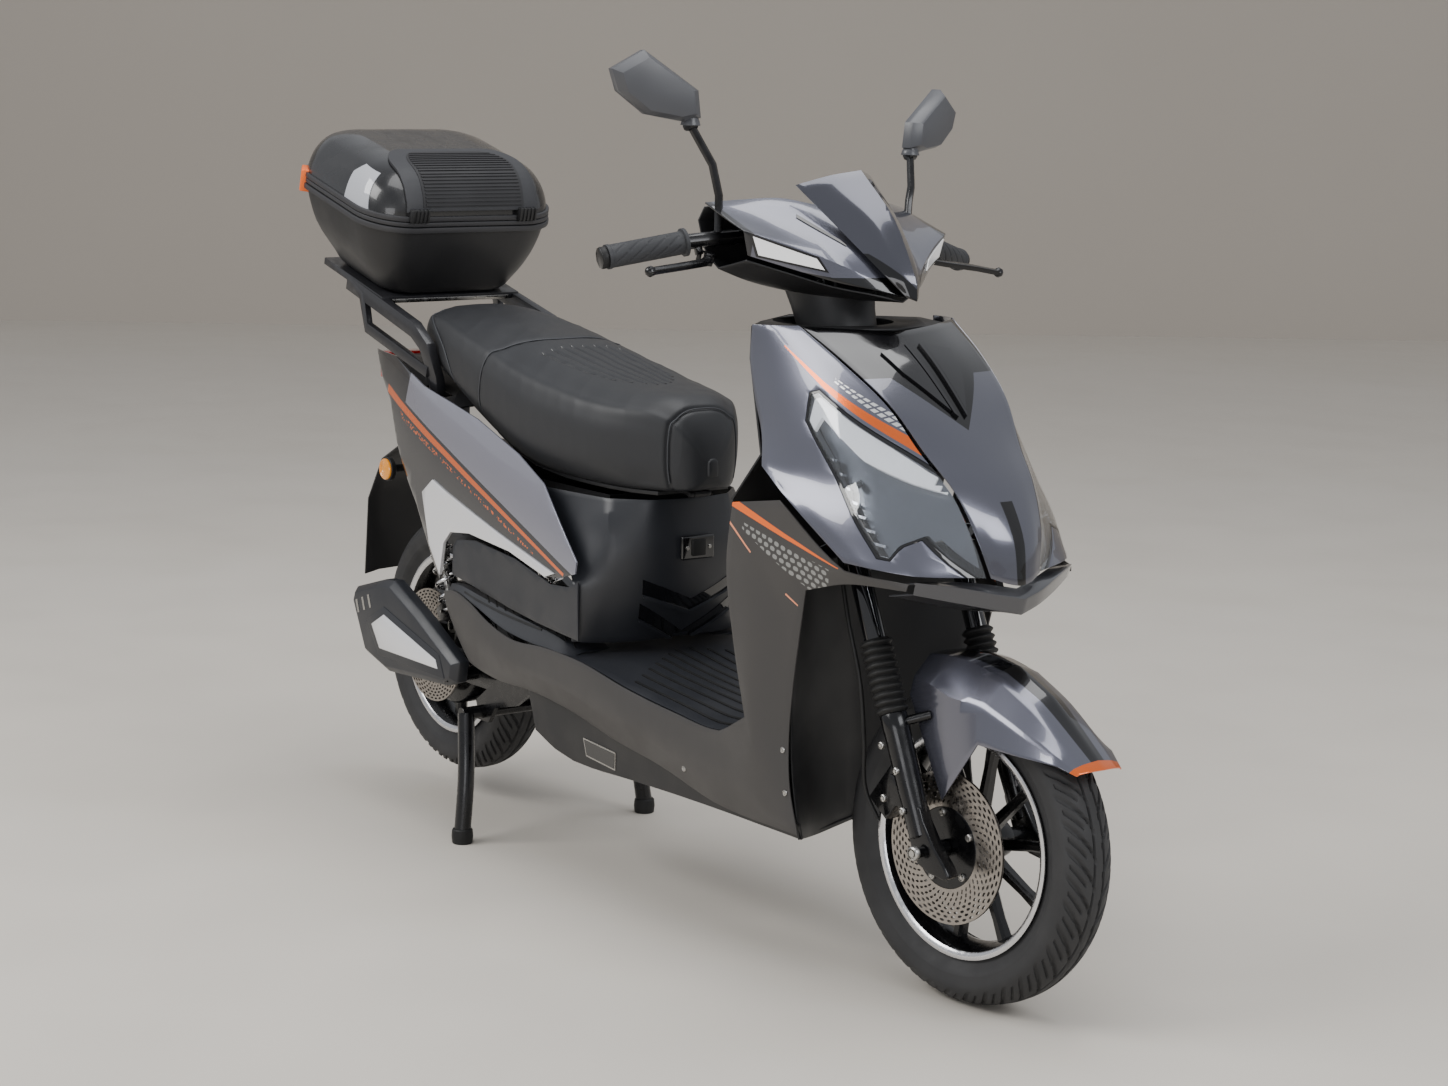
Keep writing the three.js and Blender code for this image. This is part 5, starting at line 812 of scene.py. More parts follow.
floorShares = [
    [[1.04, 0, 0.362], [1.055, 0.5, 0.36], [1.078, 0.885, 0.356]],
    [[1, 0, 0.352], [1, 0.5, 0.35], [1.01, 0.89, 0.337]],
    [[0.9, 0, 0.352], [0.9, 0.5, 0.352], [0.9, 0.89, 0.342]],
    [[0.774, 0, 0.362], [0.774, 0.5, 0.362], [0.774, 0.89, 0.354]],
    [[0.66, 0, 0.376], [0.66, 0.5, 0.376], [0.66, 0.89, 0.37]],
    [[0.56, 0, 0.38], [0.56, 0.5, 0.38], [0.56, 0.88, 0.374]],
]
treadShares = [
    [[0.61, 0.5, 0.378], [0.61, 0.8, 0.376], [0.61, 0.885, 0.37]],
    [[0.56, 0.5, 0.39], [0.56, 0.8, 0.39], [0.56, 0.88, 0.374]],
    [[0.49, 0.66, 0.398], [0.49, 0.79, 0.398], [0.49, 0.87, 0.374]],
    [[0.4, 0.68, 0.406], [0.4, 0.78, 0.406], [0.4, 0.86, 0.382]],
    [[0.3, 0.69, 0.418], [0.3, 0.77, 0.418], [0.3, 0.83, 0.404]],
    [[0.23, 0.7, 0.426], [0.23, 0.77, 0.426], [0.23, 0.81, 0.417]],
    [[0.205, 0.7, 0.424], [0.205, 0.76, 0.424], [0.205, 0.8, 0.412]],
]
belly = shellOf(bothSides(bellyShares), 4, middle=place((0.75, 0, 0.4)))
liner = shellOf(bothSides(linerShares), 5, middle=place((0.9, 0, 0.4)))
bellyTree = skinOf(bothSides(bellyShares), 4, place((0.75, 0, 0.4)))
plateOutline = [(0.616, 0.242), (0.707, 0.236), (0.702, 0.206), (0.622, 0.213)]
dataPlates = (("dataPlate", brightSteel, 0.0, 0.0012), ("dataPlateFace", glossBlack, -0.0025, 0.0018))
for name, finish, shrink, rise in dataPlates:
    label = laid(bellyTree, fromSide(grown(plateOutline, shrink)), across, rise, 0.0012)
    finished(name, label, "frame", finish)
finished("underCover", gathered(belly, liner), "frame", blackPlastic, ["under_cover"])
floorMiddle = place((0.7, 0, 0))
floorRows = bothSides(floorShares)
treadRows = rightSide(treadShares)
floor = shellOf(floorRows, 5, middle=floorMiddle)
finished("floorboard", floor, "frame", bluePlastic, ["floorboard"])
tread = shellOf(treadRows, 6, middle=floorMiddle)
twins("pillionTread", tread, "frame", bluePlastic)
floorTree = skinOf(floorRows, 5, floorMiddle)
treadTree = skinOf(treadRows, 6, floorMiddle)
ribs = []
for k in range(7):
    x, y = 0.665 + 0.016 * k, 0.012 + 0.0235 * k
    outline = [(x, y), (0.85, y - 0.002), (1.035, y + 0.004), (1.035, y + 0.008), (0.85, y + 0.002),
               (x, y + 0.004)]
    ribs.append(laid(floorTree, fromAbove(outline), down, 0.002, 0.002, 0.012))
twins("floorRib", gathered(*ribs), "frame", softRubber)
lines = []
for k in range(11):
    x = 0.3 + 0.026 * k
    outline = [(x, 0.141), (x + 0.03, 0.156), (x + 0.0345, 0.156), (x + 0.0045, 0.141)]
    lines.append(laid(treadTree, fromAbove(outline), down, cell=0.01))
for inside, outside in ((0.1375, 0.1395), (0.1585, 0.1605)):
    outline = [(0.26, inside), (0.5, inside), (0.5, outside), (0.26, outside)]
    lines.append(laid(treadTree, fromAbove(outline), down, cell=0.01))
twins("treadLine", gathered(*lines), "frame", softRubber)
print("floor is in")

# Tail covers with their silver wings, and the panel under the seat
tailStationShares = [-0.15, -0.1, -0.05, 0, 0.1, 0.2, 0.3, 0.4, 0.5, 0.6, 0.66]
tailWidthShares = [0.5, 0.57, 0.62, 0.665, 0.73, 0.775, 0.815, 0.85, 0.885, 0.92, 0.935]
tailDropShares = [[-0.26, 0], [-0.1, 0], [0, 0], [0.045, 0.012], [0.13, 0.055]]
tailOutlineShares = [
    [-0.135, 0.788], [-0.097, 0.744], [-0.051, 0.706], [-0.021, 0.639], [0.01, 0.597], [0.07, 0.54],
    [0.12, 0.476], [0.148, 0.44], [0.166, 0.424], [0.172, 0.44], [0.186, 0.49], [0.212, 0.512],
    [0.282, 0.52], [0.424, 0.512], [0.545, 0.49], [0.59, 0.495], [0.636, 0.508], [0.638, 0.528],
    [0.521, 0.635], [0.433, 0.672], [0.293, 0.712], [0.205, 0.728], [0.096, 0.746], [-0.03, 0.785],
]
wingOutlineShares = [
    [0.1, 0.566], [0.143, 0.593], [0.2, 0.578], [0.384, 0.538], [0.575, 0.5], [0.545, 0.49],
    [0.424, 0.512], [0.282, 0.52], [0.212, 0.512], [0.186, 0.49], [0.17, 0.432], [0.128, 0.48],
]
sideOutlineShares = [
    [0.198, 0.438], [0.2, 0.486], [0.216, 0.5], [0.284, 0.508], [0.424, 0.5], [0.545, 0.478],
    [0.6, 0.482], [0.632, 0.494], [0.634, 0.402], [0.5, 0.408], [0.4, 0.416], [0.3, 0.428],
]
tail = {"crest": (0.765, 0.483), "proud": 0.003, "inset": 0.008}


def tailRows(inset=0):
    start, end = tailStationShares[0], tailStationShares[-1]
    rows = []
    for rise, lean in tailDropShares:
        row = []
        for x, width in zip(tailStationShares, tailWidthShares):
            crest = tail["crest"][0] + (tail["crest"][1] - tail["crest"][0]) * (x - start) / (end - start)
            point = place((x, lean - width, crest + rise))
            point.y += inset
            row.append(point)
        rows.append(row)
    return rows


def tailShell(outline, rise=0, inset=0):
    sheet = surface(fine(tailRows(inset), 6))
    for vert in sheet.verts:
        vert.co += vert.normal * rise
    made = carve(thicken(sheet, body["wall"] + rise), sideCutter(outline), "INTERSECT")
    soften(made, 0.0008, 60)
    return made


tailFinish = metallicPaint("tailFinish", [c * 0.14 for c in tints["grey"]], 0.2, 0.5)
way = (spot(0.6, 0.502) - spot(-0.049, 0.722)).normalized()
side = Vector((-way.z, 0, way.x))
above = tailFinish.math("GREATER_THAN", tailFinish.along(spot(-0.049, 0.722), side), 0.012)
ahead = tailFinish.math("GREATER_THAN", tailFinish.along(spot(0.02, 0.7), way), 0.0)
tailFinish.painted(tailFinish.math("MULTIPLY", above, ahead), (0.27, 0.27, 0.325))
dots = tailFinish.cells(190, "Distance")
zone = tailFinish.stripe(spot(0.0, 0.688), spot(0.5, 0.52), 0.009, 0.004)
tailFinish.painted(tailFinish.math("MULTIPLY", zone, tailFinish.math("LESS_THAN", dots, 0.42)),
                   tints["orange"])
striped(tailFinish, (-0.062, 0.7265), (0.6, 0.502), 0.0145, 0.005, "orange")
seam = body["seam"] / 2
cover = tailShell(grown(tailOutlineShares, -seam))
cover = carve(cover, sideCutter(grown(wingOutlineShares, seam)))
twins("tailCover", cover, "frame", tailFinish, "tail_cover")
wing = tailShell(grown(wingOutlineShares, -seam), tail["proud"])
twins("tailWing", wing, "frame", silverPaint, "tail_wing")

underSeatShares = [
    [[0.655, 0, 0.396], [0.65, 0.4, 0.394], [0.632, 0.64, 0.394], [0.622, 0.8, 0.396],
     [0.614, 0.885, 0.398]],
    [[0.686, 0, 0.46], [0.676, 0.38, 0.46], [0.648, 0.66, 0.46], [0.632, 0.8, 0.46],
     [0.618, 0.885, 0.46]],
    [[0.694, 0, 0.5], [0.684, 0.375, 0.5], [0.654, 0.67, 0.498], [0.632, 0.8, 0.492],
     [0.618, 0.885, 0.488]],
    [[0.697, 0, 0.545], [0.688, 0.375, 0.545], [0.654, 0.67, 0.54], [0.618, 0.77, 0.53],
     [0.58, 0.82, 0.52]],
    [[0.692, 0, 0.59], [0.683, 0.375, 0.59], [0.645, 0.65, 0.585], [0.575, 0.72, 0.58],
     [0.5, 0.76, 0.575]],
    [[0.69, 0, 0.622], [0.68, 0.36, 0.622], [0.63, 0.6, 0.622], [0.54, 0.66, 0.622], [0.45, 0.7, 0.622]],
]
underRows = bothSides(underSeatShares)
under = shellOf(underRows, 6)
hole = blockOf(place((0.62, 0, 0.545)) - Vector((0, 0.02, 0.01)),
               place((0.76, 0, 0.545)) + Vector((0, 0.02, 0.01)), 0.004, 4)
under = carve(under, hole)
lower = tailShell(sideOutlineShares, 0, tail["inset"])
other = lower.copy()
bmesh.ops.transform(other, matrix=flip, verts=other.verts)
bmesh.ops.reverse_faces(other, faces=other.faces)
finished("underSeatPanel", gathered(under, lower, other), "frame", bluePlastic,
         ["body_panel"])
underTree = skinOf(underRows)
louvre = {"high": 0.018, "sideHigh": 0.024, "lip": 0.006}
louvres = []
for tip, wing in ((0.461, 0.498), (0.405, 0.459)):
    outline = [(0, tip), (-0.088, wing), (-0.086, wing - louvre["sideHigh"]), (0, tip - louvre["high"])]
    louvres.append(laid(underTree, fromFront(outline), rearward))
twins("louvre", gathered(*louvres), "frame", glossBlack)
lips = []
for tip, wing in ((0.443, 0.474), (0.387, 0.435)):
    outline = [(0, tip), (-0.086, wing), (-0.084, wing - louvre["lip"]), (0, tip - louvre["lip"])]
    lips.append(laid(underTree, fromFront(outline), rearward, louvre["lip"], louvre["lip"]))
twins("louvreLip", gathered(*lips), "frame", bluePlastic)
capLow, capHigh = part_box("charge_port_cap")
centre = (capLow + capHigh) / 2
port = {"round": 0.015, "flap": 0.013, "screwSide": 0.021}
plug = blockOf(capLow, capHigh, port["round"], 8)
finished("portCap", plug, "charge_cap", glossBlack, ["charge_port_cap"])
flapLow = Vector((capHigh.x - 0.001, centre.y - port["flap"], centre.z - port["flap"]))
flapHigh = Vector((capHigh.x + 0.003, centre.y + port["flap"], centre.z + port["flap"]))
finished("portFlap", blockOf(flapLow, flapHigh, 0.0028, 3), "charge_cap", softRubber)
for name, side in pair:
    screwAt = Vector((capHigh.x - 0.0005, centre.y + side * port["screwSide"], centre.z))
    screw = boltAt(screwAt, forward, 0.0035, 0.0015)
    finished(f"portScrew{name}", screw, "charge_cap", brightSteel)
print("tail and under-seat panels are in")


# Seat: stations of width and height from the rear to the nose
seatSectionShares = [
    [0, 0], [0.5, 0], [0.86, 0.025], [0.96, 0.18], [1, 0.46], [0.975, 0.7], [0.9, 0.84],
]
seatStations = [
    (0.013, 0.38, 0.788, 0.858), (0.022, 0.46, 0.782, 0.87), (0.045, 0.525, 0.778, 0.8755),
    (0.07, 0.56, 0.775, 0.876),
    (0.1, 0.59, 0.769, 0.874), (0.16, 0.645, 0.746, 0.866), (0.22, 0.685, 0.722, 0.856),
    (0.29, 0.712, 0.6945, 0.8435),
    (0.36, 0.74, 0.669, 0.83), (0.42, 0.75, 0.654, 0.819), (0.5, 0.73, 0.645, 0.805),
    (0.56, 0.7, 0.642, 0.796),
    (0.61, 0.65, 0.64, 0.79), (0.65, 0.56, 0.638, 0.786), (0.688, 0.42, 0.637, 0.779),
    (0.708, 0.34, 0.637, 0.767),
    (0.72, 0.275, 0.638, 0.752), (0.729, 0.215, 0.64, 0.735), (0.735, 0.155, 0.645, 0.716),
    (0.738, 0.1, 0.651, 0.7),
    (0.7395, 0.05, 0.66, 0.689),
]
seat = {"around": 8, "lengthwise": 14, "seamDeep": 0.0028, "seamWide": 0.0035, "grooveDeep": 0.0052,
        "grooveWide": 0.0022, "grooves": 8, "grooveRear": 0.352, "grooveFore": 0.6, "thread": 0.0013,
        "stitches": 24, "slack": 0.0007, "crease": 0.0004, "piping": 0.0012}


def seatRing(station, shrink=1.0, shift=0.0):
    x, half, low, high = station
    tall = high - low
    side = [(y * half, low + z * tall) for y, z in seatSectionShares[1:]]
    crown = [(y * half, high - 0.12 * (y / 0.78) ** 3 * tall) for y in (0.78, 0.62, 0.45, 0.28, 0.12)]
    right = [(0, low)] + side + crown
    points = [place((x, -y, z)) for y, z in right] + [place((x, 0, high))]
    points += [place((x, y, z)) for y, z in right[::-1]]
    core = place((x, 0, (low + high) / 2))
    return [core + (p - core) * shrink + Vector((shift, 0, 0)) for p in points]


# Where each seam runs: behind the rider, between the two pads and round the nose
def rearSeam(y, z):
    return 0.162 - 0.112 * (max(z - 0.74, 0) / 0.118) ** 2.6


def middleSeam(y, z):
    level = min(max((z - 0.69) / 0.13, 0), 1)
    return 0.25 + 0.04 * level ** 0.6 + 0.022 * (1 - (y / 0.13) ** 2)


def noseSeam(y, z):
    return 0.71


# Where a sewn channel starts and ends, and how far it runs off the middle
def grooveSpan(rear):
    bow = (rear / 0.075) ** 2
    return seat["grooveRear"] + 0.013 * bow, seat["grooveFore"] - 0.05 * bow


def grooveSpread(rear, fore, t):
    return rear + (fore - rear) * t + rear * 0.22 * t * (1 - t)


rows = [seatRing(s) for s in seatStations]
wide = [line(row, seat["around"], (60, 120)) for row in rows]
columns = [line(list(column), seat["lengthwise"], (80, 150)) for column in zip(*wide)]
rings = [list(row) for row in zip(*columns)]
closing = ((0.97, 0.0022), (0.9, 0.0048), (0.75, 0.0068), (0.5, 0.008), (0.2, 0.0085), (0.001, 0.0086))
for which, sign in ((0, -1), (-1, 1)):
    base = rings[which]
    core = sum(base, Vector()) / len(base)
    reach = sign * (1 if which == 0 else 0.4)
    extra = []
    for size, out in closing:
        extra.append([core + (p - core) * size + forward * (reach * out) for p in base])
    rings = extra[::-1] + rings if which == 0 else rings + extra
cushion = surface(rings, place((0.5, 0, 0.75)))
bmesh.ops.remove_doubles(cushion, verts=cushion.verts, dist=0.00002)
cushion.normal_update()
seamPlaces = (rearSeam, middleSeam, noseSeam)
grooveLines = [(0.0214 * (k - 3.5), 0.0157 * (k - 3.5)) for k in range(seat["grooves"])]
moves = []
for vert in cushion.verts:
    x, y, z = vert.co - home
    up = vert.normal.z
    push = 0
    for seamAt in seamPlaces:
        away = x - seamAt(y, z)
        push += seat["seamDeep"] * math.exp(-(away / seat["seamWide"]) ** 2)
    if seat["grooveRear"] - 0.012 < x < seat["grooveFore"] + 0.02 and up > 0.3:
        for rear, fore in grooveLines:
            start, end = grooveSpan(rear)
            t = (x - start) / (end - start)
            spread = grooveSpread(rear, fore, t)
            fade = min(max((end - x) / 0.015, 0), 1) * min(max((x - start) / 0.008, 0), 1)
            push += seat["grooveDeep"] * fade * math.exp(-((y - spread) / seat["grooveWide"]) ** 2)
    soft = seat["slack"] * math.sin(x * 31 + z * 23) * math.sin(y * 29 + 1)
    soft += seat["crease"] * math.sin(x * 83 + y * 61)
    moves.append(vert.normal * (-push - abs(soft) * (0 if up < -0.3 else 1)))
for vert, move in zip(cushion.verts, moves):
    vert.co += move
cushion.normal_update()
cushionTree = BVHTree.FromBMesh(cushion)
threads = []
for rear, fore in grooveLines:
    start, end = grooveSpan(rear)
    path = []
    for k in range(seat["stitches"] + 1):
        t = k / seat["stitches"]
        above = home + Vector((start + (end - start) * t, grooveSpread(rear, fore, t), 1))
        path.append(cushionTree.ray_cast(above, down)[0])
    threads.append(tubeOf(path, seat["thread"], 8, 2))
finished("seatGrooves", gathered(*threads), "seat", glossBlack, angle=80)
cushionPiece = finished("seatCushion", cushion, "seat", seatVinyl, ["seat_cushion"], 80)
seams = []
for seamAt in seamPlaces:
    path = []
    for j in range(0, len(rings[0]), 4):
        for row in range(len(rings) - 1):
            one, two = rings[row][j] - home, rings[row + 1][j] - home
            before, after = one.x - seamAt(one.y, one.z), two.x - seamAt(two.y, two.z)
            if before <= 0 < after:
                path.append(rings[row][j].lerp(rings[row + 1][j], before / (before - after)))
                break
    bare = [p for p in path if p.z > min(q.z for q in path) + 0.01]
    core = sum(bare, Vector()) / len(bare)
    bare = [p - (p - core).normalized() * 0.0012 for p in bare]
    sides = [[p for p in bare if p.y < core.y], [p for p in bare if p.y >= core.y]]
    parted = max((b - a).length for a, b in zip(bare, bare[1:])) > 0.06
    seams += [tubeOf(p, seat["piping"], 8, 3) for p in (sides if parted else [bare])]
# The piping tubes carry the lighter vinyl, which is a painted highlight
finished("seatPiping", gathered(*seams), "seat", piping, angle=80)
print("seat is in")

# Top box, built level and then tilted onto its rack
box = {"pitch": math.radians(15), "at": (-0.053, 0, 0.885), "corner": 0.42, "wall": 0.003, "steps": 10,
       "hingeAt": 0.107}
boxMatrix = Matrix.Translation(place(box["at"])) @ Matrix.Rotation(box["pitch"], 4, "Y")
boxMiddle = Vector((-0.13, 0, 0.13))
boxRings = [(-0.19, -0.026, 0.098, 0), (-0.206, -0.01, 0.114, 0.001), (-0.2165, 0.0025, 0.1255, 0.007),
            (-0.228, 0.011, 0.138, 0.024), (-0.262, 0.024, 0.168, 0.07), (-0.277, 0.03, 0.179, 0.104),
            (-0.284, 0.032, 0.184, 0.126)]
lidRings = [(-0.2885, 0.0325, 0.1865, 0.148), (-0.2875, 0.0295, 0.1835, 0.166),
            (-0.2835, 0.0185, 0.1735, 0.192), (-0.2715, -0.0025, 0.1545, 0.2145),
            (-0.259, -0.02, 0.137, 0.2222), (-0.2445, -0.0375, 0.1185, 0.2262),
            (-0.205, -0.085, 0.07, 0.2275)]


def boxRing(ring, grow=0.0):
    rear, fore, half, z = ring
    rear, fore, half = rear - grow, fore + grow, half + grow
    radius = half * box["corner"]
    points = []
    for end, side, quarter in ((fore, -1, -1), (fore, 1, 0), (rear, 1, 1), (rear, -1, 2)):
        inward = -1 if end == fore else 1
        centre = Vector((end + inward * radius, side * (half - radius), z))
        for i in range(box["steps"] + 1):
            turn = (quarter + i / box["steps"]) * math.pi / 2
            points.append(centre + Vector((math.cos(turn), math.sin(turn), 0)) * radius)
    return points


def boxShell(levels, wall, steps=3):
    columns = [line(list(column), steps, (50, 80)) for column in zip(*[boxRing(r) for r in levels])]
    made = outward(ringed([list(row) for row in zip(*columns)], False), boxMiddle)
    edges = [e for e in made.edges if len(e.link_faces) == 1]
    level = min if levels is boxRings else max
    end = level(v.co.z for e in edges for v in e.verts)
    fill = [e for e in edges if abs(e.verts[0].co.z - end) < 0.0001]
    bmesh.ops.contextual_create(made, geom=fill)
    made.normal_update()
    return thicken(made, wall)


def band(ring, low, high, grow, wall, edge=0.0012):
    levels = [boxRing((*ring[:3], z), grow) for z in (low, high)]
    made = thicken(outward(ringed(levels, False), boxMiddle), wall)
    soften(made, edge, 50)
    return made


bowl = boxShell(boxRings, box["wall"])
finished("topBoxBowl", bowl, "frame", blackPlastic, ["top_box_base"], matrix=boxMatrix)
bandFinish = moulded("bandFinish", (0.03, 0.03, 0.033), 0.5)
bands = gathered(band(boxRings[-1], 0.126, 0.1355, 0.007, 0.008),
                 band(boxRings[-1], 0.1372, 0.1445, 0.0055, 0.0065))
finished("topBoxBand", bands, "frame", bandFinish, matrix=boxMatrix)
lidShell = boxShell(lidRings, box["wall"], 4)
lidTree = BVHTree.FromBMesh(lidShell)
lidFinish = glossy("lidFinish", (0.006, 0.006, 0.007), 0.24)
finished("topBoxLid", lidShell, "box_lid", lidFinish, ["top_box_lid"], matrix=boxMatrix)
lidBand = band(lidRings[0], 0.1455, 0.1545, 0.0035, 0.006, 0.0015)
finished("lidBand", lidBand, "box_lid", bandFinish, matrix=boxMatrix)
padFinish = moulded("padFinish", (0.03, 0.031, 0.035), 0.62, 0.3)
insetFinish = moulded("insetFinish", (0.014, 0.014, 0.016), 0.6, 0.1)


def roundTopped(half, low, high, radius, steps=8):
    points = [(-half, low), (half, low)]
    for side, start in ((1, 0), (-1, 90)):
        for k in range(steps + 1):
            turn = math.radians(start + 90 * k / steps)
            points.append((side * (half - radius) + radius * math.cos(turn),
                           high - radius + radius * math.sin(turn)))
    return points


pad = {"rise": 0.0062, "wall": 0.006, "edge": 0.002, "insetRise": 0.0072, "ribs": 19, "ribLow": -0.076,
       "ribPitch": 0.0058, "ribWide": 0.0026, "ribRise": 0.0086, "ribWall": 0.0014, "halfWidth": 0.095}
padWay = Vector((-0.75, 0, -0.66)).normalized()
padUp = Vector((-0.66, 0, 0.75)).normalized()


def onLid(outline):
    return [Vector((-0.03, 0, 0.222)) - padWay * 0.5 + across * y + padUp * s for y, s in outline]


cushionPad = laid(lidTree, onLid(roundTopped(0.128, -0.084, 0.052, 0.05)), padWay, pad["rise"],
                  pad["wall"])
soften(cushionPad, pad["edge"], 60, 3)
finished("backPad", cushionPad, "box_lid", padFinish, matrix=boxMatrix)
inset = laid(lidTree, onLid(roundTopped(0.1, -0.078, 0.038, 0.04)), padWay, pad["insetRise"])
finished("backPadInset", inset, "box_lid", insetFinish, matrix=boxMatrix)
strips = []
for k in range(pad["ribs"]):
    low = pad["ribLow"] + k * pad["ribPitch"]
    high = low + pad["ribWide"]
    half = pad["halfWidth"] if low < 0 else pad["halfWidth"] - 18 * low ** 2
    outline = [(-half, low), (half, low), (half, high), (-half, high)]
    strips.append(laid(lidTree, onLid(outline), padWay, pad["ribRise"], pad["ribWall"]))
finished("backPadRibs", gathered(*strips), "box_lid", insetFinish, matrix=boxMatrix)
outline = [(-0.014, 0.154), (-0.086, 0.152), (-0.092, 0.198), (-0.078, 0.214), (-0.034, 0.211)]
patch = laid(lidTree, [Vector((x, -0.5, z)) for x, z in outline], across)
patchFinish = glossy("patchFinish", (0.42, 0.43, 0.46), 0.06)
finished("lidPatch", patch, "box_lid", patchFinish, matrix=boxMatrix)
outline = [Vector((-1, y, z)) for y, z in ((-0.1, 0.172), (0.1, 0.172), (0.096, 0.183), (-0.096, 0.183))]
rearStrip = laid(lidTree, outline, forward, 0.0015, 0.0015)
finished("lidReflector", rearStrip, "box_lid", redLens, matrix=boxMatrix)
for name, side in pair:
    low = Vector((-0.262, side * 0.17 - 0.009, 0.118))
    clip = blockOf(low, low + Vector((0.034, 0.018, 0.04)), 0.003, 3)
    turnClip = boxMatrix @ Matrix.Translation(low) @ Matrix.Rotation(side * 0.5, 4, "Z")
    turnClip = turnClip @ Matrix.Translation(-low)
    finished(f"reflector{name}", clip, "frame", orangeTape, matrix=turnClip)
    middle = side * box["hingeAt"]
    blocks = [blockOf(Vector((0.0285, middle - 0.018, 0.147)), Vector((0.042, middle + 0.018, 0.168)))]
    for k in range(5):
        y = middle - 0.015 + k * 0.0075
        blocks.append(blockOf(Vector((0.036, y - 0.0018, 0.146)), Vector((0.044, y + 0.0018, 0.169)),
                              0.0006))
    finished(f"lidHinge{name}", gathered(*blocks), "box_lid", blackPlastic,
             matrix=boxMatrix)
strip = blockOf(Vector((-0.06, -0.118, -0.0115)), Vector((0.0015, 0.118, -0.0045)), 0.001)
finished("rackStrip", strip, "frame", brightSteel, matrix=boxMatrix)
print("top box is in")

# Handlebar covers, visor, lamps and grips, turned with the steering
coverFrontShares = [
    [[1.055, 0, 1.088], [1.04, 0.225, 1.092], [1.01, 0.46, 1.1], [0.985, 0.725, 1.096],
     [0.962, 0.97, 1.09]],
    [[1.175, 0, 0.984], [1.155, 0.21, 0.995], [1.12, 0.475, 1.018], [1.09, 0.7, 1.036],
     [1.054, 1, 1.055]],
    [[1.183, 0, 0.97], [1.163, 0.19, 0.978], [1.125, 0.44, 0.988], [1.092, 0.66, 1.002],
     [1.054, 0.95, 1.02]],
]
coverRearShares = [
    [[1.048, 0, 1.084], [1.033, 0.225, 1.088], [1.003, 0.46, 1.095], [0.978, 0.71, 1.091],
     [0.956, 0.95, 1.084]],
    [[0.966, 0, 1.078], [0.96, 0.225, 1.077], [0.95, 0.46, 1.074], [0.948, 0.725, 1.07],
     [0.948, 0.97, 1.064]],
    [[0.952, 0, 0.985], [0.953, 0.225, 0.986], [0.953, 0.46, 0.99], [0.955, 0.7, 1.002],
     [0.96, 0.93, 1.016]],
    [[1.05, 0, 0.962], [1.045, 0.225, 0.964], [1.02, 0.46, 0.97], [0.995, 0.7, 0.982],
     [0.98, 0.9, 0.997]],
    [[1.175, 0, 0.962], [1.155, 0.18, 0.97], [1.117, 0.43, 0.98], [1.085, 0.645, 0.994],
     [1.047, 0.93, 1.012]],
]
visorShares = [
    [[1.075, 0, 1.144], [1.055, 0.2, 1.135], [1.022, 0.385, 1.119]],
    [[1.148, 0, 1.078], [1.13, 0.14, 1.072], [1.095, 0.275, 1.06]],
    [[1.2, 0, 0.99], [1.19, 0.075, 0.994], [1.167, 0.16, 1]],
    [[1.202, 0, 0.966], [1.198, 0.03, 0.968], [1.192, 0.06, 0.971]],
]
barMiddle = place((1.02, 0, 1.03))
coverRows = bothSides(coverFrontShares)
coverFinish = metallicPaint("coverFinish", tints["grey"], 0.24)
spanWay = turned.to_3x3() @ across
off = coverFinish.math("ABSOLUTE", coverFinish.along(turned @ place((1.1, 0, 1.03)), spanWay))
coverFinish.painted(coverFinish.math("GREATER_THAN", off, 0.1865), (0.02, 0.02, 0.023))
high = coverFinish.along(home, upward)
under = coverFinish.math("SUBTRACT", coverFinish.ranged(off, 0.09, 0.19, 0.997, 1.0185), high)
coverFinish.painted(coverFinish.math("GREATER_THAN", under, 0.0), tints["black"])
frontCover = shellOf(coverRows, 6, middle=barMiddle, edge=0.0008)
finished("barCoverFront", frontCover, "steering", coverFinish, ["bar_cover_front"],
         matrix=turned)
rearCover = shellOf(bothSides(coverRearShares), 5, middle=barMiddle, edge=0.0008)
neckRings = []
neckStations = [(0.05, 0.064, 0.058, 0.912), (0.05, 0.07, 0.062, 0.945), (0.05, 0.076, 0.068, 0.972)]
for back, fore, half, z in neckStations:
    centre = onFork((z - footHeight) / math.cos(steering["rake"]), 0, 0)
    ring = []
    for k in range(48):
        turn = k / 48 * math.tau
        reach = fore if math.cos(turn) > 0 else back
        ring.append(centre + Vector((math.cos(turn) * reach, math.sin(turn) * half, 0)))
    neckRings.append(ring)
neck = outward(ringed(neckRings, False), neckRings[1][0] - Vector((0.07, 0, 0)))
rearWhole = gathered(rearCover, thicken(neck, 0.0026))
finished("barCoverRear", rearWhole, "steering", blackPlastic, ["bar_cover_rear"],
         matrix=turned)
visorFinish = metallicPaint("visorFinish", [c * 0.55 for c in tints["grey"]], 0.16)
off = visorFinish.math("ABSOLUTE", visorFinish.along(turned @ place((1.1, 0, 1.03)), spanWay))
high = visorFinish.along(home, upward)
edge = visorFinish.math("SUBTRACT", visorFinish.ranged(off, 0, 0.04, 0.982, 1.03), high)
visorFinish.painted(visorFinish.math("GREATER_THAN", edge, 0.0), tints["deepBlack"])
visorRows = bothSides(visorShares)
visorShell = shellOf(visorRows, 6, middle=place((1, 0, 0.95)), fold=(12, 30), edge=0.0008)
finished("visor", visorShell, "steering", visorFinish, ["visor"], matrix=turned)
coverTree = skinOf(coverRows, middle=barMiddle)
lampOutline = [(-0.188, 1.0475), (-0.11, 1.0195), (-0.1, 1.004), (-0.178, 1.0215)]
under = laid(coverTree, fromFront(grown(lampOutline, 0.0032)), rearward, 0.0006, 0.0006)
twins("positionLampEdge", under, "steering", glossBlack, matrix=turned)
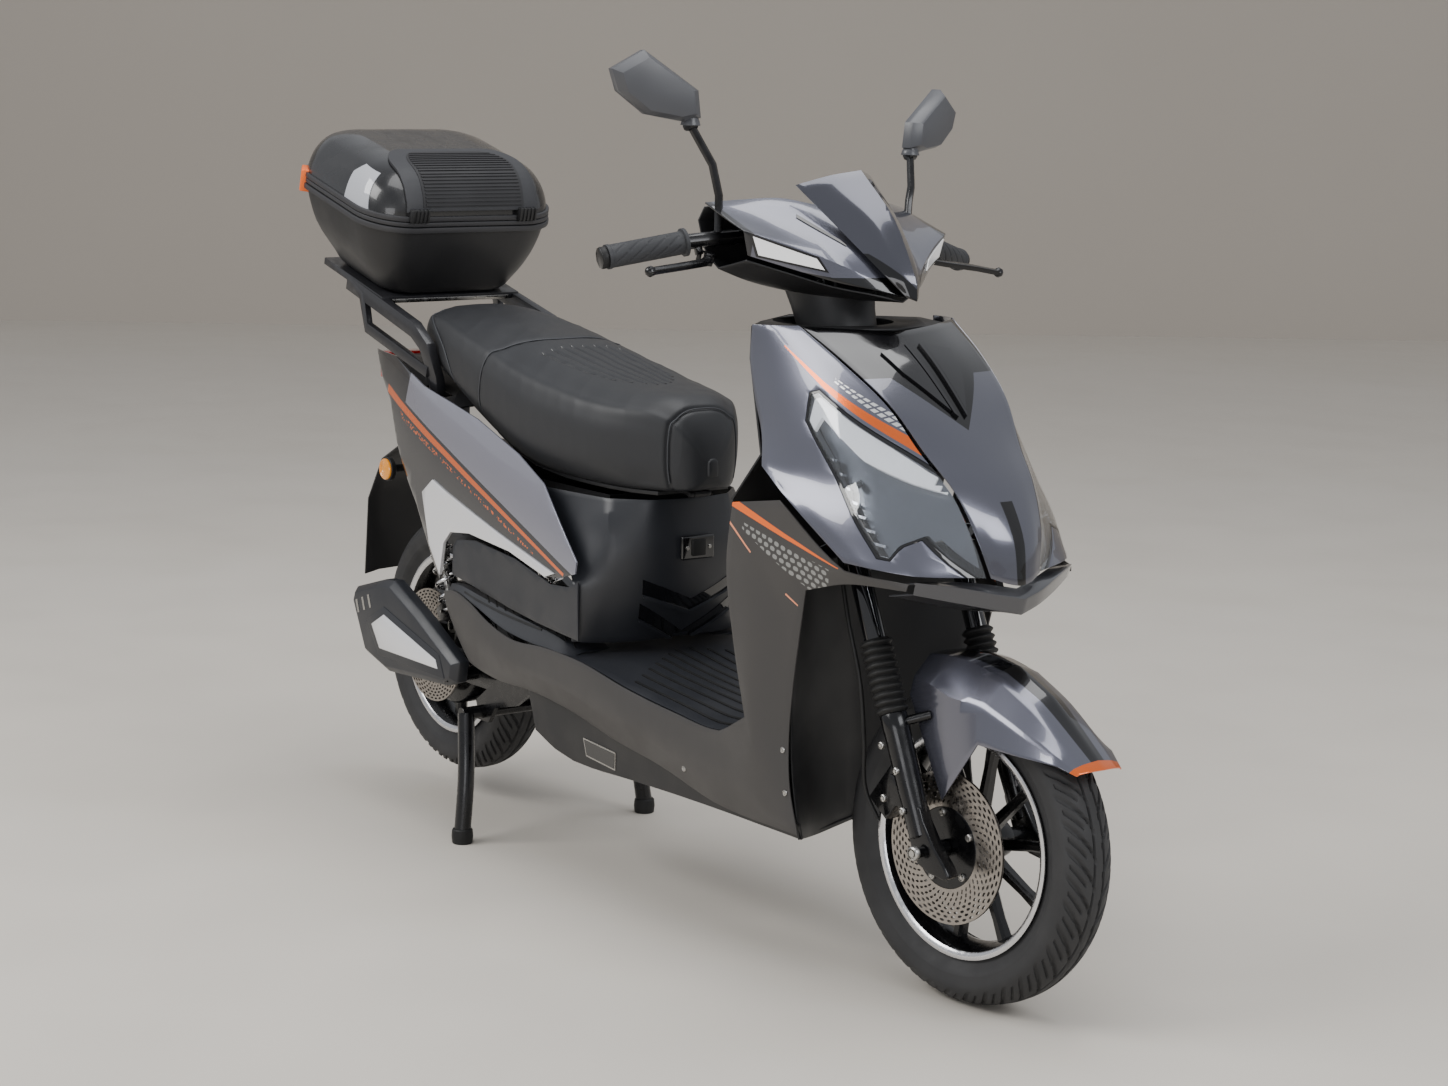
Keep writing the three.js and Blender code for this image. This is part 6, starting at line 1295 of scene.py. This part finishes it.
glass = laid(coverTree, fromFront(lampOutline), rearward, 0.0016, 0.0016)
twins("positionLamp", glass, "steering", lightGuide, matrix=turned)
slit = laid(coverTree, fromFront([(-0.09, 1.078), (-0.052, 1.04), (-0.055, 1.037), (-0.094, 1.073)]),
            rearward, 0.0012, 0.001)
twins("coverSlit", slit, "steering", glossBlack, matrix=turned)

gripInner, gripOuter = place((0.975, -1.19, 1.034)), place((0.938, -1.745, 1.01))
gripWay = (gripOuter - gripInner).normalized()
gripLong = (gripOuter - gripInner).length


grip = {"steps": 130, "sides": 90, "radius": 0.0165, "flange": 0.0035, "endLip": 0.001, "groove": 0.0009,
        "rows": 7, "twist": 5.5}


def gripMesh():
    rings = []
    steps, sides = grip["steps"], grip["sides"]
    for i in range(steps + 1):
        s = i / steps
        flange = grip["flange"] if s < 0.045 else 0
        flange += grip["endLip"] if s > 0.96 else 0
        ring = []
        for k in range(sides):
            turn = k / sides * math.tau
            wave = (k / sides * grip["rows"] + s * grip["twist"]) % 1
            groove = grip["groove"] if 0.1 < s < 0.93 and wave < 0.22 and (s * 4) % 1 > 0.12 else 0
            radius = grip["radius"] + flange - groove
            ring.append(gripInner + gripWay * (s * gripLong) + spokeOf(gripWay, turn) * radius)
        rings.append(ring)
    return ringed(rings)


gripRight, gripLeft = gripMesh(), gripMesh()
finished("gripRight", gripRight, "throttle", gripRubber, ["grip_right"], 50, turned)
finished("gripLeft", gripLeft, "steering", gripRubber, ["grip_left"], 50, turned @ flip)
end = gripOuter + gripWay * 0.0003
plug = spun([(0, 0), (0.0150, 0), (0.0155, 0.001), (0.0155, 0.008), (0.0145, 0.0095), (0.006, 0.0095),
             (0.005, 0.006), (0, 0.006)], end, gripWay, 40)
twins("barEnd", plug, "steering", softRubber, matrix=turned)

mirrorHeadShares = [
    [-0.064, 0.01], [-0.037, 0.048], [0.382, 0.1], [0.615, 0.072], [0.562, 0.042], [0.35, 0.012],
    [0.06, 0.004],
]
mirror = {"toe": math.radians(18), "edge": 0.005, "glass": 0.0008, "sunk": 0.0083}
mirrors = {"Right": (-1, (0.96, 1.125, 1.197)), "Left": (1, (0.948, 1.11, 1.168))}
for name, (side, ball) in mirrors.items():
    at = place((ball[0], ball[1] * side, ball[2]))
    outline = [(y * body["halfWidth"] * side, h) for y, h in mirrorHeadShares]
    shrunk = grown(outline if side > 0 else outline[::-1], -mirror["edge"])
    toe = Matrix.Rotation(side * mirror["toe"], 3, "Z")
    points = [at + toe @ Vector((-mirror["sunk"], y, z)) for y, z in shrunk]
    glass = outlined(points, toe @ Vector((-mirror["glass"], 0, 0)))
    rides = "mirror_head_right" if side < 0 else "mirror_head_left"
    finished(f"mirrorGlass{name}", glass, rides, mirrorGlass, matrix=turned)
print("handlebar is in")

# Fork: tubes, boots and lowers
fork = {"side": 0.101, "lead": 0.036, "tube": 0.0155, "tubeFoot": 0.152, "tubeHead": 0.4517, "stem": 0.015,
        "axle": 0.0075, "axleHalf": 0.123, "spacer": 0.012, "boots": 10, "pitch": 0.0106,
        "bootEnds": (0.196, 0.298), "hose": 0.0032, "boltSide": 0.1205}
tubes, lowers = [], []
for side in (-1, 1):
    y = side * fork["side"]
    tubes.append(rodOf(onFork(fork["tubeFoot"], fork["lead"], y),
                       onFork(fork["tubeHead"], fork["lead"], y), fork["tube"], 48))
    profile = [(0.0162, 0.1938), (0.019, 0.1938), (0.0195, 0.193), (0.0195, 0.172), (0.0188, 0.168),
               (0.0188, 0.09), (0.0172, 0.05), (0.0165, 0.022), (0.012, 0.0195)]
    lowers.append(spun(profile, onFork(0, fork["lead"], y), steerAxis, 48))
stem = rodOf(onFork(0.424, 0, 0), onFork(0.812, 0, 0), fork["stem"])
forkTurn = Matrix((steerFront, across, steerAxis)).transposed().to_4x4()
clamp = blockOf(Vector((-0.024, -0.125, 0.424)), Vector((0.06, 0.125, 0.452)), 0.006, 4)
bmesh.ops.transform(clamp, matrix=Matrix.Translation(steerFoot) @ forkTurn, verts=clamp.verts)
upper = gathered(clamp, stem, *tubes)
finished("forkTubes", upper, "steering", glossBlack, ["fork_upper"], matrix=turned)
footOutline = [(-17, 60), (-16, 10), (-12, -14), (4, -30), (30, -46), (41, -44), (38, -28), (26, 2),
               (17, 40), (17, 60)]
for side in (-1, 1):
    y = side * fork["side"] - 0.011
    points = [onFork(z / 1000, fork["lead"] + x / 1000, y) for x, z in footOutline]
    foot = outlined(points, across * 0.022)
    soften(foot, 0.003, 20, 3)
    lowers.append(foot)
axleAt = onFork(0, fork["lead"], 0)
axleEnds = [axleAt + across * (side * fork["axleHalf"]) for side in (-1, 1)]
lowers.append(rodOf(*axleEnds, fork["axle"]))
for start, end in ((-0.1, -0.0633), (0.0483, 0.1)):
    lowers.append(rodOf(axleAt + across * start, axleAt + across * end, fork["spacer"]))
for side in (-1, 1):
    start = onFork(0.18, fork["lead"] + 0.0146, side * 0.0914)
    lowers.append(rodOf(start, onFork(0.18, fork["lead"] + 0.044, side * 0.072), 0.007, 20))
finished("forkLowers", gathered(*lowers), "fork_slider", blackAlloy, ["fork_lower"],
         matrix=turned)
nuts = [boltAt(at, out, 0.0105, 0.006) for at, out in zip(axleEnds, (-across, across))]
for height, ahead in ((0.115, 0.036), (0.155, 0.02), (0.085, 0.0), (0.06, 0.03)):
    nuts.append(boltAt(onFork(height, ahead, -fork["boltSide"]), -across, 0.0055, 0.004))
finished("forkBolts", gathered(*nuts), "fork_slider", brightSteel, matrix=turned)
bootProfile = []
count = fork["boots"] * 2
for i in range(count * 4 + 1):
    t = i / 4
    swell = 0.5 - 0.5 * math.cos(math.pi * t)
    bootProfile.append((0.0186 + 0.0046 * swell ** 0.8, 0.1943 + t * fork["pitch"] / 2))
bootProfile = [(0.0176, 0.1943)] + bootProfile + [(0.0176, bootProfile[-1][1])]
for name, side in pair:
    mesh = spun(bootProfile, onFork(0, fork["lead"], side * fork["side"]), steerAxis, 48)
    boot = finished(f"forkBoot{name}", mesh, None, softRubber,
                    [f"fork_boot_{name.lower()}"], 60, turned)
    low, high = [onFork(height, fork["lead"], side * fork["side"]) for height in fork["bootEnds"]]
    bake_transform(boot)

# Front fender with its dark stripe and orange tip
fenderShares = [
    [[1.3, 0, 0.487], [1.3, 0.175, 0.484], [1.301, 0.33, 0.455], [1.303, 0.37, 0.43]],
    [[1.345, 0, 0.495], [1.342, 0.19, 0.488], [1.34, 0.36, 0.45], [1.342, 0.38, 0.36]],
    [[1.385, 0, 0.496], [1.382, 0.19, 0.486], [1.378, 0.37, 0.44], [1.377, 0.38, 0.295]],
    [[1.437, 0, 0.486], [1.437, 0.19, 0.474], [1.437, 0.34, 0.435], [1.437, 0.375, 0.384]],
    [[1.5, 0, 0.455], [1.5, 0.19, 0.442], [1.5, 0.31, 0.412], [1.502, 0.35, 0.381]],
    [[1.562, 0, 0.405], [1.564, 0.17, 0.397], [1.566, 0.26, 0.388], [1.568, 0.29, 0.378]],
    [[1.6, 0, 0.374], [1.597, 0.13, 0.373], [1.594, 0.2, 0.371], [1.592, 0.225, 0.368]],
]
fenderFinish = metallicPaint("fenderFinish", tints["grey"], 0.22)
fenderMiddle = turned @ place((1.4, 0, 0.4))
reach = fenderFinish.along(fenderMiddle, turned.to_3x3() @ forward)
off = fenderFinish.math("ABSOLUTE", fenderFinish.along(fenderMiddle, spanWay))
dark = fenderFinish.math("LESS_THAN", off, fenderFinish.ranged(reach, -0.1, 0.2, 0.034, 0.012))
fenderFinish.painted(dark, (0.012, 0.012, 0.014))
beyond = fenderFinish.along(turned @ place((1.582, 0, 0.37)), turned.to_3x3() @ Vector((0.92, 0, -0.38)))
fenderFinish.painted(fenderFinish.math("GREATER_THAN", beyond, 0.0), tints["orange"])
fender = shellOf(bothSides(fenderShares), 6, middle=onFork(0, fork["lead"], 0), fold=(7, 15), edge=0.0008)
finished("frontFender", fender, "fork_slider", fenderFinish, ["front_fender"],
         matrix=turned)
fenderTree = skinOf(bothSides(fenderShares), middle=onFork(0, fork["lead"], 0))
for i, (x, z) in enumerate(((1.339, 0.358), (1.352, 0.328))):
    hit = fenderTree.ray_cast(place((x, -2, z)), across)
    if hit[0]:
        twins(f"fenderBolt{i}", boltAt(hit[0], hit[1] if hit[1].y < 0 else -hit[1], 0.0065, 0.0035),
              "fork_slider", brightSteel, matrix=turned)
hosePath = [onFork(0.062, -0.052, -0.092), onFork(0.1, -0.056, -0.098), onFork(0.17, -0.028, -0.106),
            onFork(0.25, -0.004, -0.11), onFork(0.34, 0.004, -0.112), onFork(0.43, 0.012, -0.108)]
hose = tubeOf(hosePath, fork["hose"], 12)
hosePiece = finished("brakeHose", hose, None, softRubber, (), 60, turned)
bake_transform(hosePiece)
print("fork is in")

# Wheels
wheel = {"grooves": 36, "deep": 0.0042, "flank": 0.03, "rib": 0.004, "shoulder": 0.052, "lineAt": 0.0085,
         "lineHalf": 0.0016, "branch": 0.085, "spokes": 10, "steps": 720}
tyreProfile = [(0.2265, 0), (0.22446, 0.0176), (0.21653, 0.03344), (0.20045, 0.044), (0.1812, 0.04268),
               (0.1604, 0.0303), (0.1524, 0.0286)]


def tyreMesh(centre, axis):
    half = line([Vector((r, s, 0)) for r, s in tyreProfile[:5]], 11, (60, 120))
    half = half + line([Vector((r, s, 0)) for r, s in tyreProfile[4:]], 3, (60, 120))[1:]
    run = [0]
    for a, b in zip(half, half[1:]):
        run.append(run[-1] + (b - a).length)
    inside = [Vector((0.156, 0.024, 0)), Vector((0.183, 0.035, 0)), Vector((0.211, 0.026, 0)),
              Vector((0.2175, 0, 0))]
    points = [(p.x, p.y, s) for p, s in zip(half, run)]
    full = [(r, -s, -d) for r, s, d in points[::-1][:-1]] + points
    ring = [(r, s, None) for r, s, _ in inside] + [(r, -s, None) for r, s, _ in inside[::-1][1:]]
    full = full + ring
    mesh = bmesh.new()
    rings = []
    steps = wheel["steps"]
    for k in range(steps):
        turn = k / steps * math.tau
        out = spokeOf(axis, turn)
        row = []
        for r, s, d in full:
            push = 0
            if d is not None:
                away = abs(d)
                if wheel["rib"] < away < wheel["shoulder"]:
                    bend = 2.1 * (away / 0.05) ** 0.62
                    phase = (turn / math.tau * wheel["grooves"] + bend + (0.5 if d > 0 else 0)) % 1
                    gap = abs(phase - 0.5)
                    width = 0.11 if away < 0.03 else 0.125
                    flank = min(max((width - gap) / wheel["flank"], 0), 1)
                    push = wheel["deep"] * flank * min((away - wheel["rib"]) / wheel["rib"], 1)
                    second = abs((phase + 0.5) % 1 - 0.5)
                    if 0.022 < away < 0.046:
                        flank = min(max((wheel["branch"] - second) / wheel["flank"], 0), 1)
                        push = max(push, wheel["deep"] * 0.8 * flank)
                    if away > 0.044:
                        push *= max((wheel["shoulder"] - away) / 0.008, 0)
                if abs(away - wheel["lineAt"]) < wheel["lineHalf"]:
                    push = max(push, wheel["deep"] * 0.9)
            row.append(mesh.verts.new(centre + axis * s + out * (r - push)))
        rings.append(row)
    for one, two in zip(rings, rings[1:] + rings[:1]):
        for i in range(len(one)):
            j = (i + 1) % len(one)
            mesh.faces.new((one[i], two[i], two[j], one[j]))
    bmesh.ops.recalc_face_normals(mesh, faces=mesh.faces)
    return mesh


# Spokes: reach from the axle, half width and half depth; then the outline they share
spokeStations = [(0.026, 0.0105, 0.013), (0.06, 0.0078, 0.0112), (0.11, 0.0066, 0.0095),
                 (0.141, 0.0085, 0.0105)]
spokeOutline = [(-1, -0.55), (-0.55, -1), (0.55, -1), (1, -0.55), (1, 0.55), (0.55, 1), (-0.55, 1),
                (-1, 0.55)]


def rimMesh(centre, axis, hub):
    barrel = [(0.1600, -0.0355), (0.1600, -0.0318), (0.152, -0.029), (0.146, -0.016), (0.1435, -0.009),
              (0.1435, 0.009), (0.146, 0.016), (0.152, 0.029), (0.16, 0.0318), (0.16, 0.0355),
              (0.1545, 0.0355), (0.149, 0.03), (0.1405, 0.012), (0.138, 0), (0.1405, -0.012),
              (0.149, -0.03), (0.1545, -0.0355), (0.16, -0.0355)]
    parts = [spun(barrel, centre, axis, 120), spun(hub, centre, axis, 64)]
    for k in range(wheel["spokes"]):
        turn = k / wheel["spokes"] * math.tau
        out = spokeOf(axis, turn)
        sideways = axis.cross(out)
        rows = []
        for reach, wide, deep in spokeStations:
            at = centre + out * reach
            rows.append([at + sideways * (a * wide) + axis * (b * deep) for a, b in spokeOutline])
        parts.append(ringed(rows))
    return gathered(*parts)


disc = {"thick": 0.004, "holes": 44, "rows": 7, "bolts": 5, "boltIn": 0.012}


# A disc with rows of holes: every cell is a patch with its own hole
def discMesh(centre, axis, inner, outer, thick, count=disc["holes"], rows=disc["rows"]):
    mesh = bmesh.new()
    step = math.tau / count
    radii = [inner + (outer - 0.002 - inner) * (k / rows) ** 0.92 for k in range(rows + 1)]

    def point(radius, turn):
        return centre + spokeOf(axis, turn) * radius

    for j in range(rows):
        low, high = radii[j], radii[j + 1]
        mid = (low + high) / 2
        for i in range(count):
            turn = (i + 0.5 * (j % 2)) * step
            rim = [(low, 0), (low, 0.5), (low, 1), (mid, 1), (high, 1), (high, 0.5), (high, 0), (mid, 0)]
            outside = [mesh.verts.new(point(r, turn + t * step)) for r, t in rim]
            long = (high - low) * (0.4 if j < 3 else 0.32)
            wide = mid * step * (0.2 if j < 3 else 0.31)
            tilt = 0.55 if j < 3 else 0
            inside = []
            for k in range(8):
                way = -3 * math.pi / 4 + k * math.pi / 4
                a, b = long * math.sin(way), wide * math.cos(way)
                spin = turn + 0.5 * step + (b + a * tilt) / mid
                inside.append(mesh.verts.new(point(mid + a, spin)))
            for k in range(8):
                mesh.faces.new((outside[k], outside[(k + 1) % 8], inside[(k + 1) % 8], inside[k]))
    for a, b in ((inner - 0.004, inner), (outer - 0.002, outer)):
        for i in range(count * 2):
            t = i * step / 2
            after = t + step / 2
            mesh.faces.new([mesh.verts.new(point(r, u)) for r, u in ((a, t), (a, after), (b, after), (b, t))])
    bmesh.ops.remove_doubles(mesh, verts=mesh.verts, dist=0.00005)
    bmesh.ops.recalc_face_normals(mesh, faces=mesh.faces)
    mesh.normal_update()
    return thicken(mesh, thick)


def makeWheel(end, centre, axis, hub, rotor, rides, matrix):
    tyre = tyreMesh(centre, axis)
    finished(f"{end}Tyre", tyre, rides, tyreRubber, [f"{end}_tyre"], 40, matrix)
    node = "front_rim" if end == "front" else "rear_hub_wheel"
    finished(f"{end}Rim", rimMesh(centre, axis, hub), rides, blackAlloy, [node], 32,
             matrix)
    lips = []
    for side in (-1, 1):
        profile = [(0.1602, side * 0.0362), (0.1602, side * 0.0338), (0.1572, side * 0.0338),
                   (0.1535, side * 0.0352), (0.1495, side * 0.0325), (0.149, side * 0.0335),
                   (0.1528, side * 0.0368), (0.157, side * 0.037), (0.1602, side * 0.0362)]
        lips.append(spun(profile, centre, axis, 160))
    finished(f"{end}RimLip", gathered(*lips), rides, silverLip, (), 50, matrix)
    inner, outer, at = rotor
    rotorMesh = discMesh(centre + axis * (at - disc["thick"] / 2), axis, inner, outer, disc["thick"])
    finished(f"{end}Disc", rotorMesh, rides, discSteel, (), 30, matrix)
    bolts = []
    for k in range(disc["bolts"]):
        turn = k / disc["bolts"] * math.tau + 0.3
        spotAt = centre + spokeOf(axis, turn) * (inner - disc["boltIn"]) + axis * (at - 0.0035)
        bolts.append(boltAt(spotAt, -axis, 0.0055, 0.003))
    finished(f"{end}DiscBolts", gathered(*bolts), rides, brightSteel, (), 35, matrix)


frontHub = [(0.0083, -0.0625), (0.0565, -0.0625), (0.0575, -0.0615), (0.0575, -0.0585), (0.04, -0.0545),
            (0.032, -0.05), (0.0285, -0.02), (0.0285, 0.02), (0.03, 0.03), (0.026, 0.048), (0.0083, 0.048),
            (0.0083, -0.0625)]
rearHub = [(0.0088, -0.0725), (0.0525, -0.0725), (0.0535, -0.0715), (0.0535, -0.0685), (0.036, -0.06),
           (0.036, -0.046), (0.06, -0.043), (0.098, -0.04), (0.105, -0.036), (0.108, -0.03), (0.108, 0.03),
           (0.105, 0.036), (0.098, 0.04), (0.034, 0.046), (0.026, 0.062), (0.0088, 0.062),
           (0.0088, -0.0725)]
makeWheel("front", axleAt, across, frontHub, (0.0615, 0.107, -0.06), "front_wheel", turned)
rearAxle = place((0, 0, 0.2745))
makeWheel("rear", rearAxle, across, rearHub, (0.0575, 0.1, -0.07), "rear_wheel", Matrix.Identity(4))
print("wheels are in")

# Swingarm covers with their silver insert, shock springs and the stand
swingCoverShares = [
    [-0.107, 0.349], [-0.098, 0.373], [0.003, 0.401], [0.035, 0.403], [0.125, 0.364], [0.253, 0.298],
    [0.245, 0.262], [0.211, 0.251], [0.015, 0.24], [-0.062, 0.261],
]
insertShares = [[-0.026, 0.319], [0.017, 0.342], [0.194, 0.294], [0.201, 0.279], [0.002, 0.28]]
swingCover = {"outer": 0.176, "inner": 0.146, "step": 0.011, "edging": 0.013, "proud": 0.0015,
              "insertProud": 0.0028, "slotProud": 0.0006}
shell = outlined(fromSide(swingCoverShares, -swingCover["outer"]),
                 across * (swingCover["outer"] - swingCover["inner"]))
face = home.y - swingCover["outer"]
rim = [e for e in shell.edges if all(abs(v.co.y - face) < 0.0001 for v in e.verts)]
rounded(shell, rim, swingCover["step"], 1)
soften(shell, 0.0018, 15, 2)
raised = fromSide(grown(insertShares, swingCover["edging"]), -swingCover["outer"] - swingCover["proud"])
frameEdge = outlined(raised, across * 0.004)
soften(frameEdge, 0.0012, 20, 2)
twins("swingCover", gathered(shell, frameEdge), "rear_arm", bluePlastic,
      "swingarm_cover")
silver = outlined(fromSide(insertShares, -swingCover["outer"] - swingCover["insertProud"]),
                  across * 0.003)
soften(silver, 0.0012, 20, 2)
twins("swingCoverInsert", silver, "rear_arm", silverPaint)
slots = []
for k in range(3):
    x, z = -0.086 + k * 0.021, 0.352 + k * 0.0075
    outline = [(x, z), (x + 0.006, z + 0.002), (x + 0.014, z - 0.02), (x + 0.008, z - 0.022)]
    slots.append(outlined(fromSide(outline, -swingCover["outer"] - swingCover["slotProud"]),
                          across * 0.002))
twins("swingCoverSlot", gathered(*slots), "rear_arm", brightSteel)

shockHead, shockFoot = place((0.048, 0, 0.572)), place((0.135, 0, 0.335))
shockWay = (shockFoot - shockHead).normalized()
shockLong = (shockFoot - shockHead).length
spring = {"turns": 7, "wire": 0.0036, "radius": 0.0178, "steps": 40, "side": 0.104, "cup": 0.034 + 0.0039}
for name, side in pair:
    off = across * (side * spring["side"])
    third = shockWay.cross(across)
    top, low = spring["cup"], shockLong - spring["cup"]
    path = []
    count = spring["turns"] * spring["steps"]
    for i in range(count + 1):
        t = i / count
        turn = i / spring["steps"] * math.tau
        path.append(shockHead + off + shockWay * (top + (low - top) * t)
                    + (across * math.cos(turn) + third * math.sin(turn)) * spring["radius"])
    coil = tubeOf(path, spring["wire"], 12, 1)
    piece = finished(f"shockSpring{name}", coil, None, chrome,
                     [f"shock_spring_{name.lower()}"], 60)
    start, end = shockHead + off + shockWay * top, shockHead + off + shockWay * low
    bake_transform(piece)
stand = {"tube": 0.014, "axle": 0.011, "axleHalf": 0.158 + 0.0098,
         "leg": [(0.262, 0.79, 0.212), (0.285, 0.86, 0.11), (0.293, 0.92, 0.017)]}
legs = []
for side in (-1, 1):
    points = [place((x, y * side, z)) for x, y, z in stand["leg"]]
    legs.append(tubeOf(points, stand["tube"], 28, 8, (8, 60)))
reach = across * stand["axleHalf"]
pivot = place((0.262, 0, 0.212))
legs.append(rodOf(pivot - reach, pivot + reach, stand["axle"], 28))
finished("standLegs", gathered(*legs), "stand", blackSteel, ["centre_stand"])
feet = []
for side in (-1, 1):
    foot = place((0.293, 0.92 * side, 0))
    feet.append(spun([(0, 0), (0.016, 0), (0.017, 0.001), (0.0182, 0.012), (0.0172, 0.023),
                      (0.0155, 0.025), (0, 0.025)], foot, upward, 36))
finished("standFeet", gathered(*feet), "stand", softRubber)
indicator = {"at": (-0.045, -0.635, 0.586), "stalkEnd": -0.3515, "stalk": 0.0068}
lampAt = place(indicator["at"])
stalkEnd = place((indicator["at"][0], indicator["stalkEnd"], indicator["at"][2]))
housing = spun([(0, 0), (0.0195, 0), (0.0209, 0.0012), (0.0209, 0.0085), (0.0197, 0.0098), (0, 0.0098)],
               lampAt, -across, 48)
twins("indicatorBody", gathered(housing, rodOf(stalkEnd, lampAt, indicator["stalk"], 28)), "frame",
      softRubber, "rear_indicator")
dome = [(0, 0.0098), (0.0185, 0.0098), (0.0185, 0.0122), (0.0172, 0.0138), (0.0145, 0.0143),
        (0.0138, 0.0136), (0.0105, 0.0148), (0.0098, 0.014), (0.006, 0.0149), (0.0052, 0.0142),
        (0, 0.0149)]
twins("indicatorLens", spun(dome, lampAt, -across, 48), "frame", amberLens)
print("rear end is in")


# The CAD pieces whose shape is right: softened edges and their finishes
def refined(name, finish, edge=0.0007, angle=38):
    work = bmesh.new()
    work.from_mesh(nodes[name].data)
    bmesh.ops.remove_doubles(work, verts=work.verts, dist=0.00002)
    bmesh.ops.dissolve_limit(work, angle_limit=math.radians(1), verts=work.verts, edges=work.edges)
    work.normal_update()
    if edge:
        soften(work, edge, angle, 2)
    owner = next(b for b, held in bodiesOf.items() if name in held)
    return finished(f"{name}Soft", work, owner, finish, [name], angle)


bodiesOf = frame["record"]["behaviour"]["bodies"]
slotOf = {part["node"]: part["material_slot"] for part in frame["record"]["subparts"]}
finishes = {
    "grey_paint": greyPaint, "silver_paint": silverPaint, "brown_plastic": sillPlastic,
    "blue_black_plastic": bluePlastic, "black_plastic": blackPlastic, "gloss_black": glossBlack,
    "clear_lens": clearLens, "red_lens": redLens, "amber_lens": amberLens, "seat_vinyl": seatVinyl,
    "tyre_rubber": tyreRubber, "soft_rubber": softRubber, "black_steel": blackSteel,
    "black_alloy": blackAlloy, "bright_steel": brightSteel, "cell_case": cellCase,
    "controller_case": blackAlloy,
}
ownFinish = {"mirror_right": mirrorShell, "mirror_left": mirrorShell, "grab_rail": railCoat}
replaced = set()
for piece in bpy.context.scene.objects:
    replaced.update(piece.get("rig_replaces", []))
plain = ["main_frame", "battery_pack", "controller", "underseat_tub"]
for name in sorted(nodes):
    if name in replaced:
        continue
    if name in plain:
        nodes[name].data.materials.clear()
        nodes[name].data.materials.append(finishes[slotOf[name]].made)
    else:
        refined(name, ownFinish.get(name, finishes[slotOf[name]]))
print("the other pieces are softened")

# Floor, lights and camera
view = {"at": (3.6236, -2.5425, 1.2903), "yaw": 2.5129318, "pitch": -0.1667453, "roll": 0.0144914,
        "lens": 70.75}
studio = {"floor": 16, "backAt": (-7.7, 5.6, 0), "backHalf": 13, "backHigh": 6, "sink": 0.01, "aim": 0.6}
groundFinish = Finish("groundFinish", (0.6, 0.56, 0.5), 0.6)
groundFinish.rough(groundFinish.noise(3, 4), 0.5, 0.7)
groundFinish.painted(groundFinish.ranged(groundFinish.noise(0.8, 4), 0.3, 0.7, 0, 0.5), (0.64, 0.6, 0.54))
ground = bmesh.new()
bmesh.ops.create_grid(ground, x_segments=1, y_segments=1, size=studio["floor"])
backFinish = Finish("backFinish", (0.5, 0.455, 0.4), 0.8)
backFinish.painted(backFinish.ranged(backFinish.noise(0.6, 2), 0.3, 0.7, 0, 0.4), (0.54, 0.495, 0.44))
back = bmesh.new()
middle = Vector(studio["backAt"])
reach = Vector((math.sin(view["yaw"]), -math.cos(view["yaw"]), 0)) * studio["backHalf"]
foot = [middle - reach - upward * studio["sink"], middle + reach - upward * studio["sink"]]
top = [middle + reach + upward * studio["backHigh"], middle - reach + upward * studio["backHigh"]]
back.faces.new([back.verts.new(p) for p in foot + top])
groundPiece = shown("ground", ground, groundFinish)
backPiece = shown("backdrop", back, backFinish)

lights = [
    ("keyLight", (-1.2, -3.6, 3.6), 3.2, 150, (1, 0.99, 0.97)),
    ("frontLight", (4.2, 0.8, 3.0), 2.6, 80, (0.97, 0.98, 1)),
    ("topLight", (0.3, 0.2, 4.2), 3.6, 90, (1, 1, 1)),
    ("lowLight", (3.0, -3.4, 0.9), 2.0, 26, (0.98, 0.98, 1)),
]
for name, spotAt, size, power, tint in lights:
    lightData = bpy.data.lights.new(name, "AREA")
    lightData.shape = "RECTANGLE"
    lightData.size = size
    lightData.size_y = size * 0.6
    lightData.energy = power
    lightData.color = tint
    light = bpy.data.objects.new(name, lightData)
    light.location = spotAt
    light.rotation_euler = (upward * studio["aim"] - Vector(spotAt)).to_track_quat("-Z", "Y").to_euler()
    bpy.context.scene.collection.objects.link(light)
world = bpy.data.worlds.new("studio")
world.use_nodes = True
sky = world.node_tree.nodes["Background"]
sky.inputs["Color"].default_value = (0.8, 0.82, 0.86, 1)
sky.inputs["Strength"].default_value = 0.72
bpy.context.scene.world = world

cameraData = bpy.data.cameras.new("camera")
cameraData.lens = view["lens"]
cameraData.sensor_width = 36
camera = bpy.data.objects.new("camera", cameraData)
way = Vector((math.cos(view["pitch"]) * math.cos(view["yaw"]),
              math.cos(view["pitch"]) * math.sin(view["yaw"]), math.sin(view["pitch"])))
rightWay = way.cross(upward).normalized()
upWay = rightWay.cross(way)
tilt, lean = math.cos(view["roll"]), math.sin(view["roll"])
sideAxis = rightWay * tilt + upWay * lean
upAxis = upWay * tilt - rightWay * lean
cameraTurn = Matrix((sideAxis, upAxis, -way)).transposed().to_4x4()
camera.matrix_world = Matrix.Translation(view["at"]) @ cameraTurn
bpy.context.scene.collection.objects.link(camera)
bpy.context.scene.camera = camera

print("all pieces are in")
